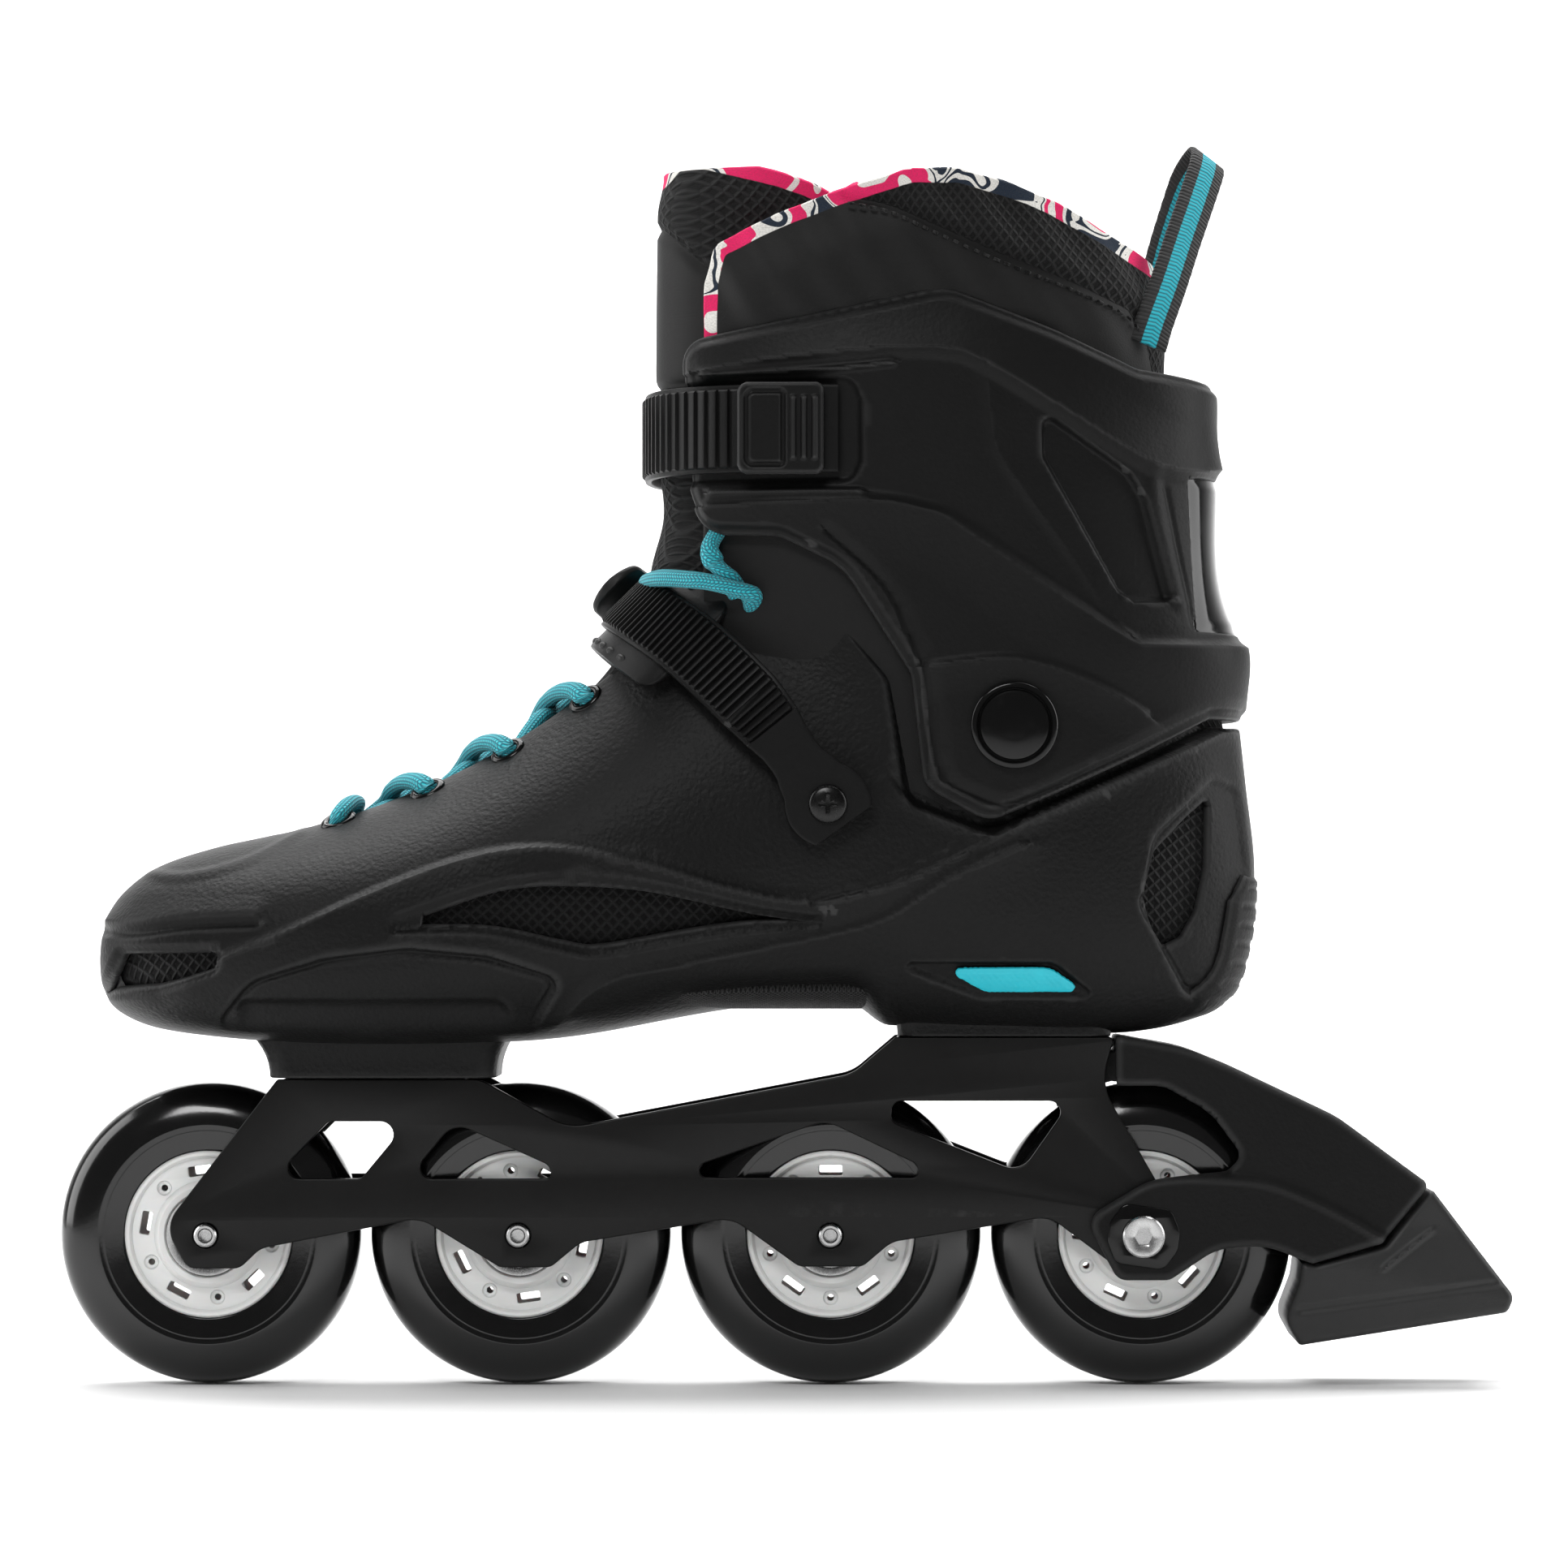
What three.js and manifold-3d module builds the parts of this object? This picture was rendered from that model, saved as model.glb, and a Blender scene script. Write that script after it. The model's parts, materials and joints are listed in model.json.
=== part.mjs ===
// One inline skate (right foot), as an assembly of separate pieces.
// Millimetres. +Z is up, the toe points to -X, the heel brake to +X, and the inner side of the foot
// is at -Y.
// The side-view drawing has its own datum; DATUM_TO_ORIGIN carries it to the origin, which is the point
// on the ground under the middle of the skate.
import * as THREE from "three";
import { mergeVertices } from "three/addons/utils/BufferGeometryUtils.js";
import Module from "manifold-3d";

const wasm = await Module();
wasm.setup();

// ---------------------------------------------------------------- driving dimensions
const DATUM_TO_ORIGIN = 1.27; // shift along X
const WHEEL_RADIUS = 40;
const WHEEL_PITCH = 82.4;
const FIRST_WHEEL_X = -153.5;
const WHEEL_HALF_WIDTH = 12;
const RIM_RADIUS = 22;
const BEARING_RADIUS = 11;
const BEARING_WIDTH = 7;
const AXLE_RADIUS = 4;
const WALL_INSIDE = 13.2; // half the gap between the frame's two walls
const WALL_OUTSIDE = 16.5;
const ARM_OUTSIDE = 21; // half-width of the brake arm
const ANKLE = { x: 59.2, z: 173.8 }; // the cuff's pivot axis, parallel to Y
const FULL_FLEX = 8; // degrees that the cuff turns forward
const MOUNT_XS = [-112.3, 52.5]; // the two bolts that hold the boot on the frame
const FRONT_DECK_Z = 81.3;
const REAR_DECK_Z = 92.4;
const BOLT_BORE = 4.4; // radius of the holes for the mounting bolts
const DECK_THICKNESS = 2.9;
const CLEAR = 70; // farther to a side than any piece reaches
const TUCK = 0.35; // gap round a piece that is let into another
const WHEEL_XS = [0, 1, 2, 3].map((i) => FIRST_WHEEL_X + i * WHEEL_PITCH);

// ---------------------------------------------------------------- materials
const finish = (color, roughness, metalness = 0) =>
  new THREE.MeshStandardMaterial({ color, roughness, metalness });
const MATERIALS = {
  shellPlastic: finish(0x161616, 0.5),
  cuffPlastic: finish(0x141414, 0.48),
  glossPlastic: finish(0x080808, 0.08),
  strapPlastic: finish(0x131313, 0.45),
  buckle: finish(0x101010, 0.4),
  accent: finish(0x1fb5c4, 0.45),
  linerFabric: finish(0x121212, 0.9),
  lace: finish(0x21b3c1, 0.85),
  webbing: finish(0x101010, 0.85),
  footbed: finish(0x2c2c30, 0.9),
  frame: finish(0x101010, 0.35, 0.6),
  steel: finish(0xbfc3c8, 0.3, 1),
  blackSteel: finish(0x1a1a1a, 0.35, 0.8),
  hub: finish(0xd8d8d6, 0.5),
  tyre: finish(0x0b0b0c, 0.25),
  brakeArm: finish(0x141414, 0.55),
  brakeRubber: finish(0x0c0c0c, 0.5),
};

// ---------------------------------------------------------------- solids
// A closed three.js geometry as a manifold-3d solid.
function solid(geometry) {
  const bare = geometry.index ? geometry.toNonIndexed() : geometry.clone();
  bare.deleteAttribute("normal");
  bare.deleteAttribute("uv");
  const merged = mergeVertices(bare, 1e-3);
  const made = new wasm.Manifold(
    new wasm.Mesh({
      numProp: 3,
      vertProperties: merged.attributes.position.array,
      triVerts: new Uint32Array(merged.index.array),
    }),
  );
  return made;
}

function geometryOf(made) {
  const mesh = made.getMesh();
  const geometry = new THREE.BufferGeometry();
  geometry.setAttribute("position", new THREE.BufferAttribute(mesh.vertProperties, 3));
  geometry.setIndex(new THREE.BufferAttribute(mesh.triVerts, 1));
  geometry.computeVertexNormals();
  return geometry;
}

// A closed outline whose corners are [a, b, radius], each radius drawn as an arc of `steps` chords.
function roundedShape(corners, steps = 3) {
  const shape = new THREE.Shape();
  const count = corners.length;
  corners.forEach(([a, b, radius = 0], i) => {
    const here = new THREE.Vector2(a, b);
    const before = new THREE.Vector2(...corners[(i + count - 1) % count].slice(0, 2)).sub(here);
    const after = new THREE.Vector2(...corners[(i + 1) % count].slice(0, 2)).sub(here);
    const points = [];
    if (radius > 0) {
      const half = Math.acos(before.dot(after) / (before.length() * after.length())) / 2;
      const longest = Math.min(before.length(), after.length()) * 0.49;
      const reach = Math.min(radius / Math.tan(half), longest);
      const start = here.clone().add(before.setLength(reach));
      const end = here.clone().add(after.setLength(reach));
      for (let k = 0; k <= steps; k++) {
        const t = k / steps;
        points.push(
          new THREE.Vector2(
            (1 - t) ** 2 * start.x + 2 * t * (1 - t) * here.x + t * t * end.x,
            (1 - t) ** 2 * start.y + 2 * t * (1 - t) * here.y + t * t * end.y,
          ),
        );
      }
    } else {
      points.push(here);
    }
    points.forEach((p) => (i === 0 && p === points[0] ? shape.moveTo(p.x, p.y) : shape.lineTo(p.x, p.y)));
  });
  shape.closePath();
  return shape;
}

// A side-view outline of [x, z, radius] corners, carried across from y = low to y = high.
function sidePrism(corners, low, high, steps = 3) {
  const shape = roundedShape(corners, steps);
  const geometry = new THREE.ExtrudeGeometry(shape, { depth: high - low, bevelEnabled: false });
  geometry.rotateX(Math.PI / 2); // (x, z, depth) becomes x, -depth, z
  geometry.translate(0, high, 0);
  return solid(geometry);
}

// A plan-view outline of [x, y, radius] corners, carried up from z = low to z = high.
function planPrism(corners, low, high, steps = 3) {
  const geometry = new THREE.ExtrudeGeometry(roundedShape(corners, steps), {
    depth: high - low,
    bevelEnabled: false,
  });
  return solid(geometry.translate(0, 0, low));
}

// A side-view outline carried right across the skate, to cut or to trim with.
const through = (corners, steps) => sidePrism(corners, -CLEAR, CLEAR, steps);

function block(x0, x1, y0, y1, z0, z1) {
  const geometry = new THREE.BoxGeometry(x1 - x0, y1 - y0, z1 - z0);
  return solid(geometry.translate((x0 + x1) / 2, (y0 + y1) / 2, (z0 + z1) / 2));
}

// A profile of [radius, y] points turned about Y; one that doesn't start on the axis closes on itself.
function turned(profile, segments) {
  const points = profile.map(([r, y]) => new THREE.Vector2(r, y));
  if (profile[0][0] > 0) points.push(points[0].clone());
  return solid(new THREE.LatheGeometry(points, segments, Math.PI / segments));
}

const rod = (radius, y0, y1, segments = 16) =>
  turned([[0, y0], [radius, y0], [radius, y1], [0, y1]], segments);

const atAnkle = (made) => made.translate(ANKLE.x, 0, ANKLE.z);
const atWheel = (made, i) => made.translate(WHEEL_XS[i], 0, WHEEL_RADIUS);

// Rings of equally many points, joined in order and closed with a fan at each end.
function loft(rings) {
  const size = rings[0].length;
  const centre = (ring) =>
    ring.reduce((sum, p) => sum.add(p), new THREE.Vector3()).divideScalar(size);
  const vertices = [...rings.flat(), centre(rings[0]), centre(rings.at(-1))];
  const faces = [];
  const first = rings.length * size;
  for (let k = 0; k < size; k++) {
    const next = (k + 1) % size;
    for (let r = 0; r + 1 < rings.length; r++) {
      const a = r * size;
      faces.push(a + k, a + next, a + size + next, a + k, a + size + next, a + size + k);
    }
    const last = (rings.length - 1) * size;
    faces.push(first, next, k, first + 1, last + k, last + next);
  }
  const wound = (indices) => solid(new THREE.BufferGeometry().setFromPoints(vertices).setIndex(indices));
  const made = wound(faces);
  return made.volume() > 0 ? made : wound(faces.toReversed());
}

// A strap's centre line, as a function of how far along it a point lies, from 0 to 1. The line's
// direction `out` points away from `middle`, square to the strap.
function strapLine(points, middle) {
  const curve = new THREE.CatmullRomCurve3(points.map((p) => new THREE.Vector3(...p)));
  return (t) => {
    const at = curve.getPointAt(t);
    const forward = curve.getTangentAt(t);
    const away = at.clone().sub(middle);
    const out = away.addScaledVector(forward, -away.dot(forward)).normalize();
    return { at, forward, out, across: out.clone().cross(forward) };
  };
}

// A stretch of strap of rectangular section. lift(progress) is how far its middle lies outside the
// centre line, and aside how far it lies across it.
function strapBand(line, { from, to, steps, width, thickness, lift = () => 0, aside = 0 }) {
  const rings = Array.from({ length: steps + 1 }, (_, i) => {
    const { at, out, across } = line(from + ((to - from) * i) / steps);
    const middle = at.addScaledVector(out, lift(i / steps)).addScaledVector(across, aside);
    return [[1, 1], [-1, 1], [-1, -1], [1, -1]].map(([a, b]) =>
      middle.clone().addScaledVector(across, (a * width) / 2).addScaledVector(out, (b * thickness) / 2),
    );
  });
  return loft(rings);
}

// ---------------------------------------------------------------- the boot's outer surface
// Each section runs from the top or front of the boot (top) to its sole or back (base). Half-widths are
// given near the top, in the middle and near the base; nTop and nBase square its two ends off, and wall
// is the plastic's thickness there, with the room that the cuff needs where it lies over the shell.
const SECTIONS = [
  { top: [-182, 117], base: [-182, 107], widths: [9, 10, 9], nTop: 2, nBase: 2, wall: 3 },
  { top: [-180.3, 124.5], base: [-180.3, 102], widths: [20, 22, 21], nTop: 2.2, nBase: 2.4, wall: 3 },
  { top: [-176, 131], base: [-176, 98], widths: [28, 31, 30], nTop: 2.2, nBase: 2.6, wall: 3 },
  { top: [-167, 137.5], base: [-167, 94.5], widths: [35, 39, 38], nTop: 2.2, nBase: 2.8, wall: 3 },
  { top: [-152, 142.5], base: [-152, 92.3], widths: [40, 45.5, 44], nTop: 2.3, nBase: 3, wall: 3 },
  { top: [-132, 147], base: [-132, 90.8], widths: [42, 50.5, 48], nTop: 2.3, nBase: 3.2, wall: 3 },
  { top: [-108, 154.5], base: [-108, 90.3], widths: [40, 53, 50], nTop: 2.3, nBase: 3.4, wall: 3 },
  { top: [-84, 165.5], base: [-82, 90.6], widths: [36, 52, 49], nTop: 2.3, nBase: 3.4, wall: 3 },
  { top: [-62, 180], base: [-54, 92], widths: [33, 49.5, 46], nTop: 2.3, nBase: 3.4, wall: 3 },
  { top: [-46, 195], base: [-22, 94.2], widths: [31, 47.5, 43], nTop: 2.3, nBase: 3.2, wall: 4 },
  { top: [-37, 209], base: [14, 95.5], widths: [30, 45.5, 41], nTop: 2.4, nBase: 3, wall: 5.5 },
  { top: [-32, 221], base: [54, 94], widths: [30, 44, 39.5], nTop: 2.5, nBase: 3, wall: 7 },
  { top: [-29.5, 231], base: [92, 93.5], widths: [30, 43, 38], nTop: 2.6, nBase: 2.8, wall: 7 },
  { top: [-28.5, 239.5], base: [115.5, 101], widths: [31, 42.8, 36], nTop: 2.6, nBase: 2.6, wall: 7 },
  { top: [-28, 247], base: [122.5, 117], widths: [32, 42.6, 35], nTop: 2.6, nBase: 2.6, wall: 7 },
  { top: [-28, 254], base: [124, 137], widths: [33, 42.6, 35], nTop: 2.6, nBase: 2.6, wall: 7 },
  { top: [-28, 261], base: [121.8, 158], widths: [33, 42.6, 35], nTop: 2.6, nBase: 2.6, wall: 7 },
  { top: [-28, 268], base: [119.8, 176], widths: [34, 42.6, 35], nTop: 2.6, nBase: 2.6, wall: 7 },
];
const RING_POINTS = 16;

// The ring of one section, moved outwards by depth(section) or a plain number.
function bootRing(section, depth) {
  const off = typeof depth === "function" ? depth(section) : depth;
  const top = new THREE.Vector2(...section.top);
  const base = new THREE.Vector2(...section.base);
  const axis = base.clone().sub(top).normalize();
  top.addScaledVector(axis, -off);
  base.addScaledVector(axis, off);
  const toe = Math.min(Math.max((-150 - section.top[0]) / 32, 0), 1);
  const [w0, w1, w2] = section.widths.map((w) => Math.max(w + off, 1));
  return Array.from({ length: RING_POINTS }, (_, k) => {
    const angle = (2 * Math.PI * k) / RING_POINTS;
    const c = Math.cos(angle);
    const s = Math.sin(angle);
    const power = 2 / (c > 0 ? section.nTop : section.nBase);
    const a = 0.5 - 0.5 * Math.sign(c) * Math.abs(c) ** power;
    const width = w0 * (1 - a) * (1 - 2 * a) + 4 * w1 * a * (1 - a) + w2 * a * (2 * a - 1);
    const place = top.clone().lerp(base, a);
    return new THREE.Vector3(
      place.x - toe * off,
      Math.sign(s) * width * Math.abs(s) ** power,
      place.y,
    );
  });
}
const bootBody = (depth) => loft(SECTIONS.map((section) => bootRing(section, depth)));
const innerDepth = (extra) => (section) => -section.wall - extra; // below the shell's inner face

// The upper boot's horizontal sections: [z, front x, back x, half-width].
const CUFF_SECTIONS = [
  [140, -42, 120.5, 45.2],
  [176, -42, 121.8, 45.2],
  [195, -42, 121, 45.2],
  [203, -42, 117, 45.2],
  [240, -42, 113.6, 45.6],
  [262, -42, 114, 46],
  [292, -42, 109, 46],
];
const LINER_SECTIONS = [
  [168, -40, 108, 39],
  [215, -40, 103, 39.5],
  [255, -40, 100.5, 40],
  [290, -40, 98, 42],
  [326, -40, 94, 42],
];
const TONGUE_SECTIONS = [
  [200, -34, 54, 26],
  [262, -34, 54, 26],
  [328, -33.5, 54, 27],
];
function levelRing([z, front, back, half], off, power = 2.6, count = 24) {
  const middle = (front + back) / 2;
  const reach = (back - front) / 2 + off;
  return Array.from({ length: count }, (_, k) => {
    const angle = (2 * Math.PI * k) / count;
    const bend = (v) => Math.sign(v) * Math.abs(v) ** (2 / power);
    return new THREE.Vector3(
      middle + reach * bend(Math.cos(angle)),
      (half + off) * bend(Math.sin(angle)),
      z,
    );
  });
}
const levelBody = (levels, off, power, count) =>
  loft(levels.map((level) => levelRing(level, off, power, count)));

// ---------------------------------------------------------------- side-view outlines [x, z, radius]
const CUFF_OUTLINE = [
  [-27.6, 273.5, 6], [6.6, 279.7, 20], [41, 286.8, 14], [69.7, 276.1, 20], [92, 266.4, 10], [118, 263.6, 0],
  [127, 263, 0], [127, 176.6, 0], [112, 176.6, 0], [90.7, 166.1, 20], [69.7, 156.7, 20], [52.5, 149.6, 8],
  [36.5, 158.5, 6], [33.2, 187.5, 8], [15, 215.5, 20], [-2, 223.8, 10], [-21.5, 224.4, 8], [-25.9, 235.5, 10],
];
const CUFF_RECESS = [
  [-60, 300, 0], [140, 300, 0], [140, 173.6, 0], [114, 173.6, 0], [92, 163.2, 20], [71, 153.7, 20],
  [53, 145.6, 8], [31.5, 154, 6], [26.5, 186, 8], [6, 212, 20], [-24, 216, 10], [-60, 222, 0],
];
const SHELL_TOP = [
  [-60, 252, 0], [-22, 246, 0], [0, 230, 0], [30, 213, 0], [60, 203, 0], [90, 193, 0], [102, 184, 0],
  [108, 175.5, 0], [114, 173.4, 0], [140, 173.4, 0], [140, 320, 0], [-60, 320, 0],
];
const LINER_STEP = [
  [-60, 256, 0], [-22, 250, 0], [0, 235, 0], [30, 217, 0], [60, 207, 0], [90, 198, 0], [104, 190, 0],
  [140, 184, 0], [140, 80, 0], [-60, 80, 0],
];
const SIDE_VENT = [
  [-100, 123.5, 3], [-83, 130.5, 8], [-55, 132.5, 12], [-28, 128, 12], [6, 122.5, 3], [-22, 120, 10],
  [-45, 113.5, 8], [-76, 120.5, 8],
];
const TOE_VENT = [
  [-180, 103.5, 1.5], [-173, 114.6, 2], [-151.5, 114.6, 2], [-151.5, 110, 2], [-165, 104.6, 4],
];
const HEEL_VENT = [
  [103, 134, 6], [113, 150, 2], [116.5, 133, 10], [111, 118, 6], [106.5, 113.5, 1.5], [102, 124, 6],
];
const REFLECTOR = [[43, 110.2, 1], [70, 110.2, 5], [77, 104.9, 1], [52, 104.9, 5]];
const COLLAR_TOP = [
  [-60, 298, 0], [-22, 298, 0], [0, 307, 0], [30, 318.5, 0], [50, 318.5, 0], [72, 310.5, 0], [120, 285, 0],
  [120, 350, 0], [-60, 350, 0],
];
const TONGUE_TOP = [
  [-60, 319.5, 0], [-33, 320.5, 0], [-26, 326.5, 0], [20, 313, 0], [70, 300, 0], [70, 350, 0], [-60, 350, 0],
];
const SHELL_THROAT = [[-134, 130], [-90, 142], [-52, 166], [-28, 196], [0, 262], [-134, 262]];
const UPPER_THROAT = [[-70, 188], [-24, 206], [-8, 232], [-8, 262], [-70, 262]];
const LINER_THROAT = [[-126, 128], [-90, 138], [-52, 160], [-20, 196], [0, 262], [-126, 262]];
const TONGUE_STRIP = [[-124, 134], [-90, 144], [-52, 166], [-24, 196], [-24, 262], [-124, 262]];
const FOOTBED_SIDE = [
  [-170, 90], [-60, 90], [20, 90], [125, 90], [125, 107], [20, 106], [-60, 104], [-170, 104.5],
];

const FRAME_OUTLINE = [
  [-134.6, 81.3, 1], [-81, 81.3, 8], [-58, 68.4, 14], [17, 82.6, 12], [28.4, 92.4, 1], [86.2, 92.4, 1],
  [82.6, 80, 16], [104.4, 42, 6], [101.4, 31.8, 4], [86.5, 31.8, 4], [69, 45, 9], [27.5, 38.3, 8],
  [19.8, 31.8, 4], [3, 31.8, 4], [-14.8, 44.6, 10], [-54.5, 38.2, 8], [-62.5, 31.6, 4], [-75.9, 31.6, 4],
  [-97, 44.6, 10], [-139, 36.6, 7], [-144.6, 31.3, 4], [-158.3, 31.3, 4], [-164.4, 42.5, 8],
];
const FRAME_WINDOWS = [
  [[-121, 70.1, 2.5], [-100, 70.1, 3.5], [-112.5, 55, 2.5], [-136, 55, 3]],
  [[-88, 69.8, 6], [-100.3, 55, 3], [-62, 55, 3], [-63, 58.6, 3]],
  [[10, 70.3, 9], [-23.5, 58.6, 2.5], [-23, 55.3, 2.5], [34.5, 55.3, 2.5], [34.2, 58.8, 2.5]],
  [[27.6, 75.5, 2.6], [74.8, 75.5, 3], [61.5, 56.6, 6], [27.2, 70, 2.6]],
];
const ARM_OUTLINE = [
  [99, 90.2, 0], [117.1, 84.3, 30], [144.8, 71.5, 30], [169.4, 53.4, 2], [156.7, 38.1, 2], [138.1, 32.7, 1],
  [125.8, 37.6, 20], [113, 36.6, 14], [100.6, 28.4, 4], [87, 28.4, 4], [78.4, 44.5, 5], [95.3, 54.8, 20],
  [116, 57.2, 3], [119.8, 61, 4], [111.5, 72.4, 20], [99, 79.6, 0],
];
const ARM_NECK = [[86.8, 92, 0], [100, 90, 0], [112, 86, 0], [112, 76, 0], [100, 79, 0], [86.8, 80.6, 0]];
const PAD_OUTLINE = [
  [139.2, 32.4, 1], [157.4, 37.4, 1], [169.9, 52.4, 1], [191.4, 24, 3], [189.6, 19.9, 2], [134.8, 11.2, 1],
  [131, 18, 6], [134.8, 28, 6], [135.4, 33, 0],
];

// ---------------------------------------------------------------- shell and liner
function makeShell() {
  const outside = bootBody(0);
  const recess = through(CUFF_RECESS).subtract(bootBody(-4.2));
  const cavity = bootBody(innerDepth(0));
  const soleBlock = planPrism([[-138, -22, 6], [-76, -22, 6], [-76, 22, 6], [-138, 22, 6]], 81.7, 94);
  const heelBlock = planPrism([[27, -22, 6], [88, -22, 6], [88, 22, 6], [27, 22, 6]], 92.8, 98);
  const cuts = [
    recess,
    cavity,
    sidePrism(SHELL_THROAT, -13, 13),
    sidePrism(UPPER_THROAT, -24, 24),
    through(SHELL_TOP),
    through(SIDE_VENT, 2),
    through(TOE_VENT, 2),
    through(HEEL_VENT, 2),
    ...MOUNT_XS.map((x) => rodUp(x, BOLT_BORE, 70, 110)),
  ];
  const pads = soleBlock.add(heelBlock).subtract(cavity);
  const body = cuts.reduce((made, cut) => made.subtract(cut), outside.add(pads));
  const pivotBores = atAnkle(rod(5.6, -CLEAR, CLEAR, 16));
  return largest(body.subtract(pivotBores).subtract(reflectorSeats()).subtract(heelGuardBody(TUCK)));
}

// A vertical rod at x on the skate's middle plane.
function rodUp(x, radius, z0, z1, segments = 12) {
  return rod(radius, z0, z1, segments).rotate([90, 0, 0]).translate(x, 0, 0);
}

// The biggest of a solid's separate bodies, without the crumbs that a cut leaves.
function largest(made) {
  return made.decompose().sort((a, b) => b.volume() - a.volume())[0];
}

function reflectorSeats() {
  const grown = REFLECTOR.map(([x, z, r]) => [x + (x > 60 ? 1 : -1), z + (z > 107 ? 0.8 : -0.8), r]);
  return through(grown, 2).subtract(bootBody(-2));
}
function makeReflector(side) {
  const [low, high] = side < 0 ? [-CLEAR, 0] : [0, CLEAR];
  return sidePrism(REFLECTOR, low, high, 2).subtract(bootBody(-1.6)).intersect(bootBody(-0.2));
}

// The plate let into the back of the heel.
function heelGuardBody(grow) {
  const outline = [[112, 97, 0], [140, 97, 0], [140, 134.5, 0], [118.5, 134.5, 0]];
  const grown = outline.map(([x, z]) => [x + (x < 130 ? -grow : grow), z + (z > 110 ? grow : -grow)]);
  return sidePrism(grown, -20 - grow, 20 + grow).subtract(bootBody(-2 - grow)).intersect(bootBody(1));
}

// The lower and upper halves of the liner and tongue, parted by a wedge whose point is at the ankle.
const WEDGE = 1.4; // half the gap at the ankle
const below = through(
  [[ANKLE.x, ANKLE.z - WEDGE], [-30, 203], [-200, 262], [-200, 60], [160, 60], [160, 160], [120, 167.5]], 1,
);
const above = through(
  [[ANKLE.x, ANKLE.z + WEDGE], [-34, 236], [-60, 252], [-60, 360], [160, 360], [160, 173.4]], 1,
);
// The padding that follows the inside of the shell.
const LINER_THICKNESS = 5;
const LINER_GAP = 0.5;
const lining = () =>
  bootBody(innerDepth(LINER_GAP)).subtract(bootBody(innerDepth(LINER_GAP + LINER_THICKNESS)));

const makeLinerLower = () =>
  largest(lining().subtract(sidePrism(LINER_THROAT, -20.5, 20.5)).intersect(below));
const makeTongueLower = () =>
  largest(lining().intersect(sidePrism(TONGUE_STRIP, -19.8, 19.8)).intersect(below));

// The shell's wall where the upper liner passes inside it, with room to slide, as the cuff meets it
// when it has turned forward by `flex` degrees.
const shellWall = (flex) =>
  sidePrism(LINER_STEP, -60, 60)
    .subtract(bootBody(innerDepth(1.2)))
    .translate(-ANKLE.x, 0, -ANKLE.z)
    .rotate([0, flex, 0])
    .translate(ANKLE.x, 0, ANKLE.z);

function makeLinerUpper() {
  const ring = levelBody(LINER_SECTIONS, 0).subtract(levelBody(stretched(LINER_SECTIONS), -8));
  const opening = block(-60, -21, -60, 60, 100, 400);
  const cuts = [opening, sidePrism(COLLAR_TOP, -60, 60), shellWall(0), shellWall(FULL_FLEX)];
  return largest(cuts.reduce((made, cut) => made.subtract(cut), ring.intersect(above)));
}

function makeTongueUpper() {
  const hollow = levelBody(stretched(TONGUE_SECTIONS), -7, 2.2, 20);
  const ring = levelBody(TONGUE_SECTIONS, 0, 2.2, 20).subtract(hollow);
  const keep = block(-60, 6, -60, 60, 100, 400);
  const collar = stretched(LINER_SECTIONS);
  const linerRoom = levelBody(collar, 3).subtract(levelBody(collar, -8.5));
  const behind = block(-21.6, 60, -60, 60, 100, 400);
  const walls = [shellWall(0), shellWall(FULL_FLEX)];
  const cuts = [sidePrism(TONGUE_TOP, -60, 60), ...walls, linerRoom.intersect(behind)];
  return largest(cuts.reduce((made, cut) => made.subtract(cut), ring.intersect(keep).intersect(above)));
}

// The same sections with the first and last carried past the ends, so that a hollow cuts clean through.
function stretched(levels) {
  const copies = levels.map((level) => [...level]);
  copies[0][0] -= 5;
  copies.at(-1)[0] += 5;
  return copies;
}

function makeFootbed() {
  const inner = bootBody(innerDepth(6));
  return largest(inner.intersect(sidePrism(FOOTBED_SIDE, -60, 60, 1)));
}

// ---------------------------------------------------------------- cuff
function makeCuff() {
  const wall = levelBody(CUFF_SECTIONS, 0).subtract(levelBody(stretched(CUFF_SECTIONS), -3));
  const shape = wall.intersect(through(CUFF_OUTLINE));
  const pocketFloor = levelBody(stretched(CUFF_SECTIONS), -1.6);
  const pocket = block(-13.5, 16.5, -60, 0, 237.5, 263).subtract(pocketFloor);
  const bores = atAnkle(rod(8.2, -CLEAR, CLEAR, 16));
  const cuts = [pocket, bores, rearInsertBody(TUCK), cuffBuckleSeat()];
  return largest(cuts.reduce((made, cut) => made.subtract(cut), shape));
}
function rearInsertBody(grow) {
  const outline = [[106, 198], [130, 198], [130, 240], [104, 240]].map(([x, z]) => [
    x - grow, z + (z > 220 ? grow : -grow),
  ]);
  const skin = levelBody(CUFF_SECTIONS, 0.4).subtract(levelBody(stretched(CUFF_SECTIONS), -1.6 - grow));
  return skin.intersect(sidePrism(outline, -24 - grow, 24 + grow));
}

// The round cap outside each ankle pivot, with its stem through the cuff into the shell.
function makePivotCap(side) {
  const profile = [
    [0, 37.8], [5, 37.8], [5, 41.4], [7.8, 41.4], [7.8, 45.6],
    [11.3, 45.6], [11.3, 46.6], [9.6, 47.6], [0, 47.6],
  ];
  const cap = turned(profile, 20);
  return atAnkle(side < 0 ? cap.rotate([0, 0, 180]) : cap);
}

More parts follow.
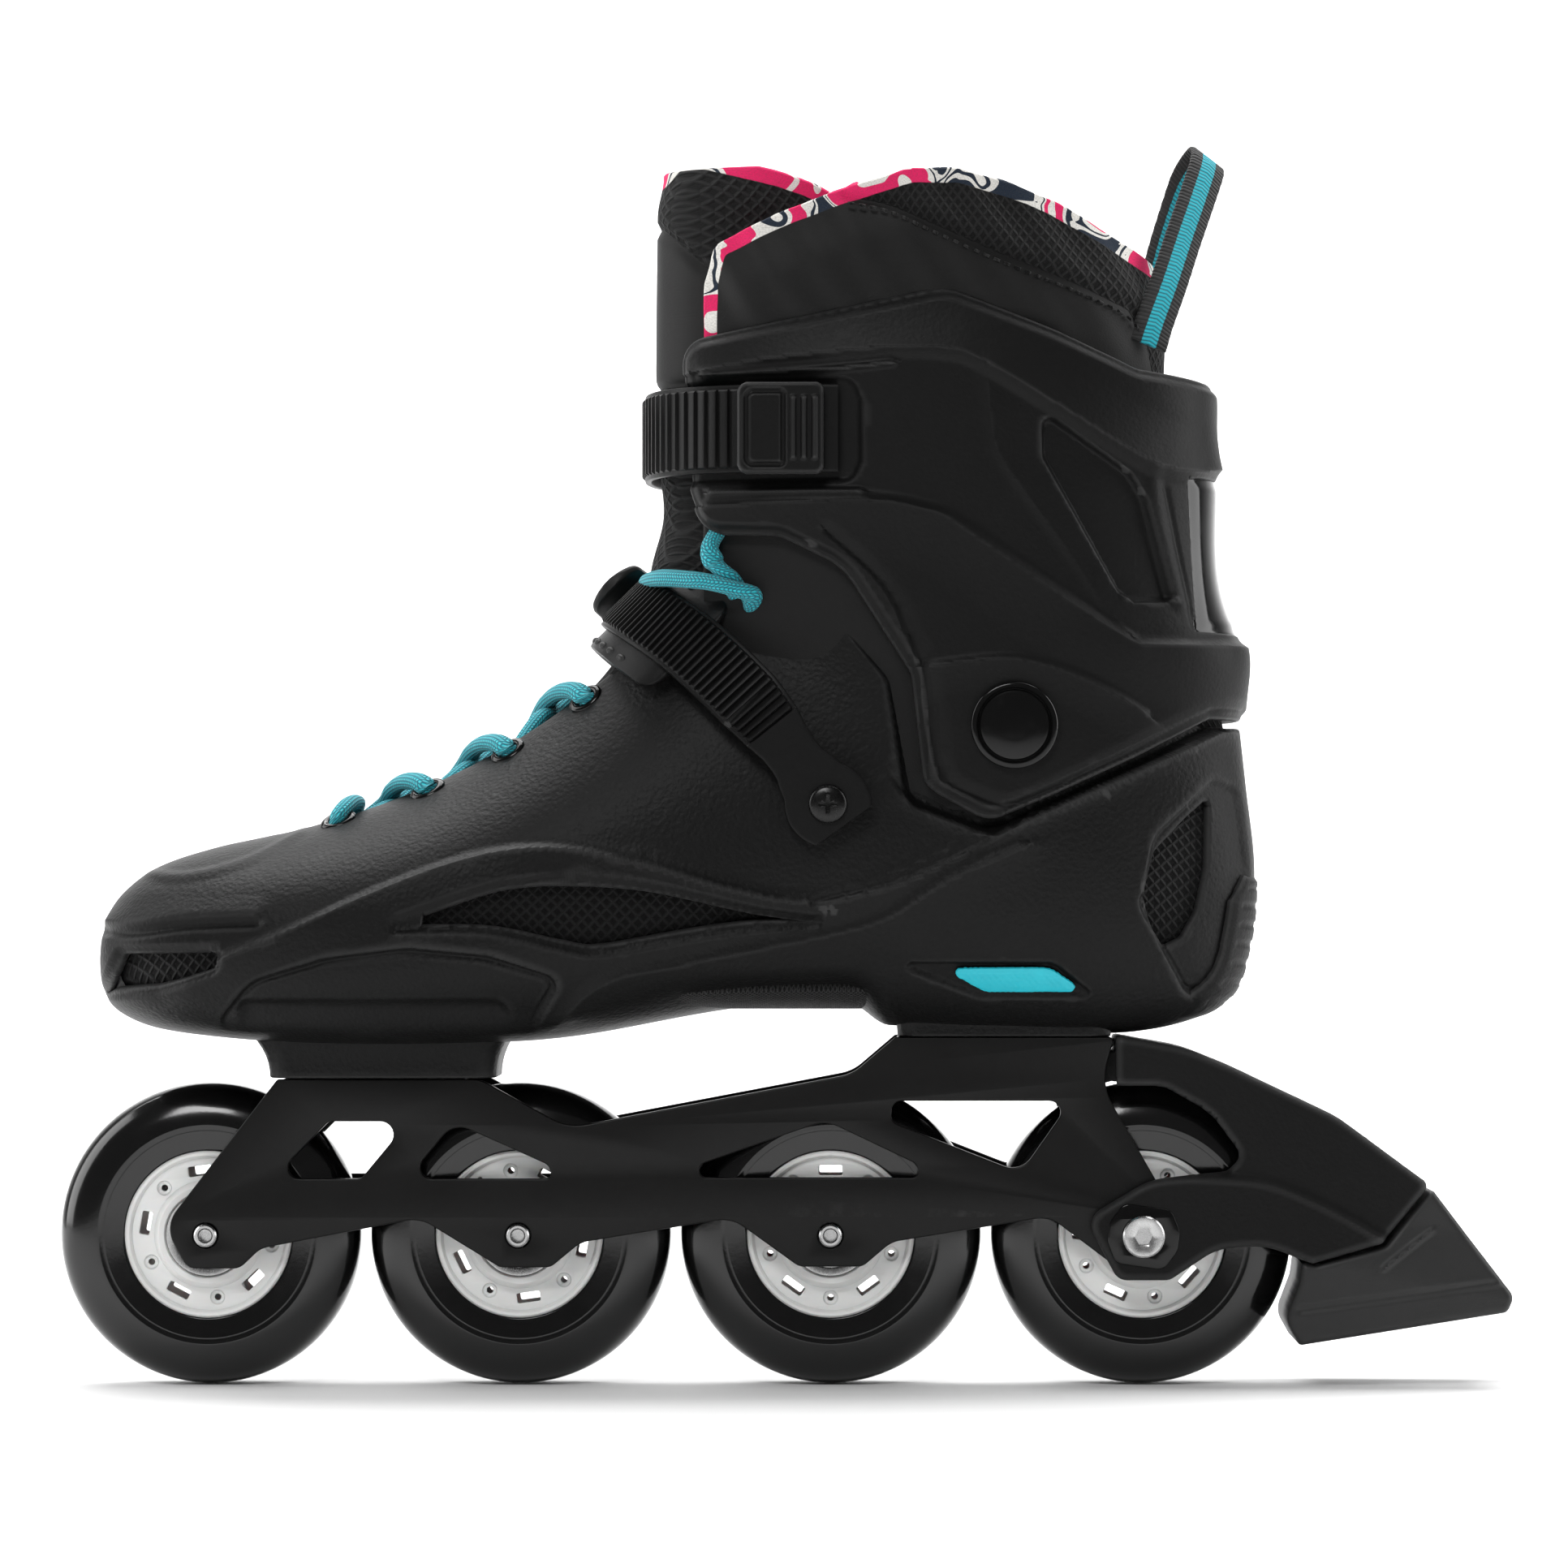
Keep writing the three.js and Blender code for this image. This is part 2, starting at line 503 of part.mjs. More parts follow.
// ---------------------------------------------------------------- straps and buckles
// Both straps run from the inner side of the boot round its front to the outer side, [x, y, z].
const CUFF_STRAP_Z = 250.6;
const CUFF_STRAP = strapLine(
  [
    [14, -46], [0, -45.8], [-12, -43.6], [-22.4, -38.8], [-30.6, -30.4], [-35.8, -17], [-37.4, 0],
    [-35.8, 17], [-30.6, 30.4], [-22.4, 39.2], [-12, 44.4], [0, 46.6], [14, 46.9], [46, 46.9],
  ].map(([x, y]) => [x, y, CUFF_STRAP_Z]),
  new THREE.Vector3(20, 0, CUFF_STRAP_Z),
);
const INSTEP_STRAP = strapLine(
  [
    [10.9, -48.7, 153.3], [-2.8, -48.4, 172.3], [-13.4, -45.4, 184.1], [-25.1, -38.2, 194.9],
    [-35.6, -27.6, 202.6], [-41.2, -14.6, 206.6], [-43, 0, 207.8], [-41.2, 14.6, 206.6],
    [-35.6, 27.6, 202.6], [-25.1, 38.2, 194.9], [-13.4, 45.4, 184.1], [-2.8, 48.4, 172.3],
    [10.9, 48.7, 153.3],
  ],
  new THREE.Vector3(4, 0, 160),
);
const STRAP_SCREW = { x: 10.9, z: 153.3 };

const makeCuffLadder = () =>
  strapBand(CUFF_STRAP, { from: 0, to: 0.84, steps: 20, width: 23, thickness: 2.2 });

// A strap's round end, bored for its screw, on the side of the boot.
const onSide = (made, side) =>
  (side < 0 ? made.rotate([0, 0, 180]) : made).translate(STRAP_SCREW.x, 0, STRAP_SCREW.z);
const SCREW_HOLE = 2.6;
const strapEye = (side) =>
  onSide(turned([[SCREW_HOLE, 47.4], [11.2, 47.4], [11.2, 50], [SCREW_HOLE, 50]], 20), side);
const strapScrewHole = (side) => onSide(rod(SCREW_HOLE, 40, 60, 12), side);
const makeStrapScrew = (side) =>
  onSide(turned([[0, 44.8], [2.2, 44.8], [2.2, 50.3], [4.9, 50.3], [4.4, 51.6], [0, 51.6]], 12), side);

function makeInstepLadder() {
  const strip = strapBand(INSTEP_STRAP, { from: 0.01, to: 0.84, steps: 18, width: 19, thickness: 2.4 });
  return largest(strip.add(strapEye(-1)).subtract(strapScrewHole(-1)));
}
function makeInstepBuckleStrap() {
  const strip = strapBand(INSTEP_STRAP, { from: 0.87, to: 0.99, steps: 3, width: 17, thickness: 2.4 });
  return largest(strip.add(strapEye(1)).subtract(strapScrewHole(1)));
}
const makeInstepSaddle = () =>
  strapBand(INSTEP_STRAP, { from: 0.28, to: 0.66, steps: 10, width: 27, thickness: 1.8, lift: () => -2.5 });

// The tab on the inner side that lets the cuff's ladder strap go.
const RELEASE_TAB = [
  [-12.6, -47.2, 0.6], [9.8, -48, 0.6], [9.8, -50.6, 1], [-10.6, -50.2, 1.4], [-12.6, -49, 0.6],
];
const makeReleaseTab = () => planPrism(RELEASE_TAB, 238.6, 262.4, 2);

// A ratchet buckle: `hinge` is where its pin crosses the strap, the base runs from `from` to `to`, and
// the lever lies over the strap from the hinge to `tip`.
const CUFF_BUCKLE = {
  line: CUFF_STRAP, hinge: 0.76, from: 0.735, to: 0.93, tip: 0.97, width: 27, rise: 0.6,
};
const INSTEP_BUCKLE = {
  line: INSTEP_STRAP, hinge: 0.8, from: 0.675, to: 0.845, tip: 0.55, width: 24, rise: 5,
};
const PIN_LIFT = 3.4;
const CHEEK = 1.6;
const KNUCKLE_RADIUS = 1.9;

// A rod across the strap at the buckle's hinge.
function hingeRod({ line, hinge }, radius, length, segments = 12) {
  const { at, out, forward, across } = line(hinge);
  const matrix = new THREE.Matrix4().makeBasis(forward, across.negate(), out);
  matrix.setPosition(at.addScaledVector(out, PIN_LIFT));
  return rod(radius, -length / 2, length / 2, segments).transform(matrix.elements);
}
function makeBuckleBase(buckle) {
  const { line, from, to, width } = buckle;
  const floor = strapBand(line, { from, to, steps: 4, width, thickness: 1, lift: () => -2 });
  const cheeks = [-1, 1].map((side) => {
    const aside = (side * (width - CHEEK)) / 2;
    return strapBand(line, { from, to, steps: 4, width: CHEEK, thickness: 7.3, lift: () => 1.15, aside });
  });
  return floor.add(cheeks[0]).add(cheeks[1]).subtract(hingeRod(buckle, 1.2, width + 4));
}
function makeBuckleLever(buckle) {
  const { line, hinge, tip, rise, width } = buckle;
  const between = width - 2 * CHEEK - 0.8;
  const lift = (progress) => PIN_LIFT + 0.3 + rise * progress ** 2;
  const plate = strapBand(line, { from: hinge, to: tip, steps: 8, width: between, thickness: 2.4, lift });
  const knuckle = hingeRod(buckle, KNUCKLE_RADIUS, between);
  return largest(plate.add(knuckle).subtract(hingeRod(buckle, 1.3, width)));
}
const makeBucklePin = (buckle) => hingeRod(buckle, 1, buckle.width + 1);

// The seat that the cuff buckle's base is let into.
const cuffBuckleSeat = () =>
  strapBand(CUFF_STRAP, { from: 0.725, to: 0.94, steps: 4, width: 27.8, thickness: 6, lift: () => 0.1 });

// ---------------------------------------------------------------- frame and running gear
function makeFrame() {
  const walls = [-1, 1].map((side) => {
    const [low, high] = side < 0 ? [-WALL_OUTSIDE, -WALL_INSIDE] : [WALL_INSIDE, WALL_OUTSIDE];
    const blank = sidePrism(FRAME_OUTLINE, low, high, 2);
    return FRAME_WINDOWS.reduce((made, window) => made.subtract(through(window, 2)), blank);
  });
  const decks = [
    block(-134, -86, -WALL_OUTSIDE, WALL_OUTSIDE, FRONT_DECK_Z - DECK_THICKNESS, FRONT_DECK_Z),
    block(28.8, 85.8, -WALL_OUTSIDE, WALL_OUTSIDE, REAR_DECK_Z - DECK_THICKNESS, REAR_DECK_Z),
    block(-38, -22, -WALL_INSIDE - 1, WALL_INSIDE + 1, 67.4, 70.2),
  ];
  const bores = WHEEL_XS.flatMap((_, i) => [
    atWheel(rod(i === 3 ? AXLE_RADIUS + 0.25 : 3.3, -30, 0, 12), i),
    atWheel(rod(AXLE_RADIUS + 0.3, 0, 30, 12), i),
  ]);
  const boltHoles = MOUNT_XS.map((x) => rodUp(x, BOLT_BORE, 70, 100));
  const whole = decks.reduce((made, deck) => made.add(deck), walls[0].add(walls[1]));
  return largest([...bores, ...boltHoles].reduce((made, cut) => made.subtract(cut), whole));
}

// A bolt up through the frame's deck into the sole, with its head under the deck.
function makeMountBolt(x, deckTop, reach) {
  const seat = deckTop - DECK_THICKNESS - 0.2;
  return rodUp(x, 6.4, seat - 5, seat, 12).add(rodUp(x, 4, seat - 1, deckTop + reach, 12));
}

const mirrored = (half) => [...half, ...half.map(([r, y]) => [r, -y]).reverse()];

function makeTyre(i) {
  const segments = 24;
  const flat = WHEEL_RADIUS / Math.cos(Math.PI / segments); // puts a flat, not a corner, on the ground
  const half = [[RIM_RADIUS + 0.35, -9.4], [30.4, -WHEEL_HALF_WIDTH], [37.4, -9], [flat, -3]];
  return atWheel(turned(mirrored(half), segments), i);
}
function makeHub(i) {
  const seat = BEARING_RADIUS + 0.2;
  const half = [[seat, -WHEEL_HALF_WIDTH], [13.4, -WHEEL_HALF_WIDTH], [14.4, -8.8], [RIM_RADIUS, -9.8]];
  const inner = [[seat, 5], [6.4, 5], [6.4, -5], [seat, -5]];
  return atWheel(turned([...mirrored(half), ...inner], 16), i);
}
function makeBearing(i, side) {
  const near = WHEEL_HALF_WIDTH - BEARING_WIDTH + 0.1;
  const [low, high] = side < 0 ? [-WHEEL_HALF_WIDTH, -near] : [near, WHEEL_HALF_WIDTH];
  const bore = AXLE_RADIUS + 0.25;
  const profile = [[bore, low], [BEARING_RADIUS, low], [BEARING_RADIUS, high], [bore, high]];
  return atWheel(turned(profile, 16), i);
}
const makeSpacer = (i) => atWheel(turned([[4.4, -4.7], [5.7, -4.7], [5.7, 4.7], [4.4, 4.7]], 12), i);

// A hollow-ended axle with its head on the outer side of the foot.
function makeAxle(i) {
  const profile = [
    [0, -17.7], [3, -17.7], [3, -12.8], [AXLE_RADIUS, -12.8], [AXLE_RADIUS, 16.8],
    [5.6, 16.8], [5.6, 19.2], [2.2, 19.2], [2.2, 17.2], [0, 17.2],
  ];
  return atWheel(turned(profile, 14), i);
}
function makeBrakeAxle() {
  const face = ARM_OUTSIDE + 1.1;
  const profile = [
    [0, -face + 0.8], [2.4, -face + 0.8], [2.4, -face - 1.3], [5.2, -face - 1.3], [5.2, -face],
    [AXLE_RADIUS, -face], [AXLE_RADIUS, face], [5.2, face], [5.2, face + 1.3], [0, face + 1.3],
  ];
  return atWheel(turned(profile, 14), 3);
}

// ---------------------------------------------------------------- heel brake
function makeBrakeArm() {
  const room = WALL_OUTSIDE + 0.4;
  const wheel = atWheel(rod(WHEEL_RADIUS + 2.4, -room, room, 24), 3);
  const frameRoom = block(60, 108, -room, room, 0, 79.2);
  const flanks = sidePrism(ARM_OUTLINE, -ARM_OUTSIDE, ARM_OUTSIDE).subtract(wheel).subtract(frameRoom);
  const neck = sidePrism(ARM_NECK, -12.6, 12.6).subtract(atWheel(rod(WHEEL_RADIUS + 1.4, -20, 20, 24), 3));
  const cuts = [lockPlateBody(-1, 0.4), lockPlateBody(1, 0.4), brakeBore(), padScrewBody(2.6, 2.6, 15)];
  return largest(cuts.reduce((made, cut) => made.subtract(cut), flanks.add(neck)));
}
const brakeBore = () => atWheel(rod(AXLE_RADIUS + 0.3, -40, 40), 3);

// The flat-sided insert that keeps the arm from turning on the axle.
function lockPlateBody(side, grow) {
  const [low, high] = [ARM_OUTSIDE - 1.6 - grow, ARM_OUTSIDE + 0.4 + grow];
  const disc = rod(9 + grow, low, high, 24);
  const flats = block(-20, 20, 0, 60, -8 - grow, 8 + grow);
  const plate = disc.intersect(flats).rotate([0, 8, 0]);
  return atWheel(side < 0 ? plate.mirror([0, 1, 0]) : plate, 3);
}
const makeLockPlate = (side) => lockPlateBody(side, 0).subtract(brakeBore());
function makeBrakePad() {
  const wheel = atWheel(rod(WHEEL_RADIUS + 1.2, -15, 15, 24), 3);
  return sidePrism(PAD_OUTLINE, -20, 20).subtract(wheel).subtract(padScrewBody(5.4, 2.6, 40, 50));
}
// The screw that holds the pad up against the arm, its head sunk in the pad's underside.
function padScrewBody(headRadius, shaftRadius, up, down = 15.6) {
  const shaft = rodUp(0, shaftRadius, -14, up);
  const head = rodUp(0, headRadius, -down, -12);
  return shaft.add(head).rotate([0, -9, 0]).translate(157.6, 0, 39);
}

// ---------------------------------------------------------------- laces and pull loop
// Eyelets on the inner side, from the toe up: [x, z, y outwards]. The lace stands clear of them by
// LACE_LIFT, square to the instep's slope.
const EYELETS = [[-119, 148.6, 18], [-95.5, 157, 19], [-74.5, 167.8, 20], [-53.5, 181.4, 20]];
const LACE_RADIUS = 2.3;
const LACE_LIFT = 4.2;
const LACE_ARCH = new THREE.Vector3(-4, 0, 7);
const LACE_STEPS = 4;
const INSTEP_SLOPE = new THREE.Vector3(0.31, 0, 0.95);

// A round cord from one place to another, arched up between them.
function cord(from, to) {
  const middle = from.clone().add(to).multiplyScalar(0.5).add(LACE_ARCH);
  const curve = new THREE.QuadraticBezierCurve3(from, middle, to);
  const rings = curve.getPoints(LACE_STEPS).map((at, i) => {
    const forward = curve.getTangent(i / LACE_STEPS);
    const side = INSTEP_SLOPE.clone().cross(forward).normalize();
    const up = forward.clone().cross(side).normalize();
    return Array.from({ length: 5 }, (_, k) => {
      const angle = (k * Math.PI) / 2.5;
      const spoke = side.clone().multiplyScalar(Math.cos(angle)).addScaledVector(up, Math.sin(angle));
      return at.clone().addScaledVector(spoke, LACE_RADIUS);
    });
  });
  return loft(rings);
}

// Straight across the first pair of eyelets, then crossed between each pair and the next.
function makeLace() {
  const spot = ([x, z, y], side) =>
    new THREE.Vector3(x - LACE_LIFT * 0.42, side * y, z + LACE_LIFT * 0.95);
  const straight = cord(spot(EYELETS[0], -1), spot(EYELETS[0], 1));
  const crossed = EYELETS.slice(1).flatMap((eyelet, i) => [
    cord(spot(EYELETS[i], -1), spot(eyelet, 1)),
    cord(spot(EYELETS[i], 1), spot(eyelet, -1)),
  ]);
  return largest(crossed.reduce((made, piece) => made.add(piece), straight));
}

// The loop of webbing at the back of the liner, from its inner leg over the top to its outer one.
const LOOP_LINE = strapLine(
  [
    [96.4, -24, 280], [100.4, -21, 291], [104.4, -16, 303], [108.6, -10, 315], [111.4, -4, 323.6],
    [110.8, 2.6, 325.6], [106.8, 8, 319], [103.4, 11, 308], [101.4, 12.4, 297], [100.8, 13, 287],
  ],
  new THREE.Vector3(96, 4, 306),
);
const makePullLoop = () => strapBand(LOOP_LINE, { from: 0, to: 1, steps: 18, width: 11, thickness: 1.4 });

// ---------------------------------------------------------------- assembly
const skate = new THREE.Group();
skate.position.x = DATUM_TO_ORIGIN;

function addPiece(name, made, material, parent = skate) {
  const mesh = new THREE.Mesh(geometryOf(made), material);
  mesh.name = name;
  parent.add(mesh);
}

addPiece("shell", makeShell(), MATERIALS.shellPlastic);
addPiece("heel_guard", heelGuardBody(0), MATERIALS.shellPlastic);
addPiece("reflector_medial", makeReflector(-1), MATERIALS.accent);
addPiece("reflector_lateral", makeReflector(1), MATERIALS.accent);
addPiece("liner_lower", makeLinerLower(), MATERIALS.linerFabric);
addPiece("tongue_lower", makeTongueLower(), MATERIALS.linerFabric);
addPiece("footbed", makeFootbed(), MATERIALS.footbed);
addPiece("lace", makeLace(), MATERIALS.lace);

addPiece("cuff", makeCuff(), MATERIALS.cuffPlastic);
addPiece("cuff_rear_insert", rearInsertBody(0), MATERIALS.glossPlastic);
addPiece("cuff_pivot_cap_medial", makePivotCap(-1), MATERIALS.glossPlastic);
addPiece("cuff_pivot_cap_lateral", makePivotCap(1), MATERIALS.glossPlastic);
addPiece("liner_upper", makeLinerUpper(), MATERIALS.linerFabric);
addPiece("tongue_upper", makeTongueUpper(), MATERIALS.linerFabric);
addPiece("pull_loop", makePullLoop(), MATERIALS.webbing);

addPiece("instep_saddle", makeInstepSaddle(), MATERIALS.strapPlastic);
addPiece("instep_ladder", makeInstepLadder(), MATERIALS.strapPlastic);
addPiece("instep_ladder_screw", makeStrapScrew(-1), MATERIALS.blackSteel);
addPiece("instep_buckle_strap", makeInstepBuckleStrap(), MATERIALS.strapPlastic);
addPiece("instep_buckle_screw", makeStrapScrew(1), MATERIALS.blackSteel);
addPiece("cuff_ladder", makeCuffLadder(), MATERIALS.strapPlastic);

addPiece("ladder_release_tab", makeReleaseTab(), MATERIALS.buckle);

[["cuff_buckle", CUFF_BUCKLE], ["instep_buckle", INSTEP_BUCKLE]].forEach(([name, buckle]) => {
  addPiece(`${name}_base`, makeBuckleBase(buckle), MATERIALS.buckle);
  addPiece(`${name}_lever`, makeBuckleLever(buckle), MATERIALS.buckle);
  addPiece(`${name}_pin`, makeBucklePin(buckle), MATERIALS.steel);
});

addPiece("frame", makeFrame(), MATERIALS.frame);
addPiece("front_mount_bolt", makeMountBolt(MOUNT_XS[0], FRONT_DECK_Z, 11), MATERIALS.blackSteel);
addPiece("rear_mount_bolt", makeMountBolt(MOUNT_XS[1], REAR_DECK_Z, 7), MATERIALS.blackSteel);
WHEEL_XS.forEach((_, i) => {
  addPiece(`tyre_${i + 1}`, makeTyre(i), MATERIALS.tyre);
  addPiece(`hub_${i + 1}`, makeHub(i), MATERIALS.hub);
  addPiece(`bearing_medial_${i + 1}`, makeBearing(i, -1), MATERIALS.steel);
  addPiece(`bearing_lateral_${i + 1}`, makeBearing(i, 1), MATERIALS.steel);
  addPiece(`bearing_spacer_${i + 1}`, makeSpacer(i), MATERIALS.steel);
  if (i < 3) addPiece(`axle_${i + 1}`, makeAxle(i), MATERIALS.steel);
});
addPiece("brake_axle", makeBrakeAxle(), MATERIALS.steel);
addPiece("brake_arm", makeBrakeArm(), MATERIALS.brakeArm);
addPiece("brake_lock_plate_medial", makeLockPlate(-1), MATERIALS.buckle);
addPiece("brake_lock_plate_lateral", makeLockPlate(1), MATERIALS.buckle);
addPiece("brake_pad", makeBrakePad(), MATERIALS.brakeRubber);
addPiece("brake_pad_screw", padScrewBody(4.8, 2.2, 13), MATERIALS.steel);

export default skate;
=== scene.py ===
"""The looks of one inline skate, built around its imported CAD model.

Shapes are worked out in millimetres on the skate's side-view drawing: x towards the heel brake, y across (the
inner side of the foot is -y) and z up. place() carries them to metres in the frame, where the drawing's datum is
found from the cuff's pivot.
"""
import json
import math

import bmesh
import bpy
import numpy as np
from mathutils import Matrix, Vector


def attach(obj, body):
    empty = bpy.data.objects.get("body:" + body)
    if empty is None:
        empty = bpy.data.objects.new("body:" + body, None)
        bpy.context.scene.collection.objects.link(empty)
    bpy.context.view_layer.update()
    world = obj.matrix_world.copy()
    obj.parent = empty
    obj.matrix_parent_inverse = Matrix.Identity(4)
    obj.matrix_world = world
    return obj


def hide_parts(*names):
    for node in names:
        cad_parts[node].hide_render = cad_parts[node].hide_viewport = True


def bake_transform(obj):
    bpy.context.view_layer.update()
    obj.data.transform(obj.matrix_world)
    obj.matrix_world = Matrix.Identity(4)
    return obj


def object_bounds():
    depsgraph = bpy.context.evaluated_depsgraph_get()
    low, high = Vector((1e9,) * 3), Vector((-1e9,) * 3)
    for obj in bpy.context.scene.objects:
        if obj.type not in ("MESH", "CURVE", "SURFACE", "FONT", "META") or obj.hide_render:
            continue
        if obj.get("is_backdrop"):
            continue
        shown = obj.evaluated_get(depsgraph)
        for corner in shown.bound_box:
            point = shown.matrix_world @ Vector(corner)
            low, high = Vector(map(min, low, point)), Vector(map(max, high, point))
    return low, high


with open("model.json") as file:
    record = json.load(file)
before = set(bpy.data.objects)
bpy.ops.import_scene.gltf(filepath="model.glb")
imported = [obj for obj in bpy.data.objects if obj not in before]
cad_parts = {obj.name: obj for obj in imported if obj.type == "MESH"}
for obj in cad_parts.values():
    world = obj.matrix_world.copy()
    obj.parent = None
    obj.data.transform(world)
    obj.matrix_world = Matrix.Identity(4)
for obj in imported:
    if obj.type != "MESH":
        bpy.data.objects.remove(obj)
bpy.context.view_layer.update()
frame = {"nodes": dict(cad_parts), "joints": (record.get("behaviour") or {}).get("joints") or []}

JOINTS = {joint["name"]: joint for joint in frame["joints"]}
NODES = frame["nodes"]

PIVOT = (59.2, 173.8)  # the cuff's pivot on the drawing, x and z
DATUM_X = JOINTS["cuff_flex"]["pos_m"][0] * 1000 - PIVOT[0]
WHEEL_Z = 40.0
WHEEL_XS = [JOINTS[f"wheel_{i}_spin"]["pos_m"][0] * 1000 - DATUM_X for i in range(1, 5)]


# ---------------------------------------------------------------- numbers and outlines
def smoothstep(value, low=0.0, high=1.0):
    t = np.clip((value - low) / (high - low), 0, 1)
    return t * t * (3 - 2 * t)


def catmull(points, per=8, closed=False):
    """A smooth line through the points, `per` steps to each span."""
    p = np.asarray(points, float)
    count = len(p)
    spans = count if closed else count - 1
    t = np.arange(spans * per + (0 if closed else 1)) / per
    i = np.minimum(t.astype(int), spans - 1)
    f = (t - i)[:, None]

    def at(k):
        return p[k % count] if closed else p[np.clip(k, 0, count - 1)]

    a, b, c, d = at(i - 1), at(i), at(i + 1), at(i + 2)
    return 0.5 * (2 * b + (c - a) * f + (2 * a - 5 * b + 4 * c - d) * f**2 + (3 * b - a - 3 * c + d) * f**3)


def rounded(corners, steps=7):
    """A closed outline from corners [x, z, radius], each rounded by an arc-like curve."""
    count = len(corners)
    out = []
    for i, corner in enumerate(corners):
        here = np.array(corner[:2], float)
        radius = corner[2] if len(corner) > 2 else 0
        before = np.array(corners[i - 1][:2], float) - here
        after = np.array(corners[(i + 1) % count][:2], float) - here
        if radius <= 0:
            out.append(here)
            continue
        lengths = np.linalg.norm(before), np.linalg.norm(after)
        half = math.acos(np.clip(before @ after / (lengths[0] * lengths[1]), -0.9999, 0.9999)) / 2
        reach = min(radius / math.tan(half), 0.49 * min(lengths))
        start = here + before / lengths[0] * reach
        end = here + after / lengths[1] * reach
        weight = math.sin(half)  # a rational curve with this weight is a true arc
        for k in range(steps + 1):
            t = k / steps
            b0, b1, b2 = (1 - t) ** 2, 2 * t * (1 - t) * weight, t * t
            out.append((b0 * start + b1 * here + b2 * end) / (b0 + b1 + b2))
    return np.array(out)


def distance(places, line, closed=False):
    """How far each of the places, an n by 2 array, is from a line."""
    line = np.asarray(line, float)
    ends = np.roll(line, -1, axis=0) if closed else line[1:]
    starts = line if closed else line[:-1]
    best = np.full(len(places), np.inf)
    for a, b in zip(starts, ends):
        ab = b - a
        t = np.clip((places - a) @ ab / max(ab @ ab, 1e-12), 0, 1)
        gap = places - a - t[:, None] * ab
        best = np.minimum(best, np.einsum("ij,ij->i", gap, gap))
    return np.sqrt(best)


def inside(places, outline):
    x, z = places[:, 0], places[:, 1]
    crossings = np.zeros(len(places), bool)
    for (x0, z0), (x1, z1) in zip(outline, np.roll(outline, -1, axis=0)):
        spans = (z0 > z) != (z1 > z)
        crossings ^= spans & (x < (x1 - x0) * (z - z0) / (z1 - z0 + 1e-12) + x0)
    return crossings


def depth_in(places, outline):
    """Distance from a closed outline, positive inside it."""
    return distance(places, outline, True) * np.where(inside(places, outline), 1, -1)


# ---------------------------------------------------------------- meshes
def place(points):
    """Millimetres on the drawing to metres in the frame."""
    return (np.asarray(points, float) + [DATUM_X, 0, 0]) * 0.001


def make_object(name, points, faces, material, smooth=True):
    """A mesh object from points in millimetres and a list of faces."""
    mesh = bpy.data.meshes.new(name)
    mesh.from_pydata(place(points).tolist(), [], [list(map(int, f)) for f in faces])
    mesh.validate()
    mesh.update()
    mesh.shade_smooth() if smooth else mesh.shade_flat()
    obj = bpy.data.objects.new(name, mesh)
    bpy.context.scene.collection.objects.link(obj)
    if material:
        obj.data.materials.append(material)
    return obj


def grid_faces(rows, columns, closed=True):
    """Quads over a grid of points stored row by row; closed joins the last column to the first."""
    r, c = np.meshgrid(np.arange(rows - 1), np.arange(columns if closed else columns - 1), indexing="ij")
    r, c = r.ravel(), c.ravel()
    n = (c + 1) % columns
    return np.stack([r * columns + c, (r + 1) * columns + c, (r + 1) * columns + n, r * columns + n], 1)


def clip(points, faces, keep):
    """The part of a mesh where keep, one number for each point, isn't negative, cut cleanly along zero."""
    keep = np.where(np.abs(keep) < 0.06, 0, keep)
    good = keep[faces] >= 0
    whole = faces[good.all(1)]
    mixed = faces[good.any(1) & ~good.all(1)]
    extra, made, cache = [], [], {}
    count = len(points)
    for face in mixed:
        loop = []
        for a, b in zip(face, np.roll(face, -1)):
            if keep[a] >= 0:
                loop.append(int(a))
            if (keep[a] > 0 and keep[b] < 0) or (keep[a] < 0 and keep[b] > 0):
                key = (min(a, b), max(a, b))
                if key not in cache:
                    t = keep[a] / (keep[a] - keep[b])
                    cache[key] = count + len(extra)
                    extra.append(points[a] * (1 - t) + points[b] * t)
                loop.append(cache[key])
        loop = [v for i, v in enumerate(loop) if v != loop[i - 1]]
        if len(loop) >= 3:
            made.append(loop)
    every = np.vstack([points, extra]) if extra else points
    faces = [list(map(int, f)) for f in whole] + made
    used = np.unique(np.concatenate([np.array(f) for f in faces]))
    renamed = np.full(len(every), -1)
    renamed[used] = np.arange(len(used))
    return every[used], [[int(renamed[v]) for v in f] for f in faces]


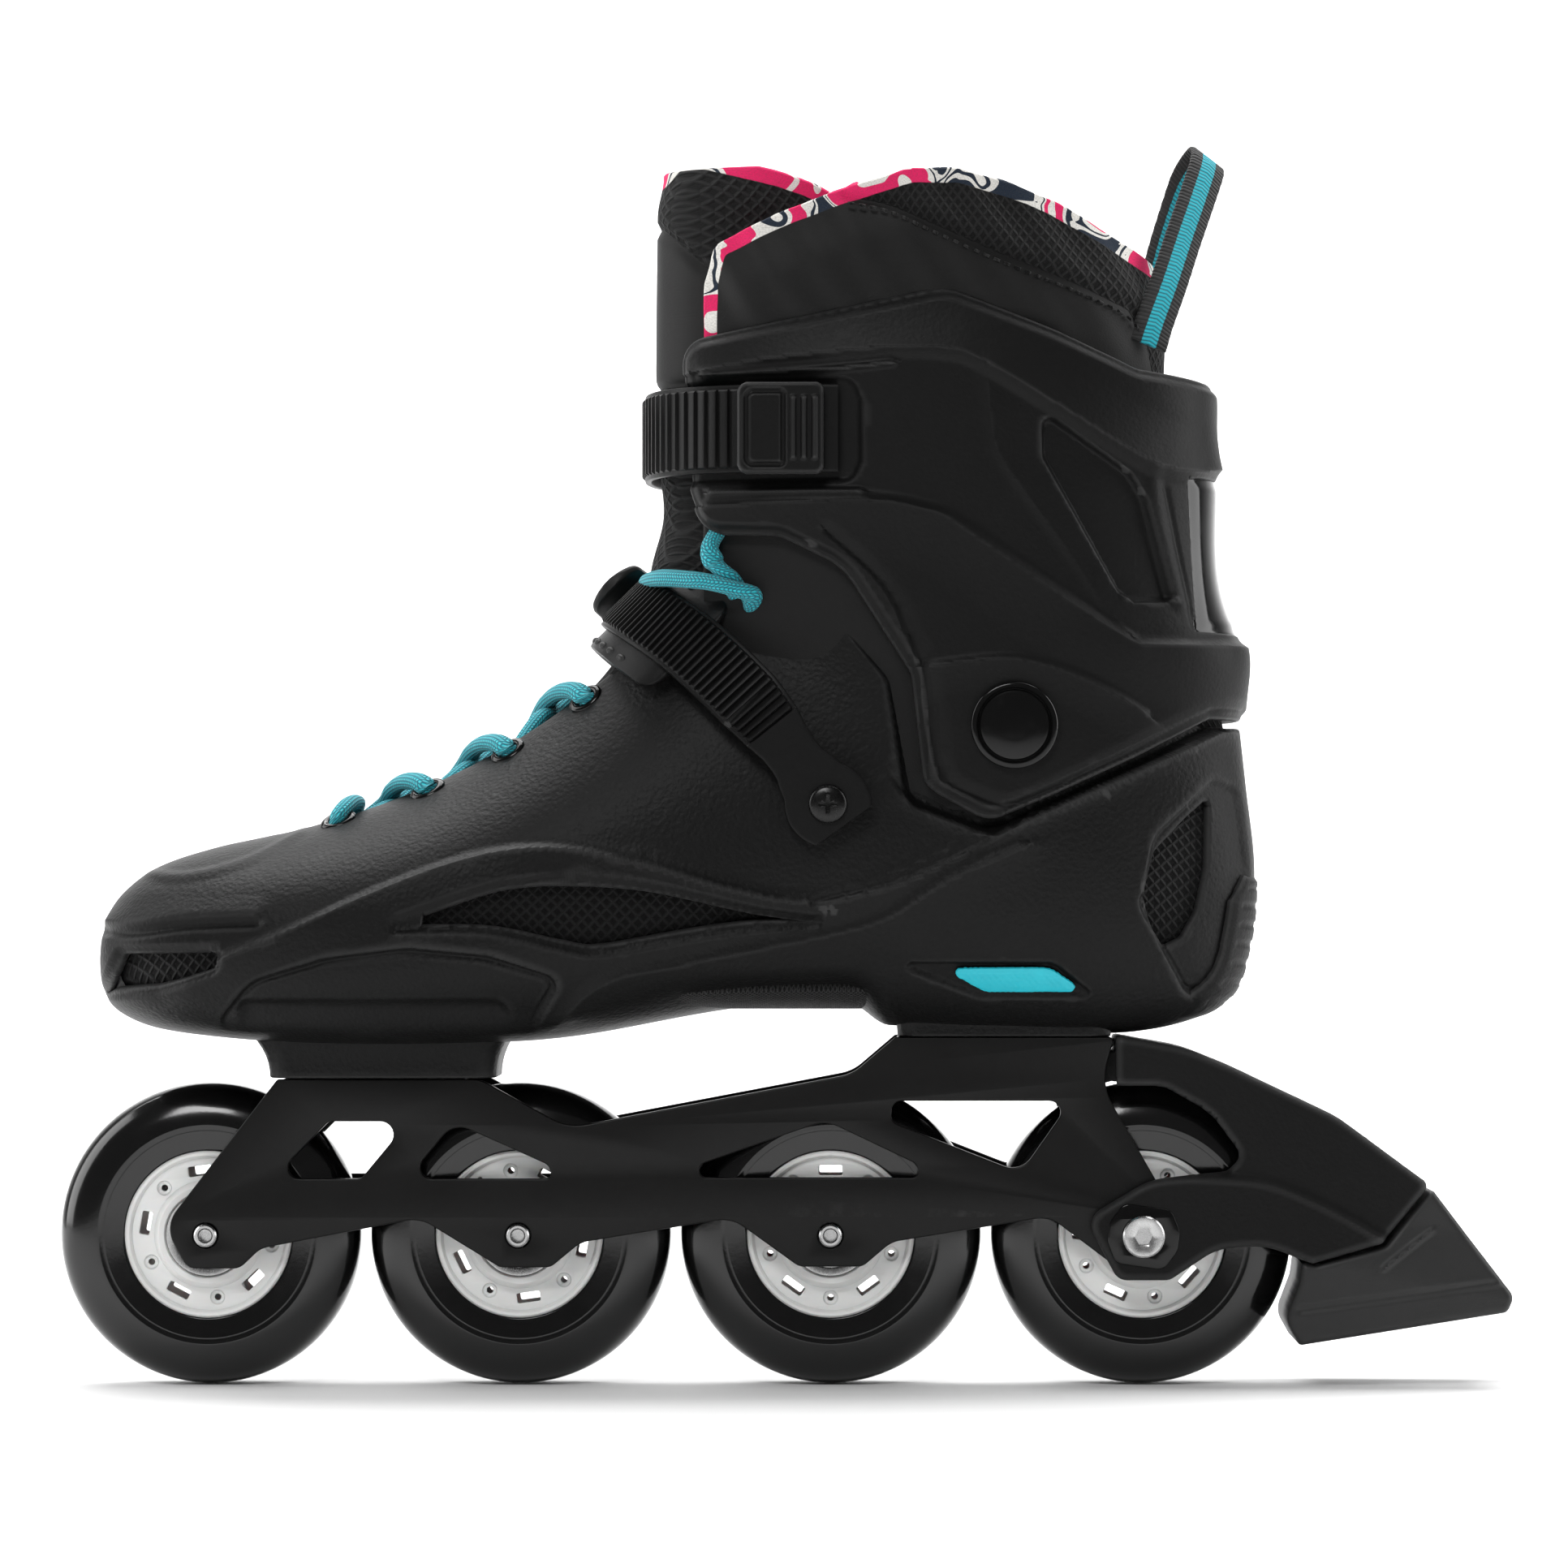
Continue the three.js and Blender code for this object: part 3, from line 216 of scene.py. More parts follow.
def split(points, triangles, value):
    """Cuts triangles along value = 0, so that relief can turn sharply there. Points carry their extras along."""
    value = np.where(np.abs(value) < 0.05, 0, value)
    after = np.roll(triangles, -1, 1)
    here, there = value[triangles], value[after]
    cut = (here * there < 0) & (np.abs(here - there) < 6)
    if not cut.any():
        return points, triangles
    ends = np.sort(np.stack([triangles, after], -1)[cut], 1)
    pairs, which = np.unique(ends, axis=0, return_inverse=True)
    a, b = pairs.T
    t = (value[a] / (value[a] - value[b]))[:, None]
    fresh = np.full(triangles.shape, -1)
    fresh[cut] = which.ravel() + len(points)
    number = cut.sum(1)
    one = np.flatnonzero(number == 1)
    k = cut[one].argmax(1)
    v0, v1, v2 = (triangles[one, (k + j) % 3] for j in range(3))
    p = fresh[one, k]
    made = [triangles[number == 0], np.stack([v0, p, v2], 1), np.stack([p, v1, v2], 1)]
    two = np.flatnonzero(number == 2)
    k = (~cut[two]).argmax(1)
    v1, v2, v0 = (triangles[two, (k + j) % 3] for j in range(3))
    p, q = fresh[two, (k + 2) % 3], fresh[two, (k + 1) % 3]
    made += [np.stack([v0, p, q], 1), np.stack([p, v1, v2], 1), np.stack([p, v2, q], 1)]
    return np.vstack([points, points[a] * (1 - t) + points[b] * t]), np.vstack(made)


def split_levels(points, triangles, line, levels, closed):
    """Cuts triangles where they lie certain distances from a side-view line or inside an outline."""
    places = points[:, [0, 2]]
    low, high = np.min(line, 0) - 9, np.max(line, 0) + 9
    close = ((places >= low) & (places <= high)).all(1)
    value = np.full(len(points), -50.0)
    value[close] = depth_in(places[close], line) if closed else signed_distance(places[close], line)
    for level in levels:
        count = len(points)
        points, triangles = split(points, triangles, value - level)
        value = np.append(value, np.full(len(points) - count, float(level)))
    return points, triangles


def triangles_of(quads):
    return np.vstack([quads[:, [0, 1, 2]], quads[:, [0, 2, 3]]])


def face_normals(points, faces):
    triangles = np.array([(f[0], f[i], f[i + 1]) for f in faces for i in range(1, len(f) - 1)])
    corners = points[triangles]
    return triangles, np.cross(corners[:, 1] - corners[:, 0], corners[:, 2] - corners[:, 0])


def point_normals(points, faces):
    triangles, normals = face_normals(points, faces)
    out = np.zeros_like(points)
    for k in range(3):
        np.add.at(out, triangles[:, k], normals)
    return out / np.maximum(np.linalg.norm(out, axis=1, keepdims=True), 1e-9)


def thicken(points, faces, thickness, rim=3):
    """A sheet given thickness inwards, its open edges closed by a half-round rim."""
    normals = points[:, 3:6] if points.shape[1] >= 6 else point_normals(points[:, :3], faces)
    points = points[:, :3]
    directed = {}
    for f in faces:
        for a, b in zip(f, f[1:] + f[:1]):
            directed[(a, b)] = True
    edges = [(a, b) for a, b in directed if (b, a) not in directed]
    outwards = np.zeros_like(points)
    for a, b in edges:
        out = np.cross(points[b] - points[a], normals[a])
        outwards[a] += out
        outwards[b] += out
    border = sorted({v for e in edges for v in e})
    row = {v: i for i, v in enumerate(border)}
    out = outwards[border]
    out /= np.maximum(np.linalg.norm(out, axis=1, keepdims=True), 1e-9)
    inner = points - normals * thickness
    count = len(points)
    stack = [points, inner]
    for k in range(1, rim + 1):
        turn = math.pi * k / (rim + 1)
        sink = thickness / 2 * (1 - math.cos(turn))
        bulge = min(thickness / 2, 0.8) * math.sin(turn)
        stack.append(points[border] - normals[border] * sink + out * bulge)
    every = np.vstack(stack)
    shell = list(faces) + [[v + count for v in reversed(f)] for f in faces]

    def level(v, k):
        if k == 0:
            return v
        if k == rim + 1:
            return v + count
        return 2 * count + (k - 1) * len(border) + row[v]

    for a, b in edges:
        for k in range(rim + 1):
            shell.append([level(b, k), level(a, k), level(a, k + 1), level(b, k + 1)])
    return every, shell


def sweep(name, path, section, material, closed=False, outs=None, caps=True, scale=None):
    """A section of (across, out) points swept along a path; outs gives each point's outward direction."""
    path = np.asarray(path, float)
    count = len(path)
    if closed:
        tangents = np.roll(path, -1, 0) - np.roll(path, 1, 0)
    else:
        tangents = np.gradient(path, axis=0)
    tangents /= np.maximum(np.linalg.norm(tangents, axis=1, keepdims=True), 1e-9)
    if outs is None:
        out = np.cross(tangents[0], [0.3, 0.2, 0.9])
        outs = []
        for t in tangents:
            out = out - t * (out @ t)
            out /= np.linalg.norm(out)
            outs.append(out)
    outs = np.asarray(outs, float)
    outs = outs - tangents * np.einsum("ij,ij->i", outs, tangents)[:, None]
    outs /= np.maximum(np.linalg.norm(outs, axis=1, keepdims=True), 1e-9)
    across = np.cross(outs, tangents)
    sections = np.asarray(section, float)
    if sections.ndim == 2:
        sections = np.repeat(sections[None], count, 0)
    if scale is not None:
        sections = sections * np.asarray(scale, float)[:, None, None]
    points = (
        path[:, None]
        + across[:, None] * sections[:, :, 0, None]
        + outs[:, None] * sections[:, :, 1, None]
    ).reshape(-1, 3)
    columns = sections.shape[1]
    faces = [list(f) for f in grid_faces(count, columns)]
    if closed:
        last = (count - 1) * columns
        for c in range(columns):
            n = (c + 1) % columns
            faces.append([last + c, c, n, last + n])
    elif caps:
        faces.append(list(range(columns)))
        faces.append([(count - 1) * columns + c for c in reversed(range(columns))])
    obj = make_object(name, points, faces, material)
    add_sweep_map(obj, path, columns, closed)
    return obj


def add_sweep_map(obj, path, columns, closed):
    """A UV map on a swept piece: u is metres along it, v runs once round its section."""
    steps = np.linalg.norm(np.diff(path, axis=0), axis=1)
    along = np.concatenate([[0], np.cumsum(steps)]) * 0.001
    layer = obj.data.uv_layers.new(name="sweep")
    total = along[-1]
    for polygon in obj.data.polygons:
        rows = [obj.data.loops[i].vertex_index // columns for i in polygon.loop_indices]
        columns_here = [obj.data.loops[i].vertex_index % columns for i in polygon.loop_indices]
        wraps = max(columns_here) - min(columns_here) > 1
        for i, r, c in zip(polygon.loop_indices, rows, columns_here):
            v = (c + columns if wraps and c == 0 else c) / columns
            u = along[r] if not (closed and r == 0 and max(rows) > 1) else total
            layer.data[i].uv = (u, v)


def lathe(name, profile, material, centre, segments=96, axis="y"):
    """A closed profile of (radius, height) turned about an axis through centre."""
    profile = np.asarray(profile, float)
    angles = np.arange(segments) * 2 * math.pi / segments
    radius = profile[None, :, 0]
    height = np.broadcast_to(profile[None, :, 1], (segments, len(profile)))
    a = radius * np.cos(angles)[:, None]
    b = radius * np.sin(angles)[:, None]
    columns = {"y": (a, height, b), "z": (a, b, height), "x": (height, a, b)}[axis]
    points = np.stack(columns, -1).reshape(-1, 3) + centre
    count = len(profile)
    faces = []
    for s in range(segments):
        n = (s + 1) % segments
        for k in range(count):
            m = (k + 1) % count
            if profile[k, 0] < 1e-6 and profile[m, 0] < 1e-6:
                continue
            faces.append([s * count + k, n * count + k, n * count + m, s * count + m])
    obj = make_object(name, points, faces, material)
    tidy_mesh(obj)
    return obj


def tidy_mesh(obj, merge=1e-6):
    """Merges doubled points, drops faces with no area and turns every face outwards."""
    bm = bmesh.new()
    bm.from_mesh(obj.data)
    bmesh.ops.remove_doubles(bm, verts=bm.verts, dist=merge)
    bmesh.ops.dissolve_degenerate(bm, dist=merge, edges=bm.edges)
    bmesh.ops.recalc_face_normals(bm, faces=bm.faces)
    bm.to_mesh(obj.data)
    bm.free()
    obj.data.update()


def round_edges(obj, width, segments=3, angle=28):
    """A bevel on the piece's sharp edges, with its flat faces kept flat to look at."""
    bevel = obj.modifiers.new("round_edges", "BEVEL")
    bevel.width = width * 0.001
    bevel.segments = segments
    bevel.limit_method = "ANGLE"
    bevel.angle_limit = math.radians(angle)
    bevel.harden_normals = True
    return obj


def apply_modifiers(obj):
    graph = bpy.context.evaluated_depsgraph_get()
    mesh = bpy.data.meshes.new_from_object(obj.evaluated_get(graph))
    obj.modifiers.clear()
    obj.data = mesh
    return obj


def plate(name, outline, holes, low, high, material, bevel=0.6, axis="y"):
    """A flat plate with holes, from y = low to y = high, with rounded edges."""
    curve = bpy.data.curves.new(name, "CURVE")
    curve.dimensions = "2D"
    curve.fill_mode = "BOTH"
    curve.extrude = (high - low) / 2 - bevel
    curve.bevel_depth = bevel
    curve.bevel_resolution = 2
    curve.offset = -bevel
    for ring in [outline, *holes]:
        spline = curve.splines.new("POLY")
        spline.points.add(len(ring) - 1)
        spline.use_cyclic_u = True
        for point, (x, z) in zip(spline.points, ring):
            point.co = (x, z, 0, 1)
    obj = bpy.data.objects.new(name, curve)
    bpy.context.scene.collection.objects.link(obj)
    mesh = bpy.data.meshes.new_from_object(obj.evaluated_get(bpy.context.evaluated_depsgraph_get()))
    bpy.data.objects.remove(obj)
    bpy.data.curves.remove(curve)
    co = np.array([v.co for v in mesh.vertices])
    middle = (low + high) / 2
    if axis == "y":
        points = np.stack([co[:, 0], middle - co[:, 2], co[:, 1]], 1)
    else:
        points = np.stack([co[:, 0], co[:, 1], middle + co[:, 2]], 1)
    faces = [list(p.vertices) for p in mesh.polygons]
    bpy.data.meshes.remove(mesh)
    made = make_object(name, points, faces, material)
    tidy_mesh(made, 2e-6)
    made.data.shade_smooth()
    made.data.set_sharp_from_angle(angle=math.radians(35))
    return made


def subtract(obj, *cutters):
    """Cuts other objects out of this one and removes them."""
    for cutter in cutters:
        boolean = obj.modifiers.new("cut", "BOOLEAN")
        boolean.operation = "DIFFERENCE"
        boolean.solver = "EXACT"
        boolean.object = cutter
        bpy.context.view_layer.update()
        apply_modifiers(obj)
        bpy.data.objects.remove(cutter)
    return obj


def join(name, *objects):
    """Joins objects into the first one, keeping their materials."""
    with bpy.context.temp_override(
        active_object=objects[0], object=objects[0], selected_objects=objects, selected_editable_objects=objects
    ):
        bpy.ops.object.join()
    objects[0].name = name
    objects[0].data.name = name
    return objects[0]


# ---------------------------------------------------------------- the boot's surfaces
# Each section of the boot runs from its top or front to its sole or back: top x, z, base x, z, half-widths
# near the top, in the middle and near the base, and how square its two ends are.
SECTIONS = np.array([
    [-182, 117, -182, 107, 9, 10, 9, 2, 2],
    [-180.3, 124.5, -180.3, 102, 20, 22, 21, 2.2, 2.4],
    [-176, 131, -176, 98, 28, 31, 30, 2.2, 2.6],
    [-167, 137.5, -167, 94.5, 35, 39, 38, 2.2, 2.8],
    [-152, 142.5, -152, 92.3, 40, 45.5, 44, 2.3, 3],
    [-132, 147, -132, 90.8, 42, 50.5, 48, 2.3, 3.2],
    [-108, 154.5, -108, 90.3, 40, 53, 50, 2.3, 3.4],
    [-84, 165.5, -82, 90.6, 36, 52, 49, 2.3, 3.4],
    [-62, 180, -54, 92, 33, 49.5, 46, 2.3, 3.4],
    [-46, 195, -22, 94.2, 31, 47.5, 43, 2.3, 3.2],
    [-37, 209, 14, 95.5, 30, 45.5, 41, 2.4, 3],
    [-32, 221, 54, 94, 30, 44, 39.5, 2.5, 3],
    [-29.5, 231, 92, 93.5, 30, 43, 38, 2.6, 2.8],
    [-28.5, 239.5, 115.5, 101, 31, 42.8, 36, 2.6, 2.6],
    [-28, 247, 122.5, 117, 32, 42.6, 35, 2.6, 2.6],
    [-28, 254, 124, 137, 33, 42.6, 35, 2.6, 2.6],
    [-28, 261, 121.8, 158, 33, 42.6, 35, 2.6, 2.6],
    [-28, 268, 119.8, 176, 34, 42.6, 35, 2.6, 2.6],
])
# The cuff's, liner's and tongue's level sections: z, front x, back x, half-width.
CUFF_LEVELS = np.array([
    [140, -42, 120.5, 45.2], [176, -42, 121.8, 45.2], [195, -42, 121, 45.2], [203, -42, 117, 45.2],
    [240, -42, 113.6, 45.6], [262, -42, 114, 46], [292, -42, 109, 46],
])
LINER_LEVELS = np.array([
    [168, -40, 108, 39], [215, -40, 103, 39.5], [255, -40, 100.5, 40], [290, -40, 98, 42], [326, -40, 94, 42],
])
TONGUE_LEVELS = np.array([[200, -34, 54, 26], [262, -34, 54, 26], [328, -33.5, 54, 27]])


def section_at(u):
    """The boot's sections blended smoothly at places u, counted in sections from the toe."""
    i = np.minimum(np.asarray(u).astype(int), len(SECTIONS) - 2)
    f = (u - i)[..., None]
    a, b, c, d = (SECTIONS[np.clip(i + k, 0, len(SECTIONS) - 1)] for k in (-1, 0, 1, 2))
    return 0.5 * (2 * b + (c - a) * f + (2 * a - 5 * b + 4 * c - d) * f**2 + (3 * b - a - 3 * c + d) * f**3)


def boot_point(u, angle, off=0.0):
    """A point of the boot's surface, moved out by off; angle runs from the top round by the inner side."""
    s = section_at(u)
    top, base, widths = s[..., 0:2], s[..., 2:4], np.maximum(s[..., 4:7] + off, 1)
    axis = (base - top) / np.linalg.norm(base - top, axis=-1, keepdims=True)
    top, base = top - axis * off, base + axis * off
    c, w = np.cos(angle), np.sin(angle)
    power = 2 / np.where(c > 0, s[..., 7], s[..., 8])
    a = 0.5 - 0.5 * np.sign(c) * np.abs(c) ** power
    width = (
        widths[..., 0] * (1 - a) * (1 - 2 * a) + 4 * widths[..., 1] * a * (1 - a) + widths[..., 2] * a * (2 * a - 1)
    )
    spot = top + (base - top) * a[..., None]
    toe = np.clip((-150 - s[..., 0]) / 32, 0, 1)
    return np.stack([spot[..., 0] - toe * off, -np.sign(w) * width * np.abs(w) ** power, spot[..., 1]], -1)


def boot_grid(step, round_steps, off=0.0, last=17.0):
    """Rows of points round the boot, about `step` apart, from the toe to section `last`."""
    ends = SECTIONS[:, :4]
    gaps = np.maximum(
        np.linalg.norm(np.diff(ends[:, :2], axis=0), axis=1), np.linalg.norm(np.diff(ends[:, 2:4], axis=0), axis=1)
    )
    stations = [i + k / n for i, n in enumerate(np.ceil(gaps / step).astype(int)) for k in range(n)]
    stations = np.append([u for u in stations if u < last], last)
    angle = np.arange(round_steps) * 2 * math.pi / round_steps
    uu, aa = np.meshgrid(stations, angle, indexing="ij")
    return boot_point(uu, aa, off)


def level_at(levels, z):
    """The front, back and half-width of a set of level sections at heights z, blended smoothly."""
    i = np.clip(np.searchsorted(levels[:, 0], z, side="right") - 1, 0, len(levels) - 2)
    span = levels[i + 1, 0] - levels[i, 0]
    f = np.clip((z - levels[i, 0]) / span, 0, 1)[..., None]
    slope = np.gradient(levels[:, 1:], levels[:, 0], axis=0)
    a, b = levels[i, 1:], levels[i + 1, 1:]
    m, n = slope[i] * span[..., None], slope[i + 1] * span[..., None]
    return (
        (2 * f**3 - 3 * f**2 + 1) * a + (f**3 - 2 * f**2 + f) * m + (3 * f**2 - 2 * f**3) * b + (f**3 - f**2) * n
    )


def level_point(levels, z, angle, off=0.0, power=2.6):
    """A point on a level section; angle 0 is the back and a quarter turn is the inner side."""
    front, back, half = np.moveaxis(level_at(levels, np.asarray(z, float)), -1, 0)
    c, s = np.cos(angle), np.sin(angle)
    x = (front + back) / 2 + ((back - front) / 2 + off) * np.sign(c) * np.abs(c) ** (2 / power)
    y = -(half + off) * np.sign(s) * np.abs(s) ** (2 / power)
    return np.stack([x, y, z * np.ones_like(x)], -1)


def level_grid(levels, heights, round_steps, off=0.0, power=2.6):
    angle = np.arange(round_steps) * 2 * math.pi / round_steps
    zz, aa = np.meshgrid(heights, angle, indexing="ij")
    return level_point(levels, zz, aa, off, power)


def grid_normals(grid):
    """Outward normals of a grid of rows of points, each row closed on itself."""
    down = np.gradient(grid, axis=0)
    around = np.roll(grid, -1, 1) - np.roll(grid, 1, 1)
    normal = np.cross(down, around)
    normal /= np.maximum(np.linalg.norm(normal, axis=-1, keepdims=True), 1e-9)
    middle = grid.mean(1, keepdims=True)
    outward = np.einsum("rck,rck->r", normal, grid - middle)
    return normal * np.sign(outward)[:, None, None]


def surface_y(build, x, z):
    """How far out a side surface, given as flat x, z and |y| samples, lies at each x, z place."""
    gap = (build[:, 0] - x) ** 2 + (build[:, 2] - z) ** 2
    nearest = np.argsort(gap)[:4]
    weight = 1 / (gap[nearest] + 1e-3)
    return float((np.abs(build[nearest, 1]) * weight).sum() / weight.sum())


def ridge(places, line, width, height, smooth=True):
    """Relief that rises to height along a line and fades out width away from it."""
    line = catmull(line, 6) if smooth else line
    return near(places, line, width, lambda p: height * (1 - smoothstep(distance(p, line), 0, width)))


def panel(places, outline, depth, soft, radius=0):
    """Relief that is sunk by depth inside a closed outline, over an edge soft wide."""
    outline = rounded(outline) if radius == 0 else outline
    return near(places, outline, soft, lambda p: -depth * smoothstep(depth_in(p, outline), -soft / 2, soft / 2))


def near(places, line, margin, relief):
    """The relief at places by a line, and nothing elsewhere."""
    low, high = np.min(line, 0) - margin, np.max(line, 0) + margin
    close = ((places >= low) & (places <= high)).all(1)
    out = np.zeros(len(places))
    if close.any():
        out[close] = relief(places[close])
    return out


def signed_distance(places, line):
    """Distance from an open line, positive on its left as it runs."""
    best = np.full(len(places), np.inf)
    sign = np.ones(len(places))
    for a, b in zip(line[:-1], line[1:]):
        ab = b - a
        t = np.clip((places - a) @ ab / max(ab @ ab, 1e-12), 0, 1)
        gap = places - a - t[:, None] * ab
        size = np.einsum("ij,ij->i", gap, gap)
        closer = size < best
        best[closer] = size[closer]
        side = ab[0] * (places[:, 1] - a[1]) - ab[1] * (places[:, 0] - a[0])
        sign[closer] = np.where(side[closer] >= 0, 1, -1)
    return np.sqrt(best) * sign


def lip(places, line, left, right, height):
    """Relief that peaks along a line and fades over `left` and `right` to its two sides."""
    line = catmull(line, 6)

    def shape(p):
        s = signed_distance(p, line)
        share = np.where(s >= 0, s / left, -s / right)
        return height * np.clip(1 - share, 0, 1) ** 1.5

    return near(places, line, max(left, right), shape)


# ---------------------------------------------------------------- materials
class Nodes:
    """A short way to write a material's nodes."""

    def __init__(self, name, slot):
        self.material = bpy.data.materials.new(name)
        self.material.use_nodes = True
        self.tree = self.material.node_tree
        self.shader = self.tree.nodes["Principled BSDF"]
        self.slot = slot

    def add(self, kind, inputs=None, **settings):
        node = self.tree.nodes.new(kind)
        for key, value in settings.items():
            setattr(node, key, value)
        for key, value in (inputs or {}).items():
            self.put(node.inputs[key], value)
        return node

    def put(self, socket, value):
        if isinstance(value, bpy.types.NodeSocket):
            self.tree.links.new(value, socket)
        elif isinstance(value, bpy.types.Node):
            self.tree.links.new(value.outputs[0], socket)
        else:
            socket.default_value = value

    def set(self, **inputs):
        for key, value in inputs.items():
            self.put(self.shader.inputs[key.replace("_", " ")], value)

    def rest(self):
        """Where a point lies on the skate at rest, in metres."""
        return self.add("ShaderNodeTexCoord").outputs["Object"]

    def noise(self, scale, detail=2.0, rough=0.5, vector=None, distortion=0.0):
        inputs = {"Scale": scale, "Detail": detail, "Roughness": rough, "Distortion": distortion}
        node = self.add("ShaderNodeTexNoise", inputs)
        self.put(node.inputs["Vector"], vector if vector is not None else self.rest())
        return node.outputs["Fac"]

    def ramp(self, value, low, high, start=0.0, end=1.0):
        node = self.add("ShaderNodeMapRange", {"Value": value, "From Min": start, "From Max": end})
        self.put(node.inputs["To Min"], low)
        self.put(node.inputs["To Max"], high)
        return node.outputs["Result"]

    def math(self, operation, a, b=0.0):
        node = self.add("ShaderNodeMath", operation=operation)
        self.put(node.inputs[0], a)
        self.put(node.inputs[1], b)
        return node.outputs[0]

    def mix(self, factor, a, b):
        node = self.add("ShaderNodeMix", data_type="RGBA")
        self.put(node.inputs["Factor"], factor)
        self.put(node.inputs["A"], a)
        self.put(node.inputs["B"], b)
        return node.outputs["Result"]

    def bump(self, height, distance, strength=1.0, below=None):
        node = self.add("ShaderNodeBump", {"Strength": strength, "Distance": distance, "Height": height})
        if below is not None:
            self.put(node.inputs["Normal"], below)
        return node.outputs["Normal"]


def grey(value, warmth=0.0):
    return (value * (1 + warmth), value, value * (1 - warmth), 1)


def moulded_plastic(name, slot, tone, roughness, grain=0.00007, pitch=900, scuffs=0.06):
    """Moulded plastic: a fine leather-like grain, faint mottling, a few rubbed patches and a painted highlight on its
    convex edges and ridges.
    """
    n = Nodes(name, slot)
    cells = n.add("ShaderNodeTexVoronoi", {"Scale": pitch, "Randomness": 1.0}, feature="SMOOTH_F1")
    n.put(cells.inputs["Vector"], n.rest())
    fine = n.noise(pitch * 2.2, 3)
    height = n.math("ADD", n.math("MULTIPLY", cells.outputs["Distance"], 0.8), n.math("MULTIPLY", fine, 0.45))
    mottle = n.noise(38, 4, 0.6)
    rubbed = n.ramp(n.noise(90, 5, 0.65), 0.0, scuffs, 0.56, 0.74)
    # Painted highlight: convex edges and ridges are lightened towards grey 0.03, standing in for the light they catch.
    edges = n.ramp(n.add("ShaderNodeNewGeometry").outputs["Pointiness"], 0.0, 1.0, 0.508, 0.56)
    n.set(
        Base_Color=n.mix(edges, n.mix(mottle, grey(tone * 0.82), grey(tone * 1.18)), grey(0.03)),
        Roughness=n.math("SUBTRACT", n.ramp(fine, roughness - 0.06, roughness + 0.08), rubbed),
        Normal=n.bump(height, grain),
    )
    n.shader.inputs["Specular IOR Level"].default_value = 0.14
    return n


def gloss_plastic():
    n = Nodes("gloss_black", "gloss_plastic")
    dust = n.ramp(n.noise(260, 6, 0.7), 0.0, 0.16, 0.52, 0.8)
    n.set(Base_Color=grey(0.003), Roughness=n.math("ADD", dust, 0.14), Normal=n.bump(n.noise(20, 1), 0.0001, 0.5))
    n.shader.inputs["Specular IOR Level"].default_value = 0.2
    n.shader.inputs["Coat Weight"].default_value = 0.2
    n.shader.inputs["Coat Roughness"].default_value = 0.05
    return n


def painted_metal():
    """Satin black paint on aluminium, with a fine orange-peel and bright wear worn into nothing but edges."""
    n = Nodes("frame_paint", "frame_metal")
    peel = n.noise(2400, 2, 0.5)
    broad = n.noise(25, 3, 0.6)
    pointy = n.add("ShaderNodeNewGeometry").outputs["Pointiness"]
    worn = n.math("MULTIPLY", n.ramp(pointy, 0.0, 1.0, 0.54, 0.62), n.ramp(n.noise(140, 5, 0.7), 0.0, 1.0, 0.5, 0.7))
    n.set(
        Base_Color=n.mix(worn, n.mix(broad, grey(0.0036), grey(0.0058, 0.03)), grey(0.06)),
        Roughness=n.ramp(n.noise(60, 5, 0.6), 0.3, 0.44),
        Normal=n.bump(peel, 0.00002),
    )
    n.shader.inputs["Metallic"].default_value = 0.0
    n.shader.inputs["Specular IOR Level"].default_value = 0.2
    return n


def bare_metal(name, slot, tone, roughness, warmth=0.0):
    n = Nodes(name, slot)
    scratches = n.noise(900, 4, 0.7, distortion=0.6)
    n.set(
        Base_Color=n.mix(n.noise(300, 3), grey(tone * 0.85, warmth), grey(tone, warmth)),
        Roughness=n.ramp(scratches, roughness - 0.08, roughness + 0.12),
        Normal=n.bump(scratches, 0.000004),
    )
    n.shader.inputs["Metallic"].default_value = 1.0
    return n


def rubber(name, slot, tone, roughness, grain=0.00003, pitch=1500):
    n = Nodes(name, slot)
    speck = n.noise(pitch, 3, 0.6)
    n.set(
        Base_Color=n.mix(n.noise(60, 4), grey(tone * 0.8), grey(tone * 1.25)),
        Roughness=n.ramp(n.noise(160, 4), roughness - 0.05, roughness + 0.07),
        Normal=n.bump(speck, grain),
    )
    return n


def hub_plastic():
    n = Nodes("hub_white", "hub_plastic")
    cloud = n.noise(70, 4, 0.6)
    n.set(
        Base_Color=n.mix(cloud, (0.74, 0.74, 0.73, 1), (0.84, 0.84, 0.83, 1)),
        Roughness=n.ramp(n.noise(400, 3), 0.34, 0.46),
        Normal=n.bump(n.noise(1600, 2), 0.00002),
    )
    n.shader.inputs["Subsurface Weight"].default_value = 0.06
    n.shader.inputs["Subsurface Scale"].default_value = 0.002
    return n


def accent_plastic():
    n = Nodes("accent_cyan", "accent_plastic")
    cloud = n.noise(200, 3)
    n.set(
        Base_Color=n.mix(cloud, (0.006, 0.42, 0.52, 1), (0.009, 0.5, 0.6, 1)),
        Roughness=n.ramp(n.noise(500, 3), 0.38, 0.5),
        Normal=n.bump(n.noise(1500, 2), 0.00002),
    )
    return n


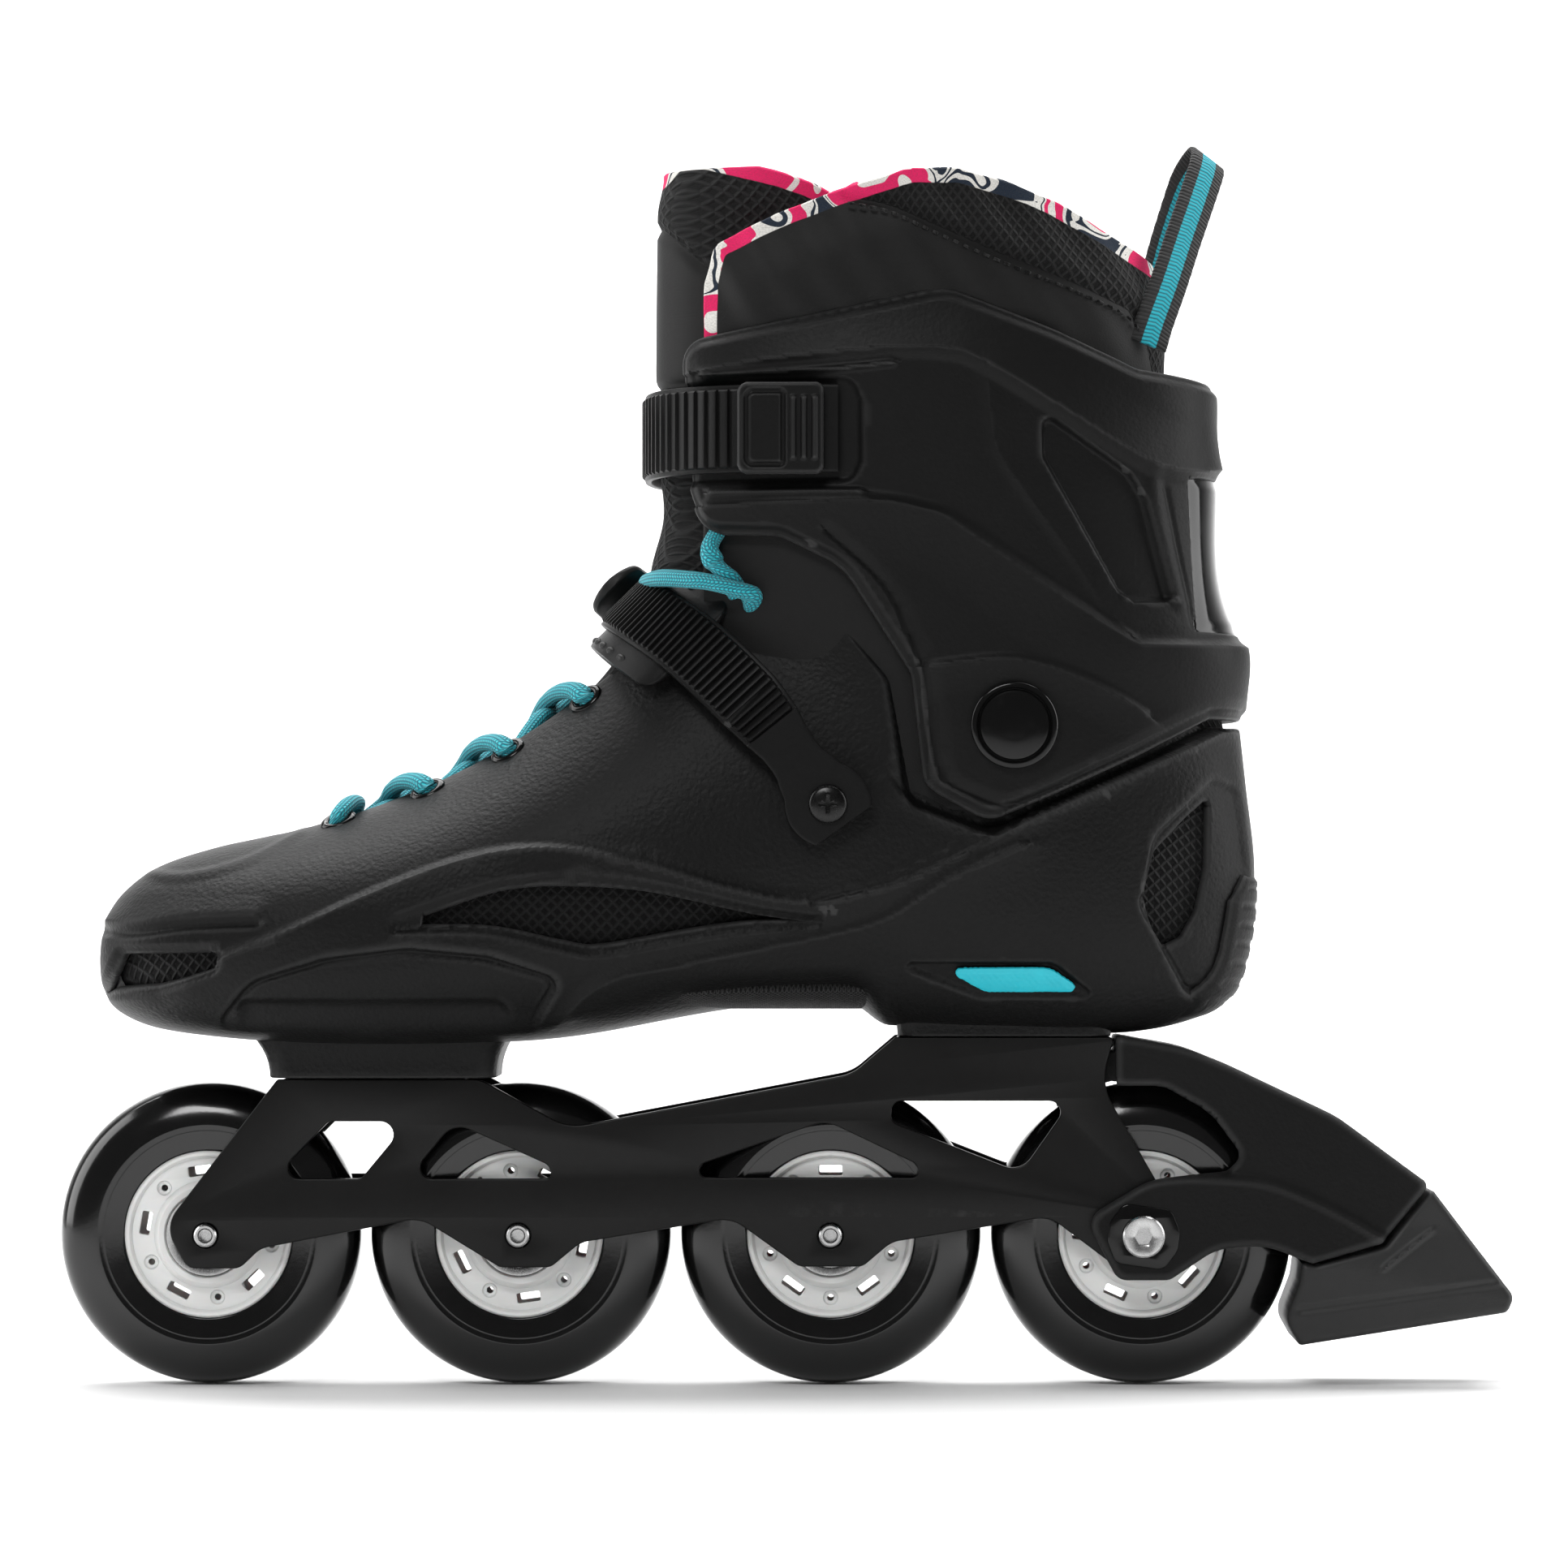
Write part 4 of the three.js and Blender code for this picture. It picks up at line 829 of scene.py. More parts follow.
MATERIALS = {
    "shell": moulded_plastic("shell_black", "shell_plastic", 0.0048, 0.46, 0.00018, 850),
    "cuff": moulded_plastic("cuff_black", "cuff_plastic", 0.0048, 0.47, 0.00007, 950),
    "strap": moulded_plastic("strap_black", "strap_plastic", 0.0048, 0.42, 0.00003, 1300),
    "buckle": moulded_plastic("buckle_black", "buckle_plastic", 0.0055, 0.4, 0.00003, 1500),
    "gloss": gloss_plastic(),
    "frame": painted_metal(),
    "steel": bare_metal("zinc_steel", "steel", 0.52, 0.24, 0.0),
    "black_steel": bare_metal("dark_chrome", "black_steel", 0.03, 0.26),
    "hub": hub_plastic(),
    "tyre": rubber("tyre_urethane", "tyre", 0.0028, 0.13, 0.00001, 900),
    "arm": moulded_plastic("brake_black", "brake_plastic", 0.005, 0.5, 0.00009, 1100),
    "pad": rubber("brake_rubber", "brake_rubber", 0.0055, 0.52, 0.00005, 1800),
    "accent": accent_plastic(),
}


def finish_piece(obj, material, body, *replaced):
    """Gives a piece its material, ties it to a body and marks where each point lies at rest."""
    if material:
        obj.data.materials.clear()
        obj.data.materials.append(MATERIALS[material].material)
    mark_rest(obj)
    if body:
        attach(obj, body)
    if replaced:
        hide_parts(*replaced)
    return obj


def mark_rest(obj):
    mesh = obj.data
    co = np.empty(len(mesh.vertices) * 3, np.float32)
    mesh.vertices.foreach_get("co", co)
    if "rest" in mesh.attributes:
        mesh.attributes.remove(mesh.attributes["rest"])
    mesh.attributes.new("rest", "FLOAT_VECTOR", "POINT").data.foreach_set("vector", co)


# ---------------------------------------------------------------- the shell
CUFF_OUTLINE = [
    [-27.6, 273.5, 6], [6.6, 279.7, 20], [41, 286.8, 14], [69.7, 276.1, 20], [92, 266.4, 10], [118, 263.6, 0],
    [127, 263, 0], [127, 176.6, 0], [112, 176.6, 0], [90.7, 166.1, 20], [69.7, 156.7, 20], [52.5, 149.6, 8],
    [36.5, 158.5, 6], [33.2, 187.5, 8], [15, 215.5, 20], [-2, 223.8, 10], [-21.5, 224.4, 8], [-25.9, 235.5, 10],
]
CUFF_RECESS = [
    [-60, 300], [140, 300], [140, 173.6], [114, 173.6, 0], [92, 163.2, 20], [71, 153.7, 20], [53, 145.6, 8],
    [31.5, 154, 6], [26.5, 186, 8], [6, 212, 20], [-24, 216, 10], [-60, 222],
]
SHELL_TOP = [
    [-60, 252], [-22, 246, 12], [0, 230, 12], [30, 213, 12], [60, 203, 12], [90, 193], [102, 184],
    [108, 175.5], [114, 173.4], [140, 173.4], [140, 320], [-60, 320],
]
THROAT = [[-135, -9, 8], [-60, -13, 8], [-34, -18, 10], [-5, -25, 4], [-5, 25, 4], [-34, 18, 10], [-60, 13, 8], [-135, 9, 8]]
VENT_TOP = [[-101.9, 122.2], [-88.4, 127.3], [-72.8, 132.1], [-56.1, 133.1], [-35.2, 131.4], [-8.1, 125.3], [8, 123.2]]
VENT_BASE = [[6, 122.6], [-8.1, 122.0], [-24.8, 119.7], [-47.8, 115.7], [-58.2, 117.2], [-76.9, 121.4], [-101, 121.8]]
TOE_SLOT = [[-181, 103, 1], [-174.5, 115.4, 2], [-146.8, 115.9, 2.5], [-146.5, 110.5, 3], [-164, 104.6, 5]]
HEEL_VENT = [
    [112.6, 157, 1.5], [104.7, 150.3, 6], [96, 141.4, 6], [92.8, 131, 8], [95.1, 120.4, 6], [98.9, 114.5, 2],
    [104.8, 117.5, 4], [109.3, 125, 6], [112, 137, 8],
]
HEEL_PANEL = [[92.5, 127, 6], [105.5, 103.6, 3], [112, 104.5, 4], [117.5, 118, 10], [122, 136, 4], [119, 158, 4], [112, 160, 2], [96, 145, 10]]
REFLECTOR = [[42.4, 110.1, 0.8], [68.6, 110.1, 5], [76.6, 104.7, 0.8], [52, 104.7, 5]]
REFLECTOR_RECESS = [[27.7, 111.9, 1], [70, 111.9, 6], [80.5, 103.1, 1], [50, 103.1, 6]]
CHARACTER_LINE = [
    [-155.2, 109.4], [-130, 119.4], [-108.4, 128.8], [-90, 136], [-73, 140.5], [-56.2, 141.3], [-35, 137.2], [-14.3, 131.4],
    [6.6, 128.3], [27.7, 133.6], [48.7, 143], [60, 149],
]
LOWER_LINE = [
    [-63.7, 91.5], [-56.4, 100.1], [-50.3, 105.4], [-41.5, 109.2], [-26.3, 112.1], [-7.6, 115.9], [11.1, 119.7],
    [26.2, 124.1], [42, 134], [60.8, 142.8],
]
FRONT_PANEL = [[-149, 94.3, 2], [-138, 107, 12], [-118.7, 113, 20], [-97.7, 115.6, 20], [-76.9, 113.5, 12], [-58.5, 107.3, 3], [-68.5, 91, 2]]
OVAL_RECESS = [[-142.9, 100.6, 3], [-74, 100.6, 3], [-72, 95.6, 3], [-141, 95.2, 3]]
TOE_GROOVE = [[-190, 121.2], [-172, 120.2], [-155, 122], [-137, 122.8]]
TOE_CREASE = [[-172, 136.5], [-158, 134.5], [-140, 139], [-128, 146.5]]


def side_weight(normals):
    return smoothstep(np.abs(normals[:, 1]), 0.25, 0.6)


def shell_relief(p, normals):
    """How far the shell's mouldings stand out from its smooth surface, for side-view places p."""
    vent = np.vstack([catmull(VENT_TOP, 8), catmull(VENT_BASE, 8)])
    toe_front = smoothstep(p[:, 0], -60, -100)
    side = (
        lip(p, CHARACTER_LINE, 2.6, 11, 1.7)
        + lip(p, LOWER_LINE, 2.8, 12, 1.2)
        + ridge(p, CHARACTER_LINE[-4:], 1.4, -1.2)
        + panel(p, FRONT_PANEL, 1.6, 1.8)
        + ridge(p, rounded(FRONT_PANEL), 1.3, -0.9, smooth=False)
        + panel(p, OVAL_RECESS, 2.2, 4.5)
        + panel(p, REFLECTOR_RECESS, 1.5, 1.6)
        + panel(p, HEEL_PANEL, 1.6, 1.8)
        + ridge(p, rounded(HEEL_PANEL)[: len(rounded(HEEL_PANEL)) // 2], 1.2, -0.9, smooth=False)
        + near(p, vent, 4.5, lambda q: -1.6 * (1 - smoothstep(np.abs(depth_in(q, vent)), 0, 2.4)))
        + lip(p, VENT_TOP, 3.2, 0.6, 0.7)
    )
    slot = rounded(TOE_SLOT)
    anywhere = (
        near(p, slot, 3, lambda q: -1.3 * (1 - smoothstep(np.abs(depth_in(q, slot)), 0, 1.6)))
        + ridge(p, TOE_GROOVE, 2.2, -1.1)
        + lip(p, [[x, z + 2.6] for x, z in TOE_GROOVE], 5, 2.2, 0.9)
        + ridge(p, TOE_CREASE, 2.2, 0.7) * toe_front
    )
    recess = rounded(CUFF_RECESS)
    under_cuff = near(p, recess, 4, lambda q: -4.3 * smoothstep(depth_in(q, recess), -1.2, 1.2))
    groove = [[27.7, 157], [40, 151.5], [53, 147], [71, 153.5], [92, 163], [114, 172.5]]
    gap = lip(p, groove, 1.0, 5.0, 0.9)
    return side * side_weight(normals) + (anywhere + under_cuff + gap) * smoothstep(np.abs(normals[:, 1]), 0.02, 0.3)


def shell_openings(points):
    """Zero on the rim of the shell's openings, positive on the plastic."""
    side = points[:, [0, 2]]
    plan = points[:, [0, 1]]
    throat = rounded(THROAT, 10)
    top = points[:, 2] > np.interp(points[:, 0], [-140, -90, -52, -28, -10, 20], [128, 138, 160, 190, 225, 262])
    vent = np.vstack([catmull(VENT_TOP, 8), catmull(VENT_BASE, 8)])
    keep = -depth_in(side, rounded(SHELL_TOP))
    for opening in (vent, rounded(TOE_SLOT), rounded(HEEL_VENT)):
        keep = np.minimum(keep, near_depth(side, opening))
    keep = np.minimum(keep, np.where(top, -depth_in(plan, throat), 50))
    pivot = np.hypot(side[:, 0] - PIVOT[0], side[:, 1] - PIVOT[1]) - 5.6
    return np.minimum(keep, pivot)


def near_depth(places, outline, far=50.0):
    low, high = outline.min(0) - 6, outline.max(0) + 6
    close = ((places >= low) & (places <= high)).all(1)
    out = np.full(len(places), far)
    out[close] = -depth_in(places[close], outline)
    return out


def arch(points):
    """The sole's arch, raised a little behind the middle of the foot."""
    x, z = points[:, 0], points[:, 2]
    lift = 6.2 * smoothstep(x, -70, 6) * (1 - smoothstep(x, 15, 27)) * (1 - smoothstep(z, 97, 112))
    return points + np.stack([0 * x, 0 * x, lift], 1)


SHELL_CREASES = [
    (rounded(CUFF_RECESS), (-1.2, 0, 1.2)),
    (rounded(FRONT_PANEL), (-0.8, 0, 0.8)),
    (rounded(OVAL_RECESS), (-1.1, 1.1)),
    (rounded(REFLECTOR_RECESS), (-0.75, 0.75)),
    (rounded(HEEL_PANEL), (-0.8, 0, 0.8)),
    (rounded(TOE_SLOT), (-1.6, 0)),
    (np.vstack([catmull(VENT_TOP, 8), catmull(VENT_BASE, 8)]), (-2.4, -1.2)),
    (rounded(HEEL_VENT), (-1.2, 0)),
]


def make_shell():
    step, columns = ((1.1, 340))
    grid = boot_grid(step, columns)
    normals = grid_normals(grid).reshape(-1, 3)
    count = grid.shape[0]
    points = np.hstack([arch(grid.reshape(-1, 3)), normals])
    faces = triangles_of(grid_faces(count, columns)[:, ::-1])
    for line, levels in SHELL_CREASES:
        points, faces = split_levels(points, faces, line, levels, True)
    for line in (CHARACTER_LINE, LOWER_LINE, TOE_GROOVE):
        points, faces = split_levels(points, faces, catmull(line, 6), (-2.6, -1.2, 0, 1.2), False)
    points, normals = points[:, :3], points[:, 3:]
    keep = shell_openings(points)
    relief = shell_relief(points[:, [0, 2]], normals)
    rim = near_throat(points)
    points = np.hstack([points + normals * (relief + rim)[:, None], normals])
    points, faces = clip(points, faces, keep)
    points, faces = thicken(points, faces, 2.8)
    shell = make_object("shell_moulding", points, faces, None)
    toe = grid[0]
    cap = make_object("toe_end", np.vstack([toe, toe.mean(0)]), toe_fan(columns), None)
    shell = join("shell_moulding", shell, cap)
    tidy_mesh(shell, 1e-5)
    return finish_piece(shell, "shell", "skate", "shell")


def toe_fan(columns):
    return [[c, (c + 1) % columns, columns] for c in range(columns)]


def near_throat(points):
    """The throat's edge rolls in over its last few millimetres."""
    plan = points[:, [0, 1]]
    throat = rounded(THROAT, 10)
    top = points[:, 2] > np.interp(points[:, 0], [-140, -90, -52, -28, -10, 20], [128, 138, 160, 190, 225, 262])
    out = near_depth(plan, throat)
    return np.where(top & (out < 5), -0.9 * (1 - smoothstep(out, 0, 2.2)), 0)


def make_mount_block(name, x0, x1, top, base, flare, half):
    """The moulded block that carries the boot on one of the frame's decks, flared up into the sole."""
    rings = []
    steps = 8
    for k in range(steps + 1):
        t = k / steps
        z = base + (top - base) * t
        spread = flare * t**2.2
        corners = [
            [x0 - spread, -half - spread * 0.6, 6], [x1 + spread * 0.8, -half - spread * 0.6, 6],
            [x1 + spread * 0.8, half + spread * 0.6, 6], [x0 - spread, half + spread * 0.6, 6],
        ]
        ring = rounded(corners, 5)
        rings.append(np.column_stack([ring, np.full(len(ring), z)]))
    columns = len(rings[0])
    faces = [list(f) for f in grid_faces(steps + 1, columns)]
    faces += [list(range(columns)), [steps * columns + c for c in reversed(range(columns))]]
    block = make_object(name, np.vstack(rings), faces, None)
    tidy_mesh(block)
    block.data.set_sharp_from_angle(angle=math.radians(40))
    round_edges(block, 0.6)
    apply_modifiers(block)
    return finish_piece(block, "shell", "skate")


# ---------------------------------------------------------------- the cuff
BAND_LINE = [
    [-20.9, 266.2], [-1.8, 269], [27.7, 271.7], [40.3, 271.5], [48.7, 269.4], [67.6, 258.6], [91, 244.4], [99.7, 241.2],
    [108, 241], [118, 244],
]
WAIST_LINE = [
    [-20, 231], [19.3, 232.2], [36.1, 229.7], [44.5, 226], [69.7, 208.2], [88.8, 195.9], [96, 194.6], [118, 194.6], [126, 194.6],
]
FRONT_BORDER = [
    [10.8, 224], [25.6, 210.2], [32.9, 195.5], [36, 187.1], [37.6, 172.4], [39.8, 163], [43, 158.5], [53.9, 153.8],
    [59.2, 153.4], [69.7, 157.6], [90.9, 167.8], [112, 178], [124, 178],
]
PIVOT_LINE = [[37, 189.2], [55, 191.2], [65.5, 190], [76.1, 186.4], [86, 181.5], [93.1, 177]]
REAR_RECESS = [[66.5, 255, 2], [66.8, 243.3, 3], [86.5, 209, 4], [90.6, 206.2, 1], [100.9, 206.4, 1.5], [93.6, 233.3, 6], [89.5, 239.5, 4]]
OUTER_PANEL = [[52, 265], [54.3, 246.4], [60.4, 236.5], [72.1, 220.4], [82.9, 204.6], [88.2, 198.5]]
STRAP_CHANNEL = [[-34, 262.6, 1], [17, 263.6, 4], [19.5, 258, 5], [19.5, 242, 5], [17, 237, 4], [-34, 236.6, 1]]
TOP_RAIL = [[-20.5, 265], [-4, 265.6], [14, 266.2], [27.7, 267.6]]
BASE_RAIL = [[-19.2, 234.6], [0, 234.6], [19.3, 234.4]]
INSERT_EDGE = [[104, 240.5], [105.5, 220], [107, 198]]


def cuff_relief(p, normals, points):
    recess = rounded(REAR_RECESS)
    channel = rounded(STRAP_CHANNEL)
    medial = points[:, 1] < 0
    sides = (
        panel(p, REAR_RECESS, 2.3, 1.6)
        + lip(p, PIVOT_LINE, 2.0, 9, 1.0)
        + lip(p, OUTER_PANEL, 8, 2.4, 0.5)
        + ridge(p, [[88, 207.0], [101.5, 206.9]], 1.2, 0.7)
        + ridge(p, [[95.5, 240], [97, 228], [103, 206]], 3.2, 0.6)
        + ridge(p, [[99, 236], [106.5, 200]], 1.2, -0.5)
    )
    buckle_side = lip(p, TOP_RAIL, 2.6, 1.6, 1.5) + lip(p, BASE_RAIL, 1.6, 2.6, 1.5)
    channel_relief = near(p, channel, 3, lambda q: -1.5 * smoothstep(depth_in(q, channel), -1.0, 1.2))
    around = lip(p, BAND_LINE, 13, 3.6, 2.4) + lip(p, WAIST_LINE, 3.0, 16, 1.8) + lip(p, FRONT_BORDER, 3.5, 1.5, -0.9)
    outline = rounded(CUFF_OUTLINE)
    edge = near(p, outline, 6, lambda q: -1.6 * (1 - smoothstep(depth_in(q, outline), 0, 2.6)))
    weight = side_weight(normals)
    front = smoothstep(-p[:, 0], -36, -20)
    return (
        sides * weight + around * smoothstep(np.abs(normals[:, 1]) + front, 0.0, 0.2)
        + (buckle_side + channel_relief) * np.where(medial, 1, 0.0) + edge
    )


CUFF_CREASES = [
    (REAR_RECESS, (-0.8, 0, 0.8)),
    (STRAP_CHANNEL, (-1.0, 0, 1.2)),
    (CUFF_OUTLINE, (0.9, 2.6)),
]


def make_cuff():
    columns = 460
    heights = np.arange(146, 290, 0.7)
    grid = level_grid(CUFF_LEVELS, heights, columns)
    normals = grid_normals(grid).reshape(-1, 3)
    points = np.hstack([grid.reshape(-1, 3), normals])
    faces = triangles_of(grid_faces(len(heights), columns))
    for line, levels in CUFF_CREASES:
        points, faces = split_levels(points, faces, rounded(line), levels, True)
    for line in (BAND_LINE, WAIST_LINE, FRONT_BORDER, PIVOT_LINE, OUTER_PANEL):
        points, faces = split_levels(points, faces, catmull(line, 6), (-1.5, 0, 1.5), False)
    for line in (TOP_RAIL, BASE_RAIL):
        points, faces = split_levels(points, faces, catmull(line, 6), (-1.6, -0.8, 0, 0.8, 1.6), False)
    points, normals = points[:, :3], points[:, 3:]
    p = points[:, [0, 2]]
    keep = depth_in(p, rounded(CUFF_OUTLINE))
    keep = np.minimum(keep, np.hypot(p[:, 0] - PIVOT[0], p[:, 1] - PIVOT[1]) - 8.6)
    keep = np.minimum(keep, -insert_area(points))
    keep = np.minimum(keep, -lateral_seat(points))
    points = np.hstack([points + normals * cuff_relief(p, normals, points)[:, None], normals])
    points, faces = clip(points, faces, keep)
    points, faces = thicken(points, faces, 2.8)
    cuff = make_object("cuff_moulding", points, faces, None)
    return finish_piece(cuff, "cuff", "cuff", "cuff")


def insert_area(points):
    """Positive where the glossy insert fills the back of the cuff."""
    edge = np.interp(points[:, 2], [196, 198.4, 239.6, 242], [130, 107, 104.6, 130])
    inside_height = np.minimum(points[:, 2] - 198.2, 239.8 - points[:, 2])
    return np.minimum(points[:, 0] - edge, inside_height)


def lateral_seat(points):
    """Positive over the seat of the cuff's ratchet buckle, on the outer side."""
    along = np.minimum(points[:, 0] - 1.5, 43.5 - points[:, 0])
    across = np.minimum(points[:, 2] - 236.9, 264.3 - points[:, 2])
    return np.where(points[:, 1] > 0, np.minimum(along, across), -50)


def make_rear_insert():
    heights = np.linspace(198.6, 239.4, 60)
    half = 120
    angle = np.linspace(-0.75, 0.75, half)
    zz, aa = np.meshgrid(heights, angle, indexing="ij")
    grid = level_point(CUFF_LEVELS, zz, aa, 0.2)
    points = grid.reshape(-1, 3)
    edge = np.interp(points[:, 2], [198, 240], [107.6, 105.2])
    rim = np.minimum(points[:, 0] - edge, np.minimum(points[:, 2] - 198.8, 239.2 - points[:, 2]))
    points[:, 0] += 0.6 * smoothstep(rim, 0, 3) - 0.5
    points, faces = clip(points, grid_faces(len(heights), half, False), rim)
    points, faces = thicken(points, faces, 1.4)
    insert = make_object("cuff_rear_insert_gloss", points, faces, None)
    return finish_piece(insert, "gloss", "cuff", "cuff_rear_insert")


# ---------------------------------------------------------------- frame and running gear
FRAME_OUTLINE = [
    [-134.6, 81.2, 1], [-81, 81.2, 8], [-58, 68.4, 14], [17, 82.6, 12], [28.4, 92.3, 1], [86.2, 92.3, 1],
    [82.6, 80, 16], [104.4, 42, 6], [101.4, 31.8, 4], [86.5, 31.8, 4], [69, 45, 9], [27.5, 38.3, 8],
    [19.8, 31.8, 4], [3, 31.8, 4], [-14.8, 44.6, 10], [-54.5, 38.2, 8], [-62.5, 31.6, 4], [-75.9, 31.6, 4],
    [-97, 44.6, 10], [-139, 36.6, 7], [-144.6, 31.3, 4], [-158.3, 31.3, 4], [-164.4, 42.5, 8],
]
FRAME_WINDOWS = [
    [[-121, 70.1, 2.5], [-100, 70.1, 3.5], [-112.5, 55, 2.5], [-136, 55, 3]],
    [[-88, 69.8, 6], [-100.3, 55, 3], [-62, 55, 3], [-63, 58.6, 3]],
    [[10, 70.3, 9], [-23.5, 58.6, 2.5], [-23, 55.3, 2.5], [34.5, 55.3, 2.5], [34.2, 58.8, 2.5]],
    [[27.6, 75.5, 2.6], [74.8, 75.5, 3], [61.5, 56.6, 6], [27.2, 70, 2.6]],
]
ARM_OUTLINE = [
    [86.6, 92.8, 1], [104.7, 89.6, 40], [117.1, 84.6, 30], [144.8, 71.5, 30], [169.4, 53.4, 2], [156.7, 38.1, 2], [138.1, 32.7, 1],
    [125.8, 37.6, 20], [113, 36.6, 14], [100.6, 28.4, 4], [87, 28.4, 4], [78.4, 44.5, 5], [95.3, 54.8, 20],
    [116, 57.2, 3], [119.8, 61, 4], [111.5, 72.4, 20], [99, 79.4, 8], [86.6, 79.4, 1],
]
ARM_NECK = [[79.5, 88.6, 1], [100, 88.6], [112, 84], [112, 74], [79.5, 74, 1]]
PAD_OUTLINE = [
    [139.2, 32.4, 1], [157.4, 37.4, 1], [169.9, 52.4, 1], [191.4, 24, 3], [189.6, 19.9, 2], [134.8, 11.2, 1],
    [131, 18, 6], [134.8, 28, 6], [135.4, 33],
]
ARM_STEP = [[84, 50.5], [97, 54.5], [112, 54.6], [126, 53.2], [138, 48.6], [148, 43.5], [157, 38.2]]
TYRE_SHOULDER = 27.5
HUB_RIM = 22


def box_shape(name, x0, x1, y0, y1, z0, z1, bevel=0.8):
    points = [(x, y, z) for x in (x0, x1) for y in (y0, y1) for z in (z0, z1)]
    faces = [(0, 1, 3, 2), (4, 6, 7, 5), (0, 4, 5, 1), (2, 3, 7, 6), (0, 2, 6, 4), (1, 5, 7, 3)]
    box = make_object(name, points, faces, None, smooth=False)
    round_edges(box, bevel)
    return apply_modifiers(box)


def circle(x, z, radius, steps=40):
    angle = np.arange(steps) * 2 * math.pi / steps
    return np.stack([x + radius * np.cos(angle), z + radius * np.sin(angle)], 1)


def make_frame():
    pieces = []
    for side in (-1, 1):
        low, high = (-16.5, -13.2) if side < 0 else (13.2, 16.5)
        bores = [circle(x, WHEEL_Z, 4.3 if side > 0 or i == 3 else 3.3) for i, x in enumerate(WHEEL_XS)]
        holes = [rounded(window, 8) for window in FRAME_WINDOWS] + bores
        pieces.append(plate("frame_wall", rounded(FRAME_OUTLINE, 10), holes, low, high, None, 0.45))
    pieces.append(box_shape("front_deck", -134, -86, -16.4, 16.4, 78.4, 81.2))
    pieces.append(box_shape("rear_deck", 28.8, 85.8, -16.4, 16.4, 89.5, 92.3))
    pieces.append(box_shape("bridge", -38, -22, -13.6, 13.6, 67.4, 70.2))
    frame_piece = join("frame_rails", *pieces)
    return finish_piece(frame_piece, "frame", "skate", "frame")


def rings_about_y(name, rings, centre, segments=48, start=0.0):
    """A closed solid of rings about y; each ring is (radius, y), where radius may be a function of angle."""
    angles = start + np.arange(segments) * 2 * math.pi / segments
    points = []
    for radius, y in rings:
        r = radius(angles) if callable(radius) else np.full(segments, float(radius))
        points.append(np.stack([r * np.cos(angles), np.full(segments, float(y)), r * np.sin(angles)], 1))
    points = np.vstack(points) + centre
    faces = [list(f) for f in grid_faces(len(rings), segments)]
    faces.append(list(range(segments)))
    faces.append([(len(rings) - 1) * segments + c for c in reversed(range(segments))])
    obj = make_object(name, points, faces, None)
    tidy_mesh(obj)
    obj.data.set_sharp_from_angle(angle=math.radians(32))
    return obj


def hexagon(radius):
    """A hexagonal socket's outline, as a radius for each angle."""
    def outline(angle):
        turn = np.mod(angle, math.pi / 3) - math.pi / 6
        return radius * math.cos(math.pi / 6) / np.cos(turn)

    return outline


def cross(radius, width):
    """A cross-head recess's outline, as a radius for each angle."""
    def outline(angle):
        turn = np.mod(angle + math.pi / 4, math.pi / 2) - math.pi / 4
        return np.minimum(radius, width / 2 / np.maximum(np.abs(np.sin(turn)), 1e-3))

    return outline


def tyre_profile():
    """The tyre's section: fine rings on its shoulder, then a smooth round tread."""
    side = [(HUB_RIM + 0.2, -9.3)]
    for k, r in enumerate(np.linspace(HUB_RIM + 0.5, TYRE_SHOULDER, 22)):
        side.append((r, -10.0 - 1.3 * (r - HUB_RIM) / 5.5 + (0.12 if k % 2 else -0.12)))
    for t in np.linspace(0.06, 1, 26):
        angle = t * math.pi / 2
        side.append((TYRE_SHOULDER + 12.5 * math.sin(angle) ** 1.05, -11.95 * math.cos(angle) ** 0.72))
    side = side[:-1]
    return side + [(40, 0)] + [(r, -y) for r, y in reversed(side)] + [(HUB_RIM - 0.4, 5), (HUB_RIM - 0.4, -5)]


def hub_faces(phase):
    """The hub's two slotted faces, with five slots and five round dishes in turn."""
    pieces = []
    slots = []
    dishes = []
    for k in range(5):
        angle = math.radians(phase + 72 * k)
        centre = np.array([16.9 * math.cos(angle), 16.9 * math.sin(angle)])
        along = np.array([-math.sin(angle), math.cos(angle)])
        out = np.array([math.cos(angle), math.sin(angle)])
        corners = [centre + a * along * 3.1 + b * out * 1.35 for a, b in ((-1, -1), (1, -1), (1, 1), (-1, 1))]
        slots.append(rounded([[*c, 0.5] for c in corners], 3))
        angle += math.radians(36)
        dishes.append([16.9 * math.cos(angle), 16.9 * math.sin(angle)])
    outer, inner = circle(0, 0, 20.4, 96), circle(0, 0, 13.2, 72)
    for side in (-1, 1):
        holes = [inner, *slots, *(circle(x, z, 1.9, 24) for x, z in dishes)]
        low, high = (-8.6, -7.2) if side < 0 else (7.2, 8.6)
        pieces.append(plate("hub_face", outer, holes, low, high, None, 0.25))
        for x, z in dishes:
            rings = [(1.85, side * 8.5), (1.5, side * 8.0), (0.9, side * 7.6), (0.9, side * 6.8), (1.9, side * 6.8)]
            pieces.append(lathe("hub_dish", rings, None, (x, 0, z), 24))
    return pieces


